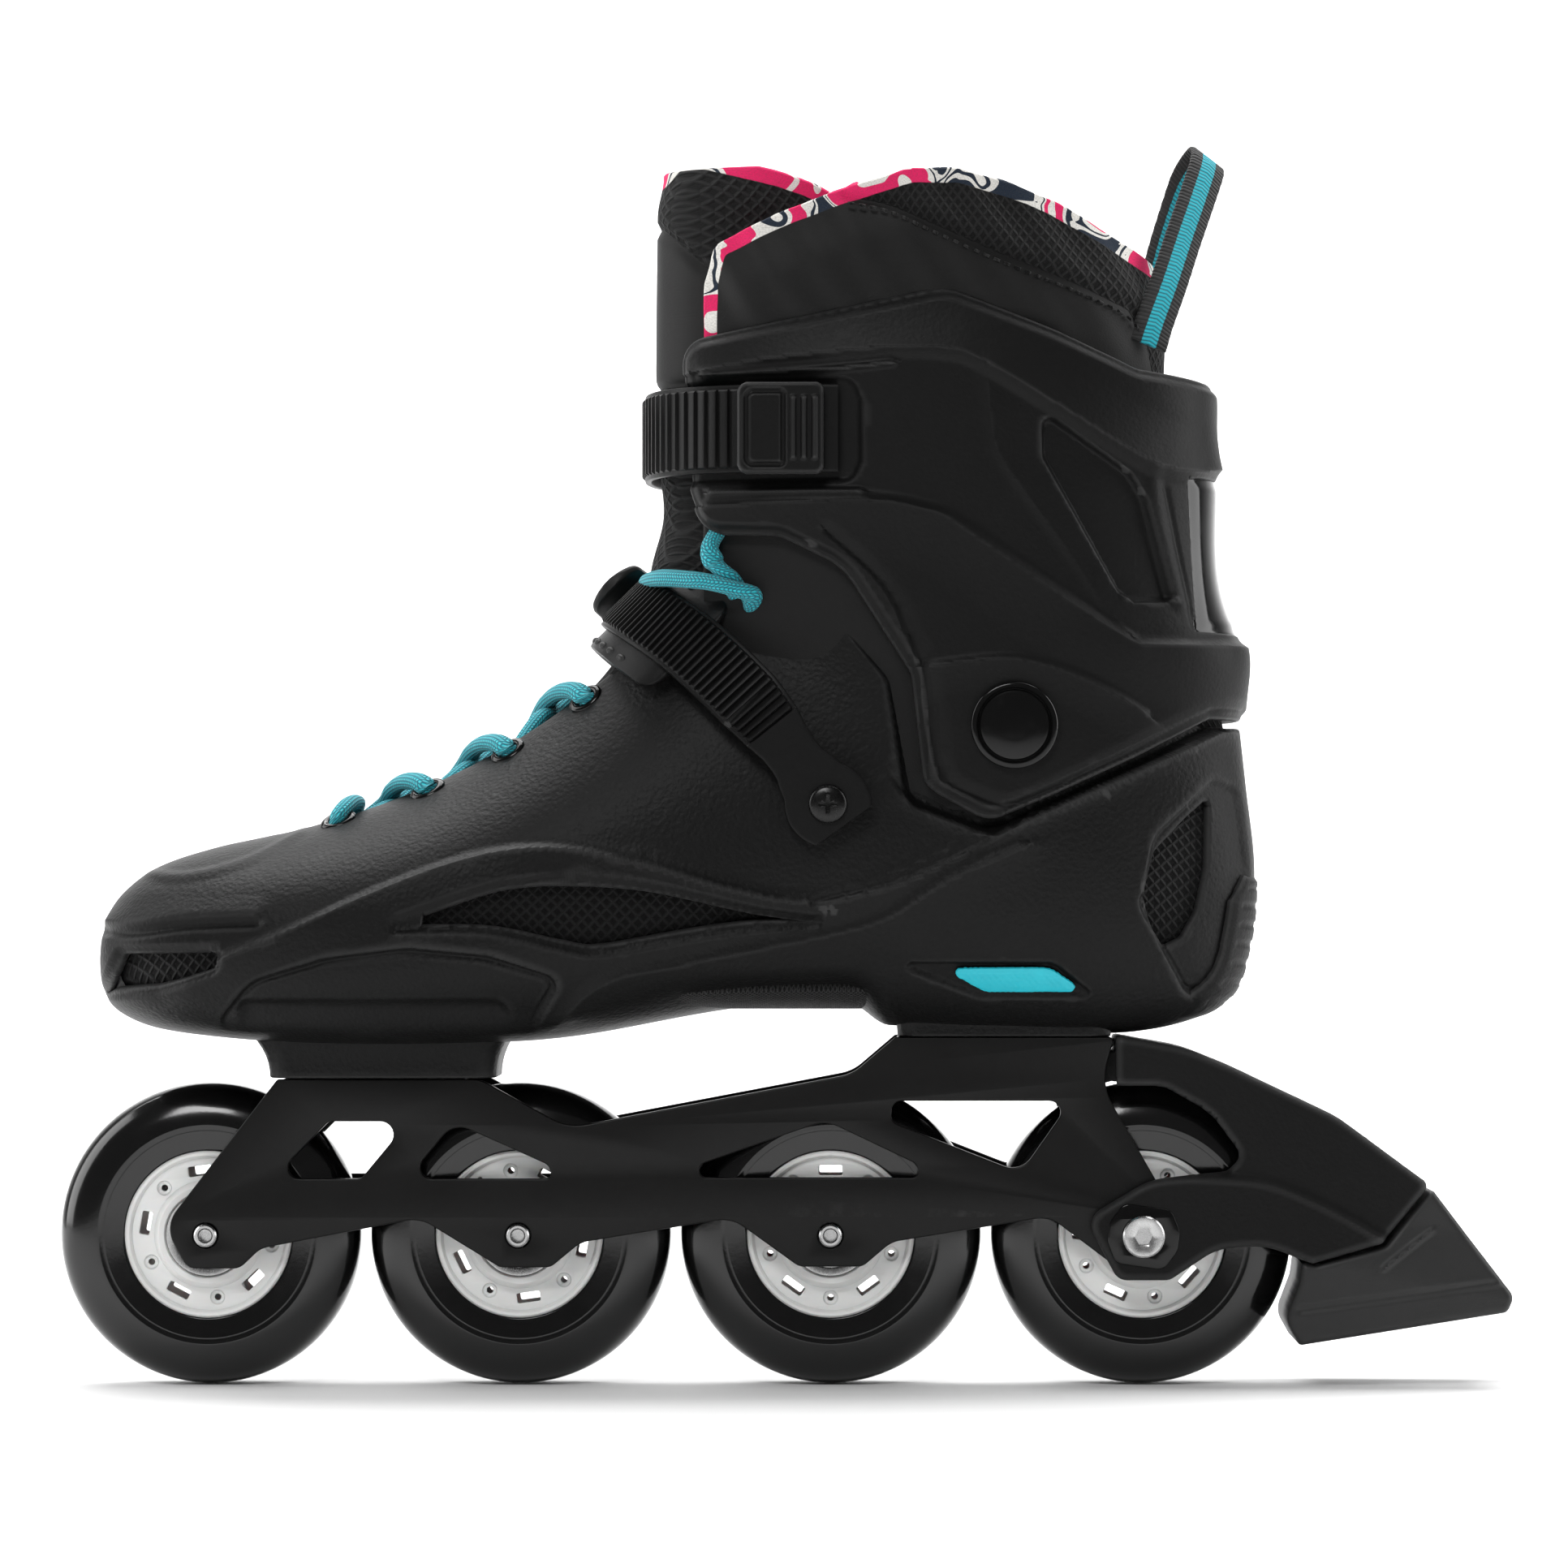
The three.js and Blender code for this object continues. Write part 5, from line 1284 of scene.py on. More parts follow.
def make_wheels():
    phases = [26, 62, 18, 30]
    for i, x in enumerate(WHEEL_XS):
        name = i + 1
        centre = np.array([x, 0, WHEEL_Z])
        body = f"wheel_{name}"
        tyre = lathe(f"tyre_tread_{name}", tyre_profile(), None, centre, 128)
        finish_piece(tyre, "tyre", body, f"tyre_{name}")
        rim = [
            (20.2, -7.0), (20.2, -8.8), (20.9, -9.9), (21.6, -10.1), (22.1, -9.6), (22.3, -8.5), (21.6, -5), (21.6, 5), (22.3, 8.5),
            (22.1, 9.6), (21.6, 10.1), (20.9, 9.9), (20.2, 8.8), (20.2, 7.0), (20.0, 3), (20.0, -3),
        ]
        seat = [(11.1, -5.2), (11.1, -11.6), (11.5, -12), (12.9, -12), (13.3, -11.6), (14.6, -8.2), (14.4, -6.4), (13.4, -5), (13.4, 5), (14.4, 6.4),
                (14.6, 8.2), (13.3, 11.6), (12.9, 12), (11.5, 12), (11.1, 11.6), (11.1, 5.2), (6.6, 5.0), (6.6, -5.0)]
        pieces = [lathe("hub_rim", rim, None, (0, 0, 0), 96), lathe("hub_seat", seat, None, (0, 0, 0), 72)]
        for k in range(5):
            spoke = box_shape("hub_spoke", 13, 20.8, -7.4, 7.4, -0.9, 0.9, 0.3)
            turn = math.radians(phases[i] + 72 * k + 36 + 18)
            spoke.data.transform(Matrix.Translation((-DATUM_X * 0.001, 0, 0)))
            spoke.data.transform(Matrix.Rotation(-turn, 4, "Y"))
            spoke.data.transform(Matrix.Translation((DATUM_X * 0.001, 0, 0)))
            pieces.append(spoke)
        pieces += hub_faces(phases[i])
        hub = join(f"hub_moulding_{name}", *pieces)
        hub.data.transform(Matrix.Translation((x * 0.001, 0, WHEEL_Z * 0.001)))
        hub.data.set_sharp_from_angle(angle=math.radians(35))
        finish_piece(hub, "hub", body, f"hub_{name}")
        for side, word in ((-1, "medial"), (1, "lateral")):
            race = lathe("bearing_race", [(8.9, side * 11.9), (9.2, side * 12), (10.8, side * 12), (11, side * 11.8), (11, side * 5.1), (8.9, side * 5.1)], None, centre, 64)
            shield = lathe("bearing_shield", [(6.2, side * 11.4), (6.6, side * 11.7), (8.2, side * 11.7), (8.9, side * 11.5), (8.9, side * 11.1), (6.2, side * 11.1)], None, centre, 64)
            core = lathe("bearing_core", [(4.1, side * 11.8), (4.4, side * 12), (5.9, side * 12), (6.2, side * 11.8), (6.2, side * 5.1), (4.1, side * 5.1)], None, centre, 64)
            bearing = join(f"bearing_{word}_ring_{name}", race, shield, core)
            bearing.data.set_sharp_from_angle(angle=math.radians(35))
            finish_piece(bearing, "steel", body, f"bearing_{word}_{name}")
        if i < 3:
            make_axle(name, centre)
    make_brake_axle(np.array([WHEEL_XS[3], 0, WHEEL_Z]))


def make_axle(name, centre):
    """An axle screw: a hollow rounded end on the inner side and a hexagonal socket head on the outer side."""
    end = [
        (1.7, -14.4), (1.7, -17.2), (2.0, -17.6), (2.6, -17.6), (3.0, -17.2), (3.0, -12.8), (4.0, -12.6), (4.0, 16.7), (0.0, 16.7),
        (0.0, -14.4),
    ]
    shaft = lathe("axle_shaft", end, None, centre, 40)
    head = rings_about_y(
        "axle_head", [(4.0, 16.6), (5.4, 16.7), (5.6, 17.1), (5.5, 18.7), (4.9, 19.2), (hexagon(2.5), 19.2), (hexagon(2.4), 17.4), (0.2, 17.2)],
        centre, 48,
    )
    axle = join(f"axle_screw_{name}", shaft, head)
    axle.data.set_sharp_from_angle(angle=math.radians(30))
    finish_piece(axle, "steel", "skate", f"axle_{name}")


def make_brake_axle(centre):
    parts = [lathe("brake_shaft", [(0.0, -21.5), (4.0, -21.5), (4.0, 21.5), (0.0, 21.5)], None, centre, 40)]
    for side in (-1, 1):
        rings = [
            (4.0, 21.3), (5.4, 21.3), (5.5, 21.6), (5.5, 22.5), (5.1, 22.9), (3.1, 23.0), (hexagon(2.5), 22.7),
            (hexagon(2.4), 21.2), (0.2, 21.0),
        ]
        parts.append(rings_about_y("brake_bolt_head", [(r, side * y) for r, y in rings], centre, 48))
    axle = join("brake_axle_bolt", *parts)
    axle.data.set_sharp_from_angle(angle=math.radians(30))
    finish_piece(axle, "steel", "skate", "brake_axle")


# ---------------------------------------------------------------- heel brake
def side_solid(name, outline, half_width, edge, step=1.0):
    """A solid of a side-view outline, mirrored about the middle plane, whose sides lie at half_width(places)."""
    low, high = outline.min(0) - 1, outline.max(0) + 1
    xs, zs = np.arange(low[0], high[0] + step, step), np.arange(low[1], high[1] + step, step)
    xx, zz = np.meshgrid(xs, zs, indexing="ij")
    places = np.stack([xx.ravel(), zz.ravel()], 1)
    keep = depth_in(places, outline)
    points = np.column_stack([places[:, 0], 0 * keep, places[:, 1]])
    points, faces = clip(points, grid_faces(len(xs), len(zs), False), keep)
    places = points[:, [0, 2]]
    depth = np.maximum(depth_in(places, outline), 0)
    roll = edge * (1 - np.sqrt(1 - (1 - np.minimum(depth / edge, 1)) ** 2))
    out = half_width(places) - roll
    inner, outer = points.copy(), points.copy()
    inner[:, 1], outer[:, 1] = -out, out
    count = len(points)
    directed = {(a, b) for f in faces for a, b in zip(f, f[1:] + f[:1])}
    solid = [list(f) for f in faces] + [[v + count for v in reversed(f)] for f in faces]
    solid += [[b, a, a + count, b + count] for a, b in directed if (b, a) not in directed]
    obj = make_object(name, np.vstack([inner, outer]), solid, None)
    tidy_mesh(obj, 2e-6)
    return obj


def wheel_room(radius, half):
    x = WHEEL_XS[3]
    return rings_about_y("wheel_room", [(radius, -half), (radius, half)], np.array([x, 0, WHEEL_Z]), 96)


def make_brake():
    outline = rounded(ARM_OUTLINE, 10)
    line = catmull(ARM_STEP, 6)
    foot = lambda p: 18.2 + 2.7 * smoothstep(-signed_distance(p, line), -2.4, 0.6)
    arm = side_solid("brake_arm_moulding", outline, foot, 1.6, 0.8)
    frame_room = box_shape("frame_room", 60, 109, -16.9, 16.9, 0, 79.2, 0.3)
    subtract(arm, wheel_room(42.4, 16.9), frame_room)
    neck = side_solid("brake_neck", rounded(ARM_NECK, 4), lambda p: np.full(len(p), 12.6), 0.6)
    subtract(neck, wheel_room(41.4, 20))
    arm = join("brake_arm_moulding", arm, neck)
    arm.data.set_sharp_from_angle(angle=math.radians(50))
    finish_piece(arm, "arm", "skate", "brake_arm")

    x = WHEEL_XS[3]
    tilt = math.radians(8)
    corners = [[-6.4, -8, 3.2], [6.4, -8, 3.2], [9.4, -2.5, 5], [9.4, 2.5, 5], [6.4, 8, 3.2], [-6.4, 8, 3.2], [-9.4, 2.5, 5], [-9.4, -2.5, 5]]
    turned = [
        [x + a * math.cos(tilt) + b * math.sin(tilt), WHEEL_Z - a * math.sin(tilt) + b * math.cos(tilt), r] for a, b, r in corners
    ]
    for side, word in ((-1, "medial"), (1, "lateral")):
        low, high = (-21.4, -19.6) if side < 0 else (19.6, 21.4)
        lock = plate(f"brake_lock_{word}", rounded(turned, 6), [circle(x, WHEEL_Z, 4.3)], low, high, None, 0.4)
        finish_piece(lock, "gloss", "skate", f"brake_lock_plate_{word}")

    outline = rounded(PAD_OUTLINE, 6)
    facet = np.array([[139.5, 34], [161, 35.5], [190, 23], [188, 21]])
    slope = lambda p: 19.9 - 2.6 * smoothstep(signed_distance(p, np.array([[140.0, 33.0], [158.0, 28.0], [191.0, 22.6]])), 0.0, 17.0)
    groove = lambda p: 0.8 * (1 - smoothstep(distance(p, np.array([[157, 31.5], [170, 41.5]])), 0.2, 0.9))
    rim = lambda p: 0.9 * (1 - smoothstep(distance(p, np.array([[135.0, 20.5], [189.0, 28.0]])), 0.3, 1.3)) * 0.6
    pad = side_solid("brake_pad_rubber", outline, lambda p: slope(p) + groove(p) - rim(p), 1.4, 0.7)
    subtract(pad, wheel_room(41.2, 15))
    pad.data.set_sharp_from_angle(angle=math.radians(50))
    finish_piece(pad, "pad", "skate", "brake_pad")


# ---------------------------------------------------------------- places on the boot
BOOT_SAMPLES = boot_grid(1.5, 260)
BOOT_NORMALS = grid_normals(BOOT_SAMPLES).reshape(-1, 3)
BOOT_SAMPLES = arch(BOOT_SAMPLES.reshape(-1, 3))


def on_boot(place, off=0.0):
    """The boot's surface point nearest to a rough place, moved out by off, and its normal."""
    gap = np.linalg.norm(BOOT_SAMPLES - place, axis=1)
    nearest = np.argsort(gap)[:6]
    weight = 1 / (gap[nearest] + 0.3) ** 2
    point = (BOOT_SAMPLES[nearest] * weight[:, None]).sum(0) / weight.sum()
    normal = (BOOT_NORMALS[nearest] * weight[:, None]).sum(0)
    normal /= np.linalg.norm(normal)
    return point + normal * off, normal


def beside_boot(x, z, side=-1):
    """The boot's side surface at x, z of the side view."""
    place = np.array([x, side * 40.0, z])
    for _ in range(6):
        point, normal = on_boot(place)
        place = np.array([x, point[1], z])
    return place, normal


def patch_of_boot(name, outline, off, thickness, material, side, step=0.9, extra=None, rim=3):
    """A thin piece that follows the boot's side inside a side-view outline."""
    low, high = outline.min(0) - step, outline.max(0) + step
    chosen = BOOT_SAMPLES[BOOT_SAMPLES[:, 1] * side > 3]
    xs, zs = np.arange(low[0], high[0], step), np.arange(low[1], high[1], step)
    near_ones = chosen[(chosen[:, 0] > low[0] - 8) & (chosen[:, 0] < high[0] + 8)]
    near_ones = near_ones[(near_ones[:, 2] > low[1] - 8) & (near_ones[:, 2] < high[1] + 8)]
    xx, zz = np.meshgrid(xs, zs, indexing="ij")
    places = np.stack([xx.ravel(), zz.ravel()], 1)
    ys = np.empty(len(places))
    for i, (x, z) in enumerate(places):
        gap = (near_ones[:, 0] - x) ** 2 + (near_ones[:, 2] - z) ** 2
        k = np.argpartition(gap, 5)[:6]
        weight = 1 / (gap[k] + 0.2)
        ys[i] = (np.abs(near_ones[k, 1]) * weight).sum() / weight.sum()
    out = ys + off + (extra(places) if extra else 0)
    points = np.column_stack([places[:, 0], side * out, places[:, 1]])
    faces = grid_faces(len(xs), len(zs), False)
    if side > 0:
        faces = faces[:, ::-1]
    points, faces = clip(points, faces, depth_in(places, outline))
    outline_depth = depth_in(points[:, [0, 2]], outline)
    if thickness:
        points, faces = thicken(points, faces, thickness, rim)
    obj = make_object(name, points, faces, None)
    return obj


# ---------------------------------------------------------------- fabrics
def cloth(n):
    return n.add("ShaderNodeAttribute", attribute_name="cloth").outputs["Vector"]


def attribute(n, name):
    return n.add("ShaderNodeAttribute", attribute_name=name).outputs["Fac"]


def lattice(n, vector, wide, tall):
    """The height of an open diamond knit: 0 in its holes and 1 on its threads, from two crossing sets of ribs."""
    parts = n.add("ShaderNodeSeparateXYZ", {"Vector": vector}).outputs
    u = n.math("MULTIPLY", parts["X"], math.pi / wide)
    v = n.math("MULTIPLY", parts["Y"], math.pi / tall)
    rise = n.math("ABSOLUTE", n.math("SINE", n.math("ADD", u, v)))
    fall = n.math("ABSOLUTE", n.math("SINE", n.math("SUBTRACT", u, v)))
    return n.ramp(n.math("MINIMUM", rise, fall), 1.0, 0.0, 0.12, 0.72)


def knit_mesh(name, slot, tone, wide=0.0026, tall=0.0034):
    """Black spacer mesh: a raised diamond knit of twisted yarn over dark foam; its holes are coloured at a quarter of
    the yarn's tone, partly the dark foam and partly painted shade.
    """
    n = Nodes(name, slot)
    threads = lattice(n, cloth(n), wide, tall)
    yarn = n.noise(3200, 2, vector=cloth(n))
    height = n.math("ADD", threads, n.math("MULTIPLY", yarn, 0.35))
    # The holes' colour is the dark foam below, darkened further as painted shade in the holes.
    n.set(
        Base_Color=n.mix(threads, grey(tone * 0.25), n.mix(yarn, grey(tone), grey(tone * 2.4))),
        Roughness=n.ramp(threads, 0.95, 0.62),
        Normal=n.bump(height, 0.0007),
    )
    n.shader.inputs["Sheen Weight"].default_value = 0.04
    n.shader.inputs["Specular IOR Level"].default_value = 0.2
    return n


def splash_print(n, vector):
    """A splashed print of pink, white and navy patches, and the weave of the cloth it is printed on."""
    warped = n.noise(78, 1.5, 0.45, vector, 0.9)
    colour = n.add("ShaderNodeValToRGB", {"Fac": warped})
    ramp = colour.color_ramp
    ramp.interpolation = "CONSTANT"
    stops = [
        (0.0, (0.012, 0.02, 0.035, 1)), (0.4, (0.72, 0.70, 0.66, 1)), (0.455, (0.012, 0.02, 0.035, 1)),
        (0.485, (0.74, 0.72, 0.68, 1)), (0.535, (0.72, 0.016, 0.12, 1)), (0.66, (0.74, 0.72, 0.68, 1)),
    ]
    while len(ramp.elements) < len(stops):
        ramp.elements.new(0.9)
    for element, (at, tone) in zip(ramp.elements, stops):
        element.position = at
        element.color = tone
    weave = n.noise(2600, 2, vector=vector)
    return n.mix(n.ramp(weave, 0.0, 0.35, 0.4, 0.75), colour.outputs["Color"], grey(0.05)), weave


def collar_fabric(name, leather_below=True):
    """The collar and tongue: smooth leather-like panel, knit mesh and a printed edge, parted by their seams."""
    n = Nodes(name, "liner_fabric")
    vector = cloth(n)
    threads = lattice(n, vector, 0.0026, 0.0034)
    yarn = n.noise(3200, 2, vector=vector)
    # The knit's holes are coloured darker than its yarn: partly the dark foam below, partly painted shade in the holes.
    knit = n.mix(threads, grey(0.0016), n.mix(yarn, grey(0.006), grey(0.018)))
    pores = n.noise(2200, 3, vector=vector)
    leather = n.mix(n.noise(60, 4, vector=vector), grey(0.0042), grey(0.0062, 0.02))
    above = n.ramp(attribute(n, "seam"), 0.0, 1.0, -0.15, 0.15)
    printed, weave = splash_print(n, vector)
    edge = n.ramp(attribute(n, "edge"), 1.0, 0.0, 3.4, 3.6)
    body_colour = n.mix(above, leather, knit)
    body_height = n.add("ShaderNodeMix", {"Factor": above}, data_type="FLOAT")
    n.put(body_height.inputs["A"], n.math("MULTIPLY", pores, 0.10))
    n.put(body_height.inputs["B"], n.math("ADD", threads, n.math("MULTIPLY", yarn, 0.35)))
    height = n.add("ShaderNodeMix", {"Factor": edge}, data_type="FLOAT")
    n.put(height.inputs["A"], body_height.outputs["Result"])
    n.put(height.inputs["B"], n.math("MULTIPLY", weave, 0.3))
    n.set(
        Base_Color=n.mix(edge, body_colour, printed),
        Roughness=n.math("MAXIMUM", n.ramp(above, 0.58, 0.8), n.ramp(edge, 0.0, 0.9)),
        Normal=n.bump(height.outputs["Result"], 0.0007),
    )
    n.shader.inputs["Sheen Weight"].default_value = 0.03
    n.shader.inputs["Specular IOR Level"].default_value = 0.2
    return n


def lace_material():
    """Braided cyan cord: rows of small slanted stitches that lean both ways, over a dark cyan ground between them that
    is painted shade.
    """
    n = Nodes("lace_cyan", "lace")
    along = n.add("ShaderNodeUVMap", uv_map="sweep").outputs["UV"]
    parts = n.add("ShaderNodeSeparateXYZ", {"Vector": along}).outputs
    u = n.math("MULTIPLY", parts["X"], 2 * math.pi / 0.0019)
    v = n.math("MULTIPLY", parts["Y"], 2 * math.pi)
    rows = n.math("MULTIPLY", v, 8)
    lean = n.math("MULTIPLY", n.math("SINE", n.math("MULTIPLY", v, 4)), 2.2)
    cells = n.math("MULTIPLY", n.math("SINE", n.math("ADD", u, lean)), n.math("COSINE", rows))
    height = n.ramp(n.math("ABSOLUTE", cells), 0.0, 1.0, 0.05, 0.8)
    speck = n.noise(1500, 3)
    thread = n.mix(speck, (0.008, 0.46, 0.55, 1), (0.02, 0.64, 0.72, 1))
    # Painted shade: the low ground between the stitches is coloured dark cyan, and the stitches' tops take the bright
    # thread colour.
    n.set(
        Base_Color=n.mix(height, (0.002, 0.15, 0.21, 1), thread),
        Roughness=n.ramp(height, 0.9, 0.62),
        Normal=n.bump(height, 0.0004),
    )
    n.shader.inputs["Sheen Weight"].default_value = 0.15
    return n


def webbing_material():
    """Ribbed black webbing with a cyan stripe down its middle, its rib grooves darkened as painted shade."""
    n = Nodes("loop_webbing", "webbing")
    parts = n.add("ShaderNodeSeparateXYZ", {"Vector": cloth(n)}).outputs
    across = n.math("ABSOLUTE", parts["Y"])
    slant = n.math("MULTIPLY", across, 700)
    ribs = n.math("ABSOLUTE", n.math("SINE", n.math("ADD", n.math("MULTIPLY", parts["X"], math.pi / 0.00105), slant)))
    stripe = n.ramp(across, 1.0, 0.0, 0.0021, 0.0023)
    speck = n.noise(2600, 2, vector=cloth(n))
    cyan = n.mix(speck, (0.004, 0.34, 0.44, 1), (0.012, 0.5, 0.6, 1))
    black = n.mix(speck, grey(0.005), grey(0.017))
    # Painted shade: the colour is multiplied down to 0.3 in the grooves between the ribs.
    painted_rib_shade = n.mix(ribs, grey(0.3), grey(1.0))
    tint = n.add("ShaderNodeMix", data_type="RGBA", blend_type="MULTIPLY")
    n.put(tint.inputs["Factor"], 1.0)
    n.put(tint.inputs["A"], n.mix(stripe, black, cyan))
    n.put(tint.inputs["B"], painted_rib_shade)
    n.set(Base_Color=tint.outputs["Result"], Roughness=n.ramp(speck, 0.7, 0.9), Normal=n.bump(ribs, 0.0003))
    n.shader.inputs["Sheen Weight"].default_value = 0.1
    return n


MATERIALS |= {
    "collar": collar_fabric("collar_fabric"),
    "tongue": collar_fabric("tongue_fabric"),
    "knit": knit_mesh("spacer_mesh", "liner_fabric", 0.009),
    # The lower liner's black mesh, seen only through the shell's vents, is given a far darker tone than the knit
    # elsewhere: partly its own colour, partly painted shade inside the shell.
    "vent_mesh_painted_shade": knit_mesh("vent_mesh_painted_shade", "liner_fabric", 0.0013, 0.0032, 0.0032),
    "footbed": knit_mesh("footbed_cloth", "footbed_fabric", 0.02, 0.0012, 0.0012),
    "lace": lace_material(),
    "webbing": webbing_material(),
}


def mark(obj, name, values):
    """Stores a number or a vector for each point of a piece, for its material to read."""
    values = np.asarray(values, np.float32)
    kind, key = ("FLOAT", "value") if values.ndim == 1 else ("FLOAT_VECTOR", "vector")
    obj.data.attributes.new(name, kind, "POINT").data.foreach_set(key, values.ravel())


def positions(obj):
    """A piece's points in millimetres on the drawing."""
    co = np.empty(len(obj.data.vertices) * 3, np.float32)
    obj.data.vertices.foreach_get("co", co)
    return co.reshape(-1, 3) * 1000 - [DATUM_X, 0, 0]


# ---------------------------------------------------------------- liner and tongue
COLLAR_EDGE = [
    [-21.6, 120], [-21.6, 289.5], [-18.8, 299], [-4, 306], [15, 313], [24, 315.6], [32, 318.2], [45, 318.2], [59, 314.3],
    [70, 310.2], [83, 303.4], [96, 296.6], [104, 292.5], [125, 292], [125, 120],
]
COLLAR_SEAM = [
    [-60, 420], [-10, 420], [15, 311.5], [26.6, 309.1], [38.2, 303.9], [55, 296.6], [76.2, 288.7], [89.2, 283.1], [94, 277],
    [96, 268], [96, 255], [130, 255], [130, 420],
]
TONGUE_PATH = [
    [-130, 141.5], [-108, 149.5], [-85, 160.5], [-64, 174], [-50.5, 186.5], [-42, 198.5], [-37, 211], [-34.4, 225],
    [-33.8, 245], [-33.8, 262], [-33.6, 290], [-33.2, 321],
]


def turn_length(points):
    """How far round the skate each point lies, in millimetres, for laying cloth patterns on."""
    centre = np.array([38.0, 0.0])
    flat = points[:, :2] - centre
    return np.arctan2(flat[:, 1], -flat[:, 0]) * 46


def make_collar():
    """The liner's padded upper: one piece from inside the shell up to its rolled, printed top edge."""
    columns = 320
    heights = np.arange(152, 322, 1.1)
    grid = level_grid(LINER_LEVELS, heights, columns)
    normals = grid_normals(grid).reshape(-1, 3)
    points = grid.reshape(-1, 3)
    outline = rounded([[x, z, 5] for x, z in COLLAR_EDGE], 5)
    depth = depth_in(points[:, [0, 2]], outline)
    seam = depth_in(points[:, [0, 2]], np.array(COLLAR_SEAM, float))
    high = smoothstep(points[:, 2], 262, 290)
    puff = high * (2.6 * smoothstep(depth, 0, 16) - 1.3 * (1 - smoothstep(np.abs(seam), 0, 2.6)) - 0.5)
    crease = high * (0.35 * np.sin(points[:, 0] * 0.5 + points[:, 2] * 0.31) * smoothstep(np.abs(seam), 1, 6))
    points = points + normals * (puff + crease)[:, None]
    extra = np.column_stack([points, depth])
    clipped, faces = clip(extra, grid_faces(len(heights), columns), depth)
    solid, shell_faces = thicken(clipped, faces, 8.2, 7)
    collar = make_object("liner_collar", solid, shell_faces, None)
    count = len(clipped)
    edge = np.full(len(solid), 50.0)
    edge[:count] = clipped[:, 3]
    edge[count : 2 * count] = clipped[:, 3] - 3
    edge[2 * count :] = 0
    base = clipped[:, :3]
    seam_now = depth_in(base[:, [0, 2]], np.array(COLLAR_SEAM, float))
    seam_all = np.concatenate([seam_now, np.full(count, 6.0), np.full(len(solid) - 2 * count, 6.0)])
    mark(collar, "edge", np.where(solid[:, 2] > 268, edge, 50))
    mark(collar, "seam", seam_all)
    mark(collar, "cloth", np.column_stack([turn_length(solid), solid[:, 2], solid[:, 0] * 0]) * 0.001)
    collar.data.shade_smooth()
    finish_piece(collar, "collar", None, "liner_upper")
    place([38, 0, 166]).tolist()
    place([38, 0, 212]).tolist()
    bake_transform(collar)

    line = catmull(COLLAR_SEAM[2:9], 10)
    for side in (-1, 1):
        stitch_row(f"collar_stitches_{'medial' if side < 0 else 'lateral'}", line - [0, 2.2], side, LINER_LEVELS, 2.0, "cuff")


def stitch_row(name, line, side, levels, off, body, power=2.6, pitch=2.9):
    """A row of short sunken stitches along a side-view line."""
    steps = np.concatenate([[0], np.cumsum(np.linalg.norm(np.diff(line, axis=0), axis=1))])
    points, faces = [], []
    for start in np.arange(1, steps[-1] - pitch, pitch):
        ends = []
        for s in (start, start + pitch * 0.62):
            x, z = np.interp(s, steps, line[:, 0]), np.interp(s, steps, line[:, 1])
            front, back, half = level_at(levels, np.array([z]))[0]
            u = np.clip(abs(x - (front + back) / 2) / ((back - front) / 2 + off), 0, 0.999)
            ends.append(np.array([x, side * (half + off) * (1 - u**power) ** (1 / power), z]))
        along = ends[1] - ends[0]
        along /= np.linalg.norm(along)
        out = np.array([0, side, 0.0])
        up = np.cross(along, out)
        for k, t in enumerate((0, 0.25, 0.75, 1)):
            middle = ends[0] + (ends[1] - ends[0]) * t + out * (0.45 if 0 < k < 3 else -0.1)
            for angle in np.arange(6) * math.pi / 3:
                points.append(middle + 0.42 * (math.cos(angle) * up + math.sin(angle) * out))
        base = len(points) - 24
        faces += [[base + v for v in f] for f in grid_faces(4, 6).tolist()]
    stitches = make_object(name, points, faces, None)
    mark(stitches, "cloth", positions(stitches) * 0.001)
    return finish_piece(stitches, "knit", body)


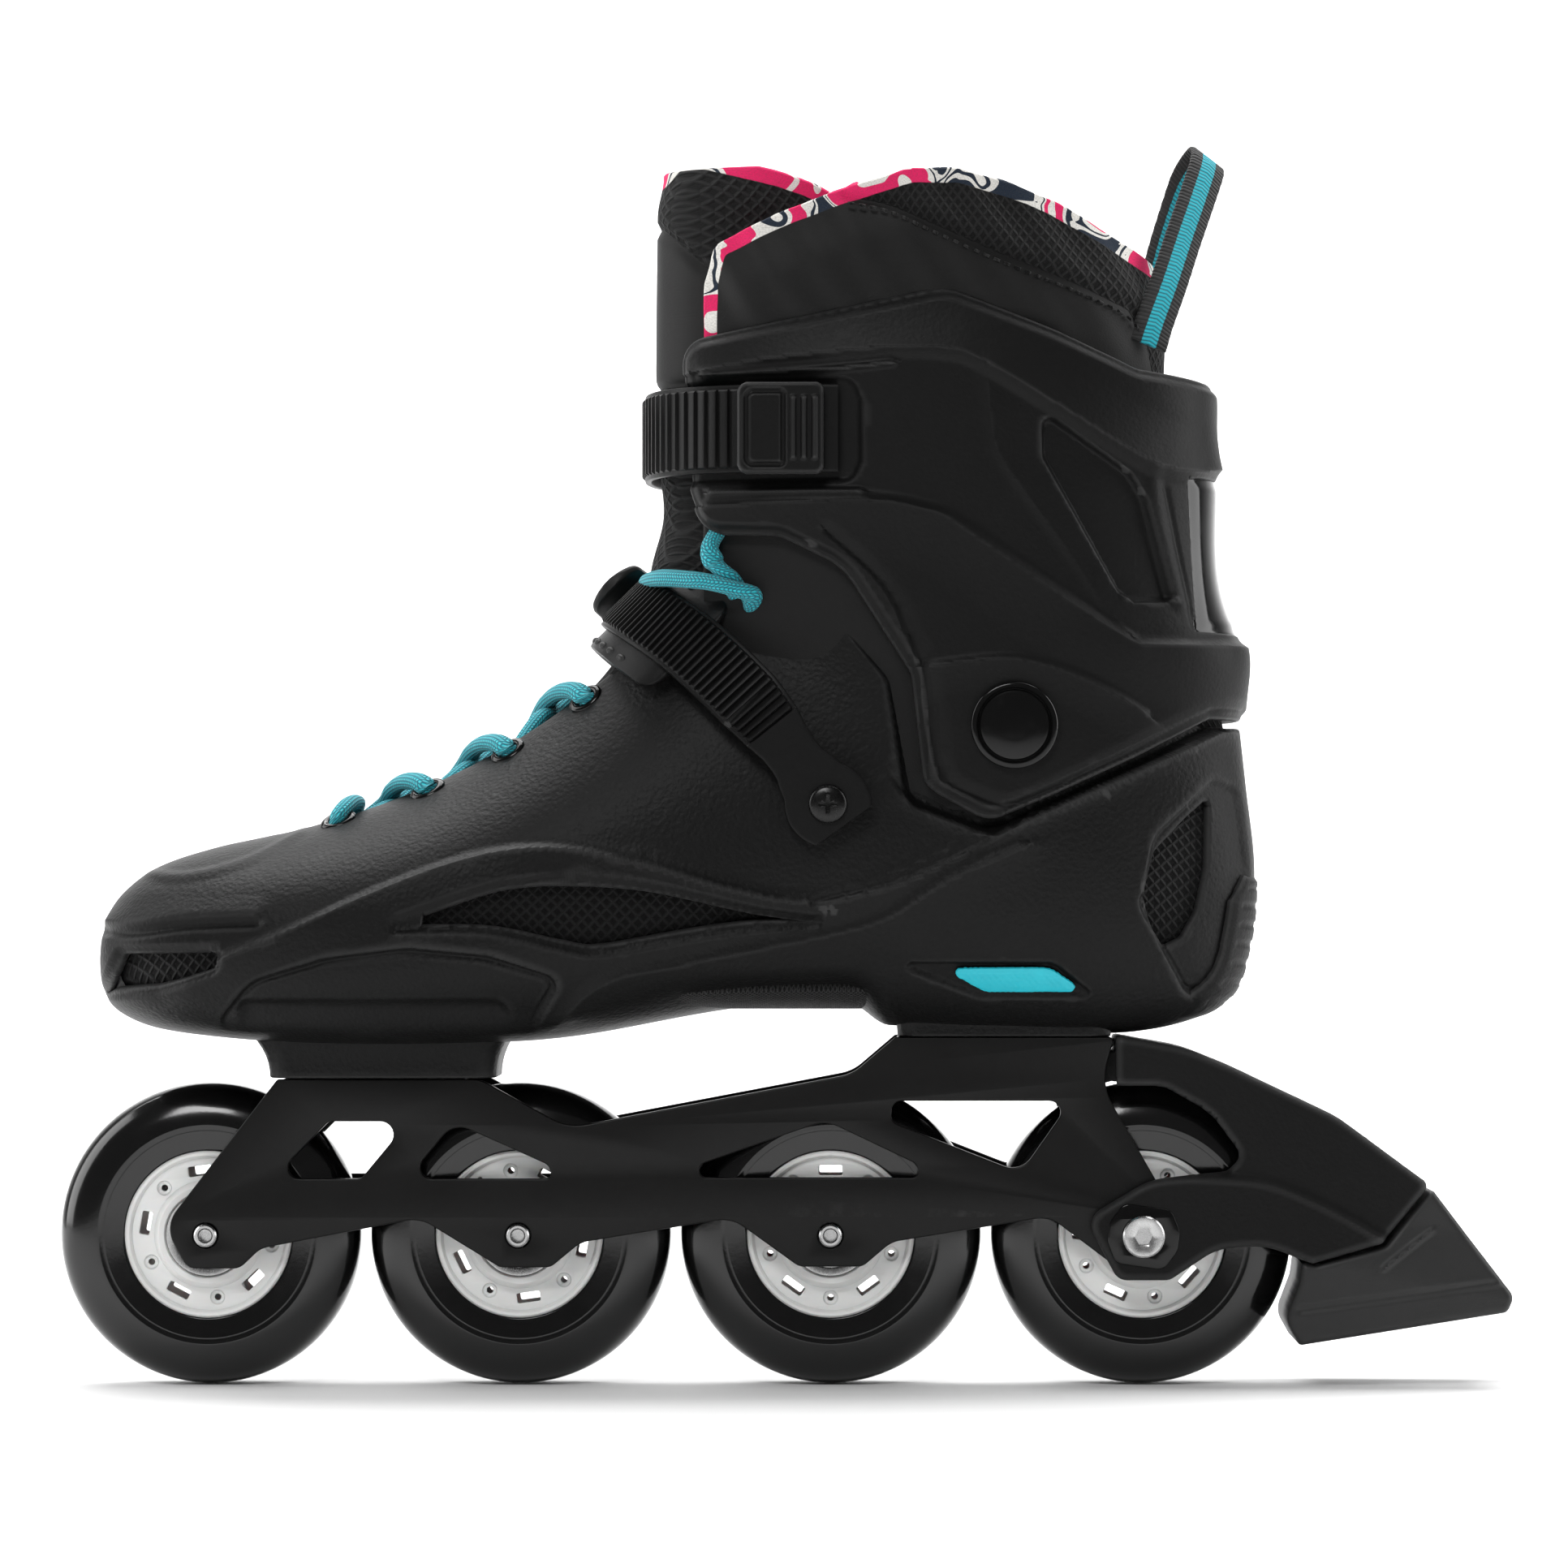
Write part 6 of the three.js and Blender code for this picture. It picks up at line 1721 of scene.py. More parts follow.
def make_tongue():
    """The tongue: one padded piece from the toes to above the collar, curved round the shin at its top."""
    path = catmull(TONGUE_PATH, 14)
    steps = np.concatenate([[0], np.cumsum(np.linalg.norm(np.diff(path, axis=0), axis=1))])
    rows = int(steps[-1] / (1.2))
    s = np.linspace(0, steps[-1], rows)
    line = np.stack([np.interp(s, steps, path[:, 0]), np.interp(s, steps, path[:, 1])], 1)
    tangent = np.gradient(line, axis=0)
    tangent /= np.linalg.norm(tangent, axis=1, keepdims=True)
    inward = np.stack([tangent[:, 1], -tangent[:, 0]], 1)
    rise = smoothstep(line[:, 1], 196, 250)
    reach = 4.0 + 43.5 * rise
    half = 19.4 + 7.2 * rise
    columns = 150
    angle = np.linspace(-1, 1, columns) * math.pi / 2
    back = reach[:, None] * (1 - np.abs(np.cos(angle)) ** 0.91)[None]
    y = half[:, None] * (np.sign(np.sin(angle)) * np.abs(np.sin(angle)) ** 0.91)[None]
    x = line[:, None, 0] + inward[:, None, 0] * back
    z = line[:, None, 1] + inward[:, None, 1] * back
    points = np.stack([x, y, z], -1).reshape(-1, 3)
    faces = grid_faces(rows, columns, False)
    normals = point_normals(points, faces.tolist())
    if normals[rows // 2 * columns + columns // 2, 0] > 0:
        faces = faces[:, ::-1]
        normals = -normals
    top = np.array([[-60, 100], [-60, 319.5], [-33.8, 320.2], [-30, 324.2], [-24, 325.2], [-14.5, 322.4], [-1.8, 319], [6.6, 316], [13, 312.5], [13, 100]], float)
    outline = rounded([[a, b, 4] for a, b in top], 5)
    depth = depth_in(points[:, [0, 2]], outline)
    depth = np.where(points[:, 2] > 240, depth, 30)
    far = np.minimum(s[:, None] * np.ones(columns), 30).ravel()
    seam = np.array([[-60, 306.6], [-33, 306.6], [-21.4, 295.3], [-8, 288], [20, 280]], float)
    above = signed_distance(points[:, [0, 2]], seam)
    below = 264 - points[:, 2]
    knit = np.maximum(above, below)
    puff = 1.5 * smoothstep(depth, 0, 10) * smoothstep(points[:, 2], 240, 270) - 1.2 * (1 - smoothstep(np.abs(knit), 0, 2.2)) * rise_at(points)
    puff += 0.9 * np.sin(points[:, 2] * 0.21) * smoothstep(points[:, 2], 262, 225) * smoothstep(points[:, 2], 190, 215)
    points = points + normals * puff[:, None]
    extra = np.column_stack([points, depth, knit])
    clipped, shell = clip(extra, faces, np.minimum(depth, far))
    solid, solid_faces = thicken(clipped, shell, 5.6, 6)
    tongue = make_object("tongue_pad", solid, solid_faces, None)
    count = len(clipped)
    edge = np.concatenate([clipped[:, 3], clipped[:, 3] - 2, np.zeros(len(solid) - 2 * count)])
    mark(tongue, "edge", np.where(solid[:, 2] > 300, edge, 50))
    mark(tongue, "seam", np.concatenate([clipped[:, 4], np.full(len(solid) - count, 5.0)]))
    mark(tongue, "cloth", np.column_stack([solid[:, 1] - solid[:, 0] * np.sign(solid[:, 1]) * 0.9, solid[:, 2], 0 * solid[:, 0]]) * 0.001)
    finish_piece(tongue, "tongue", None, "tongue_upper", "tongue_lower")
    place([-30, 0, 196]).tolist()
    place([-30, 0, 238]).tolist()
    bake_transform(tongue)


def rise_at(points):
    return smoothstep(points[:, 2], 245, 262)


def make_liner_boot():
    """The liner's lower half inside the shell, open along the tongue and at the top."""
    grid = boot_grid(2.5, 180, -4.4, last=16.9)
    count = grid.shape[1]
    points = arch(grid.reshape(-1, 3))
    top = points[:, 2] > np.interp(points[:, 0], [-140, -90, -52, -28, -10, 20], [126, 134, 154, 184, 215, 250])
    half = np.interp(points[:, 0], [-128, -120, -34, -10], [2, 18, 20, 24])
    keep = np.where(top, np.abs(points[:, 1]) - half, 40)
    taken = smoothstep(points[:, 2], 150, 235) * 4.5
    points = points - grid_normals(grid).reshape(-1, 3) * taken[:, None]
    points, faces = clip(points, grid_faces(grid.shape[0], count)[:, ::-1], keep)
    points, faces = thicken(points, faces, 4.0, 4)
    liner = make_object("liner_boot", points, faces, None)
    mark(liner, "cloth", np.column_stack([points[:, 0], points[:, 2] + points[:, 1] * 0.5, 0 * points[:, 0]]) * 0.001)
    # The liner takes the dark vent mesh, whose tone is partly painted shade inside the shell.
    finish_piece(liner, "vent_mesh_painted_shade", "skate", "liner_lower")


def make_footbed():
    xs = np.linspace(-164, 110, 120)
    rows = []
    for x in xs:
        section = BOOT_SAMPLES[(np.abs(BOOT_SAMPLES[:, 0] - x) < 3) & (np.abs(BOOT_SAMPLES[:, 2] - 104) < 6)]
        half = max(np.abs(section[:, 1]).max() - 9.5, 4) if len(section) else 6
        t = np.linspace(-1, 1, 41)
        cup = 3.6 * np.abs(t) ** 5 + 1.0 * smoothstep(x, -60, 10) * (1 - smoothstep(x, 20, 70)) * np.maximum(-t, 0)
        rows.append(np.stack([np.full(41, x), t * half, 103.0 + cup], 1))
    points = np.array(rows).reshape(-1, 3)
    faces = grid_faces(len(xs), 41, False)
    points, faces = thicken(points, faces.tolist(), 3.5, 3)
    if point_normals(points, faces)[len(xs) // 2 * 41 + 20, 2] < 0:
        faces = [f[::-1] for f in faces]
    bed = make_object("footbed_pad", points, faces, None)
    tidy_mesh(bed)
    mark(bed, "cloth", positions(bed) * 0.001)
    finish_piece(bed, "footbed", "skate", "footbed")


# ---------------------------------------------------------------- straps
class StrapLine:
    """A strap's centre line; s is how far along it a place lies, in millimetres."""

    def __init__(self, points, middle):
        self.points = catmull(points, 16)
        steps = np.linalg.norm(np.diff(self.points, axis=0), axis=1)
        self.steps = np.concatenate([[0], np.cumsum(steps)])
        self.length = self.steps[-1]
        self.middle = np.array(middle, float)

    def at(self, s):
        """The points, forward directions and outward directions at s, which may run past the ends."""
        s = np.atleast_1d(np.asarray(s, float))
        inner = np.clip(s, 0.5, self.length - 0.5)
        look = lambda t: np.stack([np.interp(t, self.steps, self.points[:, k]) for k in range(3)], 1)
        forward = look(inner + 0.5) - look(inner - 0.5)
        forward /= np.linalg.norm(forward, axis=1, keepdims=True)
        place_now = look(inner) + forward * (s - inner)[:, None]
        out = place_now - self.middle
        out -= forward * np.einsum("ij,ij->i", out, forward)[:, None]
        out /= np.linalg.norm(out, axis=1, keepdims=True)
        return place_now, forward, out


CUFF_STRAP = StrapLine([
    [14, -46, 250.6], [0, -45.8, 250.6], [-12, -43.6, 250.6], [-22.4, -38.8, 250.6], [-30.6, -30.4, 250.6],
    [-35.8, -17, 250.6], [-37.4, 0, 250.6], [-35.8, 17, 250.6], [-30.6, 30.4, 250.6], [-22.4, 39.2, 250.6],
    [-12, 44.4, 250.6], [0, 46.6, 250.6], [14, 46.9, 250.6], [46, 46.9, 250.6],
], (20, 0, 250.6))
INSTEP_STRAP = StrapLine([
    [10.9, -48.7, 153.3], [-2.8, -48.4, 172.3], [-13.4, -45.4, 184.1], [-25.1, -38.2, 194.9], [-35.6, -27.6, 202.6],
    [-41.2, -14.6, 206.6], [-43, 0, 207.8], [-41.2, 14.6, 206.6], [-35.6, 27.6, 202.6], [-25.1, 38.2, 194.9],
    [-13.4, 45.4, 184.1], [-2.8, 48.4, 172.3], [10.9, 48.7, 153.3],
], (4, 0, 160))
SCREW_X, SCREW_Z = 10.9, 153.3
EYE_RADIUS = 11.2
TOOTH_PITCH = 2.1


def crisp(obj, angle=32):
    obj.data.shade_smooth()
    obj.data.set_sharp_from_angle(angle=math.radians(angle))
    return obj


def bar(half, low, high, edge=0.5, aside=0.0):
    """A strap's section: a rounded rectangle of (across, out) points."""
    small = edge * 0.3
    quarter = [(half, high - edge), (half - small, high - small), (half - edge, high)]
    lower = [(half - edge, low), (half - small, low + small), (half, low + edge)]
    left = [(-a, b) for a, b in reversed(quarter)] + [(-a, b) for a, b in reversed(lower)]
    return [(a + aside, b) for a, b in lower + quarter + left]


def toothed(half, low, high, tooth, margin, edge=0.5):
    """A strap's section with a tooth raised between its two margins."""
    crown = [(half - margin, high), (half - margin - 0.5, high + tooth)]
    upper = [(half, high - edge), (half - edge * 0.3, high - edge * 0.3), (half - edge, high), *crown]
    lower = [(half - edge, low), (half - edge * 0.3, low + edge * 0.3), (half, low + edge)]
    left = [(-a, b) for a, b in reversed(upper)] + [(-a, b) for a, b in reversed(lower)]
    return lower + upper + left


def band(name, line, s, sections, lift=None, outs=None):
    at, forward, out = line.at(s)
    out = out if outs is None else outs(at, out)
    if lift is not None:
        at = at + out * np.asarray(lift)[:, None]
    return sweep(name, at, np.array(sections, float), None, outs=out)


def tooth_rows(start, end, pitch):
    """Places along a toothed stretch and how far up the tooth each one is."""
    count = int((end - start) / pitch)
    s, height = [], []
    for i in range(count):
        for phase, rise in ((0.0, 0.0), (0.1, 1.0), (0.26, 1.0), (0.96, 0.06)):
            s.append(start + (i + phase) * pitch)
            height.append(rise)
    return s, height


def eye_rows(radius, neck):
    """Places and half-widths round a strap's end, from its tip to where its neck starts."""
    angles = np.linspace(-math.pi / 2 + 0.06, math.asin(0.86), 22)
    s = np.sin(angles) * radius
    half = np.cos(angles) * radius
    blend = [(radius * 0.95, neck + 1.0), (radius * 1.12, neck + 0.25), (radius * 1.35, neck)]
    keep = half > neck + 1.2
    return [*s[keep], *(a for a, _ in blend)], [*half[keep], *(b for _, b in blend)]


def flat_near_eye(at, out):
    """Outward directions that turn square to the side of the boot near the strap's end."""
    side = np.sign(at[:, 1])
    flat = np.stack([0 * side, side, 0 * side], 1)
    gap = np.hypot(at[:, 0] - SCREW_X, at[:, 2] - SCREW_Z)
    share = smoothstep(gap, 14, 40)[:, None]
    mixed = out * share + flat * (1 - share)
    return mixed / np.linalg.norm(mixed, axis=1, keepdims=True)


def bead(line, s, aside, out, length, width, height):
    """A low rounded bead on a strap, as points and faces."""
    at, forward, outward = (v[0] for v in line.at(s))
    across = np.cross(outward, forward)
    points, faces = [], []
    rings, round_steps = 7, 16
    for i in range(rings):
        lift = math.sin(i / (rings - 1) * math.pi / 2)
        spread = math.cos(i / (rings - 1) * math.pi / 2) + 0.02
        for k in range(round_steps):
            a = k * 2 * math.pi / round_steps
            x, y = math.cos(a) * spread, math.sin(a) * spread
            points.append(
                at + forward * x * length / 2 + across * (aside + y * width / 2) + outward * (out - 0.4 + (height + 0.4) * lift)
            )
    faces = grid_faces(rings, round_steps).tolist()
    faces.append(list(range(round_steps)))
    faces.append([(rings - 1) * round_steps + k for k in reversed(range(round_steps))])
    return points, faces


def merge(name, pieces):
    """One mesh from several lists of points and faces."""
    points, faces = [], []
    for more, loops in pieces:
        base = len(points)
        points += list(more)
        faces += [[base + v for v in f] for f in loops]
    obj = make_object(name, points, faces, None)
    tidy_mesh(obj)
    return obj


def strap_screw(name, side, *replaced):
    """A domed cross-head screw on the strap's eye."""
    rings = [(4.95, 49.4), (4.95, 50.9), (4.7, 51.4), (4.1, 51.75), (3.0, 52.0), (1.9, 52.1)]
    profile = [(0, 46), (4.95, 46)] + rings + [(0, 52.15)]
    head = lathe(name, [(r, side * y) for r, y in profile], None, [SCREW_X, 0, SCREW_Z], 64)
    slots = []
    for k in range(2):
        wide, tall = (5.0, 1.1) if k == 0 else (1.1, 5.0)
        low, high = sorted((side * 51.1, side * 54))
        slots.append(box_shape("slot", SCREW_X - wide / 2, SCREW_X + wide / 2, low, high, SCREW_Z - tall / 2, SCREW_Z + tall / 2, 0.15))
    subtract(head, *slots)
    crisp(head, 30)
    finish_piece(head, "black_steel", "skate", *replaced)


def make_instep_strap():
    line = INSTEP_STRAP
    s, half = eye_rows(EYE_RADIUS, 6.9)
    start = 25.0
    plain = list(np.linspace(s[-1] + 1.5, start - 0.5, 8))
    widths = list(np.interp(plain, [15, 19, 25], [6.9, 7.1, 8.3]))
    rows, teeth = tooth_rows(start, line.length * 0.84 - 1, TOOTH_PITCH)
    s = [*s, *plain, *rows]
    half = [*half, *widths, *np.interp(rows, [25, 34, 300], [8.3, 9.2, 9.2])]
    tooth = [0] * (len(s) - len(rows)) + [t * 1.05 for t in teeth]
    sections = [toothed(h, -1.2, 0.75 if k >= len(s) - len(rows) else 1.25, t, min(1.0, h * 0.3), min(0.5, h * 0.2))
                for k, (h, t) in enumerate(zip(half, tooth))]
    strap = band("ladder_strap", line, s, sections, outs=flat_near_eye)
    strap.name = "instep_ladder_strap"
    crisp(strap)
    finish_piece(strap, "strap", "skate", "instep_ladder")
    strap_screw("ladder_screw", -1, "instep_ladder_screw")

    s, half = eye_rows(EYE_RADIUS, 7.4)
    more = list(np.linspace(s[-1] + 1.5, line.length * 0.14, 8))
    s = [*s, *more]
    half = [*half, *np.interp(more, [15, 22], [7.4, 8.6])]
    sections = [bar(h, -1.2, 1.25, min(0.5, h * 0.2)) for h in half]
    strap = band("buckle_strap", line, line.length - np.array(s), sections, outs=flat_near_eye)
    strap.name = "instep_buckle_band"
    crisp(strap)
    finish_piece(strap, "strap", "skate", "instep_buckle_strap")
    strap_screw("buckle_screw", 1, "instep_buckle_screw")

    start, end = line.length * 0.275, line.length * 0.665
    s = np.linspace(start, end, 90)
    into = np.minimum(s - start, end - s)
    half = 15.8 - 6.5 * (1 - np.sqrt(np.clip(1 - (1 - np.clip(into / 6, 0, 1)) ** 2, 0, 1)))
    half += 0.5 * np.cos((s - start) / (end - start) * 2 * math.pi)
    sections = [bar(h, -0.9, 0.9, 0.75) for h in half]
    saddle = band("saddle", line, s, sections, lift=np.full(len(s), -2.3))
    beads = []
    for k in range(9):
        for side in (-1, 1):
            beads.append(bead(line, start + 16 + k * 6.2, side * 13.2, -1.5, 4.0, 2.3, 0.8))
    saddle = join("instep_saddle_plate", saddle, merge("beads", beads))
    crisp(saddle, 40)
    finish_piece(saddle, "strap", "skate", "instep_saddle")


def make_cuff_strap():
    line = CUFF_STRAP
    plain = list(np.linspace(0.5, 15.5, 8))
    rows, teeth = tooth_rows(16, line.length * 0.84 - 1, 3.2)
    s = [*plain, *rows]
    tooth = [0] * len(plain) + [t * 0.8 for t in teeth]
    sections = [toothed(11.4, -1.1, 0.7, t, 1.1) for t in tooth]
    strap = band("cuff_ladder_strap", line, s, sections)
    crisp(strap)
    finish_piece(strap, "strap", "cuff", "cuff_ladder")


def side_plate(name, outline, inner, outer, edge, side, step=0.5, relief=None):
    """A plate on one side whose outer face lies at outer(x, z), rounded off by edge, with relief on it."""
    low, high = outline.min(0) - step, outline.max(0) + step
    xs, zs = np.arange(low[0], high[0] + step, step), np.arange(low[1], high[1] + step, step)
    xx, zz = np.meshgrid(xs, zs, indexing="ij")
    places = np.stack([xx.ravel(), zz.ravel()], 1)
    depth = depth_in(places, outline)
    flat = np.column_stack([places[:, 0], np.zeros(len(places)), places[:, 1]])
    points, faces = clip(flat, grid_faces(len(xs), len(zs), False), depth)
    places = points[:, [0, 2]]
    depth = np.clip(depth_in(places, outline), 0, edge)
    fall = edge - np.sqrt(np.clip(edge**2 - (edge - depth) ** 2, 0, None))
    face = outer(places) - fall + (relief(places) if relief else 0)
    count = len(points)
    border = rim_edges(faces)
    front, back = points.copy(), points.copy()
    front[:, 1] = side * face
    back[:, 1] = side * inner(places)
    every = [f if side < 0 else f[::-1] for f in faces] + [[v + count for v in (f[::-1] if side < 0 else f)] for f in faces]
    every += [[a, b, b + count, a + count] for a, b in border]
    obj = make_object(name, np.vstack([front, back]), every, None)
    tidy_mesh(obj)
    return crisp(obj, 35)


def rim_edges(faces):
    """The edges that only one face uses."""
    seen = {}
    for face in faces:
        for a, b in zip(face, face[1:] + face[:1]):
            seen[(a, b)] = True
    return [edge for edge in seen if (edge[1], edge[0]) not in seen]


def make_release_tab():
    outline = rounded([[-12.6, 238.6, 3], [9.8, 238.6, 2.2], [9.8, 262.4, 2.2], [-12.6, 262.4, 3]], 8)
    frame_line = rounded([[-10.2, 241, 2], [-0.6, 241, 1], [-0.6, 260, 1], [-10.2, 260, 2]], 6)

    def relief(p):
        groove = -0.55 * (1 - smoothstep(distance(p, frame_line, True), 0.3, 0.9))
        bars = sum(
            0.75 * (1 - smoothstep(np.abs(p[:, 0] - x), 0.35, 0.95)) * (1 - smoothstep(np.abs(p[:, 1] - 250.5), 7.6, 8.6))
            for x in (1.9, 4.7, 7.5)
        )
        return groove + bars

    tab = side_plate(
        "release_tab", outline, lambda p: np.interp(p[:, 0], [-12.6, 9.8], [47.3, 48.1]),
        lambda p: np.interp(p[:, 0], [-12.6, -9.5, 9.8], [49.4, 50.0, 50.5]), 1.1, -1, 0.35, relief,
    )
    finish_piece(tab, "buckle", "release_tab", "ladder_release_tab")


def rod_across(name, line, s, lift, radius, length, segments=28):
    """A rod that crosses the strap at s, lifted off its centre line."""
    at, forward, out = (v[0] for v in line.at(s))
    across = np.cross(out, forward)
    middle = at + out * lift
    edge = min(0.35, radius * 0.3)
    stops = [(-length / 2, radius - edge), (-length / 2 + edge, radius), (length / 2 - edge, radius), (length / 2, radius - edge)]
    points = []
    for place_now, r in stops:
        for k in range(segments):
            a = k * 2 * math.pi / segments
            points.append(middle + across * place_now + r * (math.cos(a) * forward + math.sin(a) * out))
    faces = grid_faces(len(stops), segments).tolist()
    faces += [list(range(segments)), [(len(stops) - 1) * segments + k for k in reversed(range(segments))]]
    rod = make_object(name, points, faces, None)
    tidy_mesh(rod)
    return rod


def make_buckle(prefix, line, hinge, start, end, tip, width, rise, base_body, lever_body):
    hinge, start, end, tip = (v * line.length for v in (hinge, start, end, tip))
    s = np.linspace(start, end, 48)
    floor = band("floor", line, s, [bar(width / 2, -2.5, -1.5, 0.4) for _ in s])
    cheeks = []
    for side in (-1, 1):
        gap = np.abs(s - hinge) / max(end - hinge, hinge - start)
        top = 1.2 + 3.6 * (1 - smoothstep(gap, 0.1, 0.85))
        sections = [bar(0.8, -2.5, t, 0.3, side * (width / 2 - 0.8)) for t in top]
        cheeks.append(band("cheek", line, s, sections))
    guide = np.linspace(start + 0.08 * (end - start), start + 0.3 * (end - start), 10)
    bridge = band("bridge", line, guide, [bar(width / 2 - 1.4, 2.1, 3.2, 0.4) for _ in guide])
    base = join(prefix + "_buckle_frame", floor, *cheeks, bridge)
    tidy_mesh(base)
    crisp(base)
    finish_piece(base, "buckle", base_body, prefix + "_buckle_base")

    across = width - 4
    progress = np.linspace(0, 1, 70)
    s = hinge + (tip - hinge) * progress
    half = across / 2 * (1 - 0.16 * progress)
    half *= np.sqrt(np.clip(1 - np.clip((progress - 0.9) / 0.102, 0, 1) ** 2, 0.04, 1))
    lift = 3.7 + rise * progress**2 + 0.5 * np.sin(progress * math.pi)
    grip = [0.55 * (0.5 + 0.5 * math.cos((p - 0.62) * 95)) if 0.62 < p < 0.86 else 0 for p in progress]
    sections = []
    for h, g, p in zip(half, grip, progress):
        dish = -0.5 * math.sin(min(p / 0.6, 1) * math.pi)
        edge = min(1.0, h * 0.3)
        sections.append(toothed(h, -1.2, 1.2, g + dish, min(2.4, h * 0.4), edge))
    lever = band("plate", line, s, sections, lift=lift)
    knuckle = rod_across("knuckle", line, hinge, 3.4, 1.9, across)
    ratchet = []
    lever = join(prefix + "_buckle_handle", lever, knuckle)
    tidy_mesh(lever)
    crisp(lever, 38)
    finish_piece(lever, "buckle", lever_body, prefix + "_buckle_lever")
    pin = rod_across(prefix + "_buckle_rod", line, hinge, 3.4, 1.0, width + 1)
    caps = [rod_across("cap", line, hinge, 3.4, 1.7, 0.1)]
    bpy.data.objects.remove(caps[0])
    crisp(pin)
    finish_piece(pin, "steel", base_body, prefix + "_buckle_pin")


def make_pivot_caps():
    profile = [
        (0, 37.8), (5, 37.8), (5, 41.4), (7.8, 41.4), (7.8, 45.4), (11.3, 45.4), (11.3, 46.3), (11.1, 46.75), (10.6, 47.0),
        (9.9, 47.0), (9.65, 46.7), (9.35, 46.5), (9.05, 46.75), (8.8, 47.15), (8.2, 47.3), (4, 47.5), (0, 47.6),
    ]
    for side, word in ((-1, "medial"), (1, "lateral")):
        cap = lathe(f"pivot_cap_{word}", [(r, side * y) for r, y in profile], None, [PIVOT[0], 0, PIVOT[1]], 128)
        crisp(cap, 40)
        finish_piece(cap, "gloss", "cuff", f"cuff_pivot_cap_{word}")


def make_reflectors():
    for side, word in ((-1, "medial"), (1, "lateral")):
        outline = rounded(REFLECTOR, 8)
        prisms = lambda p: 0.16 * np.abs(np.sin((p[:, 0] + p[:, 1]) * 1.7)) * smoothstep(depth_in(p, outline), 0.4, 1.0)
        plate_now = patch_of_boot(f"reflector_{word}_lens", outline, 0.1, 1.2, None, side, 0.35, prisms)
        crisp(plate_now, 40)
        finish_piece(plate_now, "accent", "skate", f"reflector_{word}")


# ---------------------------------------------------------------- eyelets, lace and pull loop
EYELETS = [[-118, 148.6, 18], [-94.5, 157, 19], [-73.5, 167.8, 20], [-53, 181.4, 20], [-30.5, 197.5, 27], [-11, 208.5, 33.5]]
LOOP_LINE = StrapLine([
    [94.5, -25.2, 274], [96.4, -24, 280], [100.4, -21, 291], [104.4, -16, 303], [108.6, -10, 315], [111.4, -4, 323.6],
    [110.8, 2.6, 325.6], [106.4, 8, 319], [102.4, 11, 308], [99.4, 12.4, 297], [97.4, 13, 287], [95.4, 13.2, 279],
], (96, 4, 306))


def eyelet_frames(side):
    """Where each eyelet sits on one side, with its normal, its forward and its sideways directions."""
    frames = []
    for x, z, y in EYELETS:
        point, normal = on_boot(np.array([x, side * y, z]))
        normal = normal + [0, side * 0.35, 0]
        normal /= np.linalg.norm(normal)
        along = np.array([0.82, 0, 0.57]) - normal * (np.array([0.82, 0, 0.57]) @ normal)
        along /= np.linalg.norm(along)
        frames.append((point, normal, along, np.cross(normal, along)))
    return frames


def make_eyelets():
    for side, word in ((-1, "medial"), (1, "lateral")):
        rings = []
        for point, normal, along, sideways in eyelet_frames(side):
            points = []
            turns, parts = 40, 12
            for k in range(turns):
                a = k * 2 * math.pi / turns
                spoke = math.cos(a) * along * 1.12 + math.sin(a) * sideways * 0.9
                for m in range(parts):
                    b = m * 2 * math.pi / parts
                    points.append(point + spoke * (3.2 + 1.15 * math.cos(b)) + normal * (0.5 + 0.8 * math.sin(b)))
            faces = grid_faces(turns, parts).tolist()
            last = (turns - 1) * parts
            faces += [[last + m, m, (m + 1) % parts, last + (m + 1) % parts] for m in range(parts)]
            rings.append((points, faces))
        eyelets = merge(f"eyelets_{word}", rings)
        eyelets.data.shade_smooth()
        finish_piece(eyelets, "gloss", "skate")


def cord(points):
    """A round braided lace along points."""
    path = catmull(points, 14)
    section = [(2.85 * math.cos(a), 2.15 * math.sin(a)) for a in np.arange(18) * math.pi / 9]
    lace = sweep("lace_row", path, section, None, outs=np.tile([-0.5, 0.0, 0.86], (len(path), 1)))
    lace.data.shade_smooth()
    return lace


def crossing(start, end, sink):
    """A lace's path from the eyelet it comes out of, over the tongue, to under the flap on the other side."""
    (x, y, z), normal = start[0], start[1]
    far, far_normal = end[0], end[1]
    lifted = [
        [x - 3, y * 0.86, z + 2.4 + sink * 0.2], [x - 7, y * 0.5, z + 2.4 + sink * 0.6],
        [x - 10.6, y * 0.08, z + 0.4 + sink], [x - 13.6, -y * 0.3, z - 3.2 + sink * 0.5],
    ]
    return [start[0] - normal * 3.5, start[0] + normal * 0.9, *lifted, far * [1, 0.72, 1] - [0, 0, 2.6], far - far_normal * 4.5]


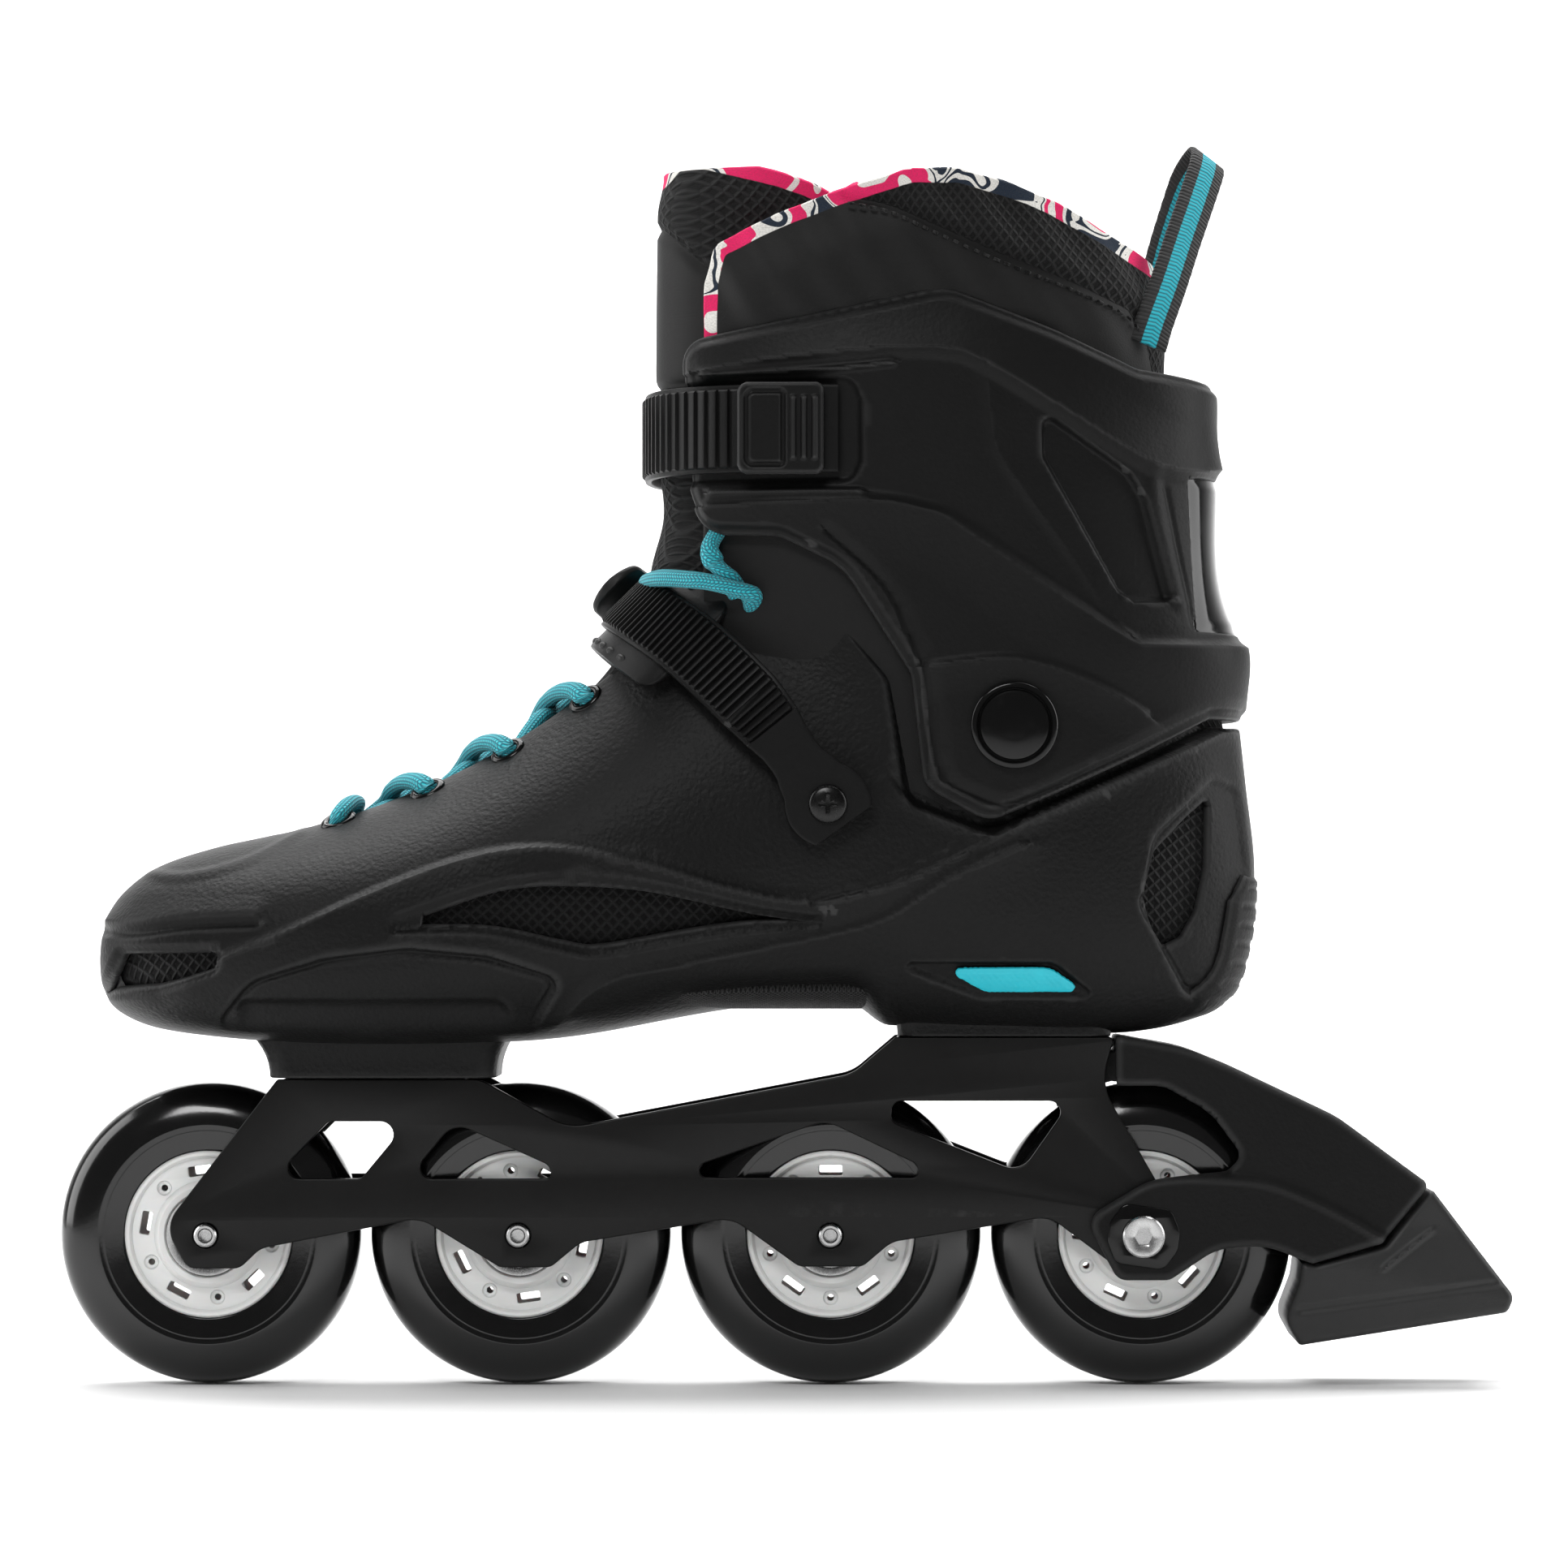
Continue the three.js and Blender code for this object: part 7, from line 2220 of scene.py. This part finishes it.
def make_lace():
    near_side, far_side = eyelet_frames(-1), eyelet_frames(1)
    a, b = near_side[0], far_side[0]
    (x, y, z) = a[0]
    straight = [[x + 1.2, y * 0.85, z + 3.6], [x + 2.2, y * 0.4, z + 5], [x + 2.2, -y * 0.4, z + 5], [x + 1.2, -y * 0.85, z + 3.6]]
    cords = [cord([a[0] - a[1] * 3.5, a[0] + a[1] * 0.9, *straight, b[0] + b[1] * 0.9, b[0] - b[1] * 3.5])]
    for i in range(3):
        cords.append(cord(crossing(near_side[i + 1], far_side[i], 0.4)))
        cords.append(cord(crossing(far_side[i + 1], near_side[i], -3.8)))
    for side in (-1, 1):
        cords.append(cord([
            [-8.6, side * 33.5, 205], [-9.4, side * 37.6, 208], [-14, side * 38.8, 209.6], [-19, side * 38, 211],
            [-25, side * 34.5, 212], [-33, side * 24, 213], [-37, side * 8, 212 - side],
        ]))
        cords.append(cord([
            [-12.6, side * 34, 208.5], [-15, side * 36.6, 212.2], [-18.6, side * 37, 216.2],
            [-20, side * 35.6, 220], [-18, side * 32.6, 224.5], [-13, side * 28, 231],
        ]))
    lace = join("lace_cord", *cords)
    finish_piece(lace, "lace", "skate", "lace")


def make_pull_loop():
    line = LOOP_LINE
    s = np.linspace(0, line.length, 150)
    section = [(5.5, 0), (5.3, 0.45), (4.8, 0.7), (2.4, 0.72), (0, 0.72), (-2.4, 0.72), (-4.8, 0.7), (-5.3, 0.45)]
    section += [(-5.5, 0), (-5.3, -0.45), (-4.8, -0.7), (-2.4, -0.72), (0, -0.72), (2.4, -0.72), (4.8, -0.7), (5.3, -0.45)]
    sections = [[(a, b + 0.09 * math.sin(t * 6)) for a, b in section] for t in s]
    loop = band("pull_loop_webbing", line, s, sections)
    across = np.tile([a for a, _ in section], len(s))
    mark(loop, "cloth", np.column_stack([np.repeat(s, len(section)), across, 0 * across]) * 0.001)
    tidy_mesh(loop)
    loop.data.shade_smooth()
    finish_piece(loop, "webbing", "cuff", "pull_loop")


def make_heel_guard():
    """The plate let into the back of the heel, ribbed across."""
    heights = np.arange(97, 134.6, 0.5)
    turns = np.linspace(-1, 1, 90)
    rows = []
    for z in heights:
        taken = BOOT_SAMPLES[(np.abs(BOOT_SAMPLES[:, 2] - z) < 2.2) & (BOOT_SAMPLES[:, 0] > 80)]
        half = np.interp(z, [97, 103, 128, 134.5], [13, 19, 19.5, 15])
        y = turns * half
        x = np.empty(len(y))
        for i, value in enumerate(y):
            gap = (taken[:, 1] - value) ** 2 + (taken[:, 2] - z) ** 2 * 2
            k = np.argsort(gap)[:5]
            x[i] = (taken[k, 0] / (gap[k] + 0.2)).sum() / (1 / (gap[k] + 0.2)).sum()
        into = np.minimum(half - np.abs(y), min(z - 97, 134.5 - z) + 0.01)
        rib = 0.35 * smoothstep(np.sin(z * 1.25), 0.2, 0.8) * smoothstep(into, 2, 3.5)
        rows.append(np.stack([x + 0.8 * smoothstep(into, 0, 1.4) - rib, y, np.full(len(y), z)], 1))
    points = np.array(rows).reshape(-1, 3)
    faces = grid_faces(len(heights), len(turns), False)
    if point_normals(points, faces.tolist())[len(points) // 2, 0] < 0:
        faces = faces[:, ::-1]
    points, faces = thicken(points, faces.tolist(), 2.2, 3)
    guard = make_object("heel_plate", points, faces, None)
    finish_piece(crisp(guard, 40), "arm", "skate", "heel_guard")


# ---------------------------------------------------------------- light and camera
def look_at(obj, target):
    direction = Vector(target) - obj.location
    obj.rotation_euler = direction.to_track_quat("-Z", "Y").to_euler()


def area_light(name, at, target, size, power, shape="RECTANGLE"):
    light = bpy.data.lights.new(name, "AREA")
    light.shape = shape
    light.size, light.size_y = size
    light.energy = power
    lamp = bpy.data.objects.new(name, light)
    bpy.context.scene.collection.objects.link(lamp)
    lamp.location = at
    look_at(lamp, target)


def make_studio():
    low, high = (Vector(c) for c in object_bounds())
    middle = (low + high) / 2
    white = bpy.data.materials.new("studio_white")
    white.use_nodes = True
    shader = white.node_tree.nodes["Principled BSDF"]
    shader.inputs["Base Color"].default_value = (0.9, 0.9, 0.9, 1)
    shader.inputs["Roughness"].default_value = 0.9
    mesh = bpy.data.meshes.new("studio_floor")
    reach, back, rise, bend = 6.0, 3.2, 5.0, 1.2
    profile = [(-4.0, 0), (back - bend, 0)]
    profile += [
        (back - bend + bend * math.sin(t), bend * (1 - math.cos(t))) for t in np.linspace(0, math.pi / 2, 12)[1:]
    ]
    profile.append((back, rise))
    points = [(side * reach, y, z) for y, z in profile for side in (-1, 1)]
    faces = [(2 * i, 2 * i + 1, 2 * i + 3, 2 * i + 2) for i in range(len(profile) - 1)]
    mesh.from_pydata(points, [], faces)
    mesh.shade_smooth()
    floor = bpy.data.objects.new("studio_floor", mesh)
    floor.data.materials.append(white)
    floor.location.z = -0.0002
    bpy.context.scene.collection.objects.link(floor)
    floor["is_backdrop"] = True

    area_light("overhead", (0.05, 0.5, 1.9), middle, (2.2, 1.2), 52)
    area_light("left", (-1.7, 0.1, 0.8), middle, (1.0, 1.6), 20)
    area_light("right", (1.8, 0.1, 0.8), middle, (1.0, 1.6), 22)
    area_light("front", (-0.5, -1.9, 1.7), middle, (0.9, 0.6), 22)
    area_light("backdrop", (0, 1.2, 2.2), (0, 3.2, 0.8), (4.0, 1.0), 120)

    world = bpy.data.worlds.new("studio_world")
    world.use_nodes = True
    world.node_tree.nodes["Background"].inputs["Color"].default_value = (1, 1, 1, 1)
    world.node_tree.nodes["Background"].inputs["Strength"].default_value = 0.13
    bpy.context.scene.world = world
    bpy.context.scene.view_settings.view_transform = "Standard"


def make_camera():
    """The camera looks straight across the skate from its inner side, a little above the wheels."""
    data = bpy.data.cameras.new("camera")
    data.sensor_width = 36
    data.lens = 137.1
    data.shift_x = -0.059
    data.shift_y = 0.0694
    camera = bpy.data.objects.new("camera", data)
    bpy.context.scene.collection.objects.link(camera)
    camera.location = ((23.46 + DATUM_X) * 0.001, -1.591, 0.1304)
    camera.rotation_euler = (math.pi / 2, 0, 0)
    bpy.context.scene.camera = camera


METAL_NODES = [name for name in NODES if name.endswith(("_bolt", "_screw")) or "spacer" in name]
for name, node in NODES.items():
    kind = "steel" if name in METAL_NODES else "shell"
    node.data.materials.clear()
    node.data.materials.append(MATERIALS[kind].material)
make_shell()
make_mount_block("front_mount_block", -137, -77, 97, 81.5, 9, 17)
make_mount_block("heel_mount_block", 29, 85.5, 99, 92.4, 1.5, 16)
make_cuff()
make_rear_insert()
make_frame()
make_wheels()
make_brake()
make_collar()
make_tongue()
make_liner_boot()
make_footbed()
make_instep_strap()
make_cuff_strap()
make_release_tab()
make_buckle("cuff", CUFF_STRAP, 0.76, 0.735, 0.93, 0.97, 27, 0.6, "cuff", "cuff_buckle")
make_buckle("instep", INSTEP_STRAP, 0.8, 0.675, 0.845, 0.55, 24, 5, "skate", "instep_buckle")
make_pivot_caps()
make_reflectors()
make_eyelets()
make_lace()
make_pull_loop()
make_heel_guard()
make_studio()
make_camera()
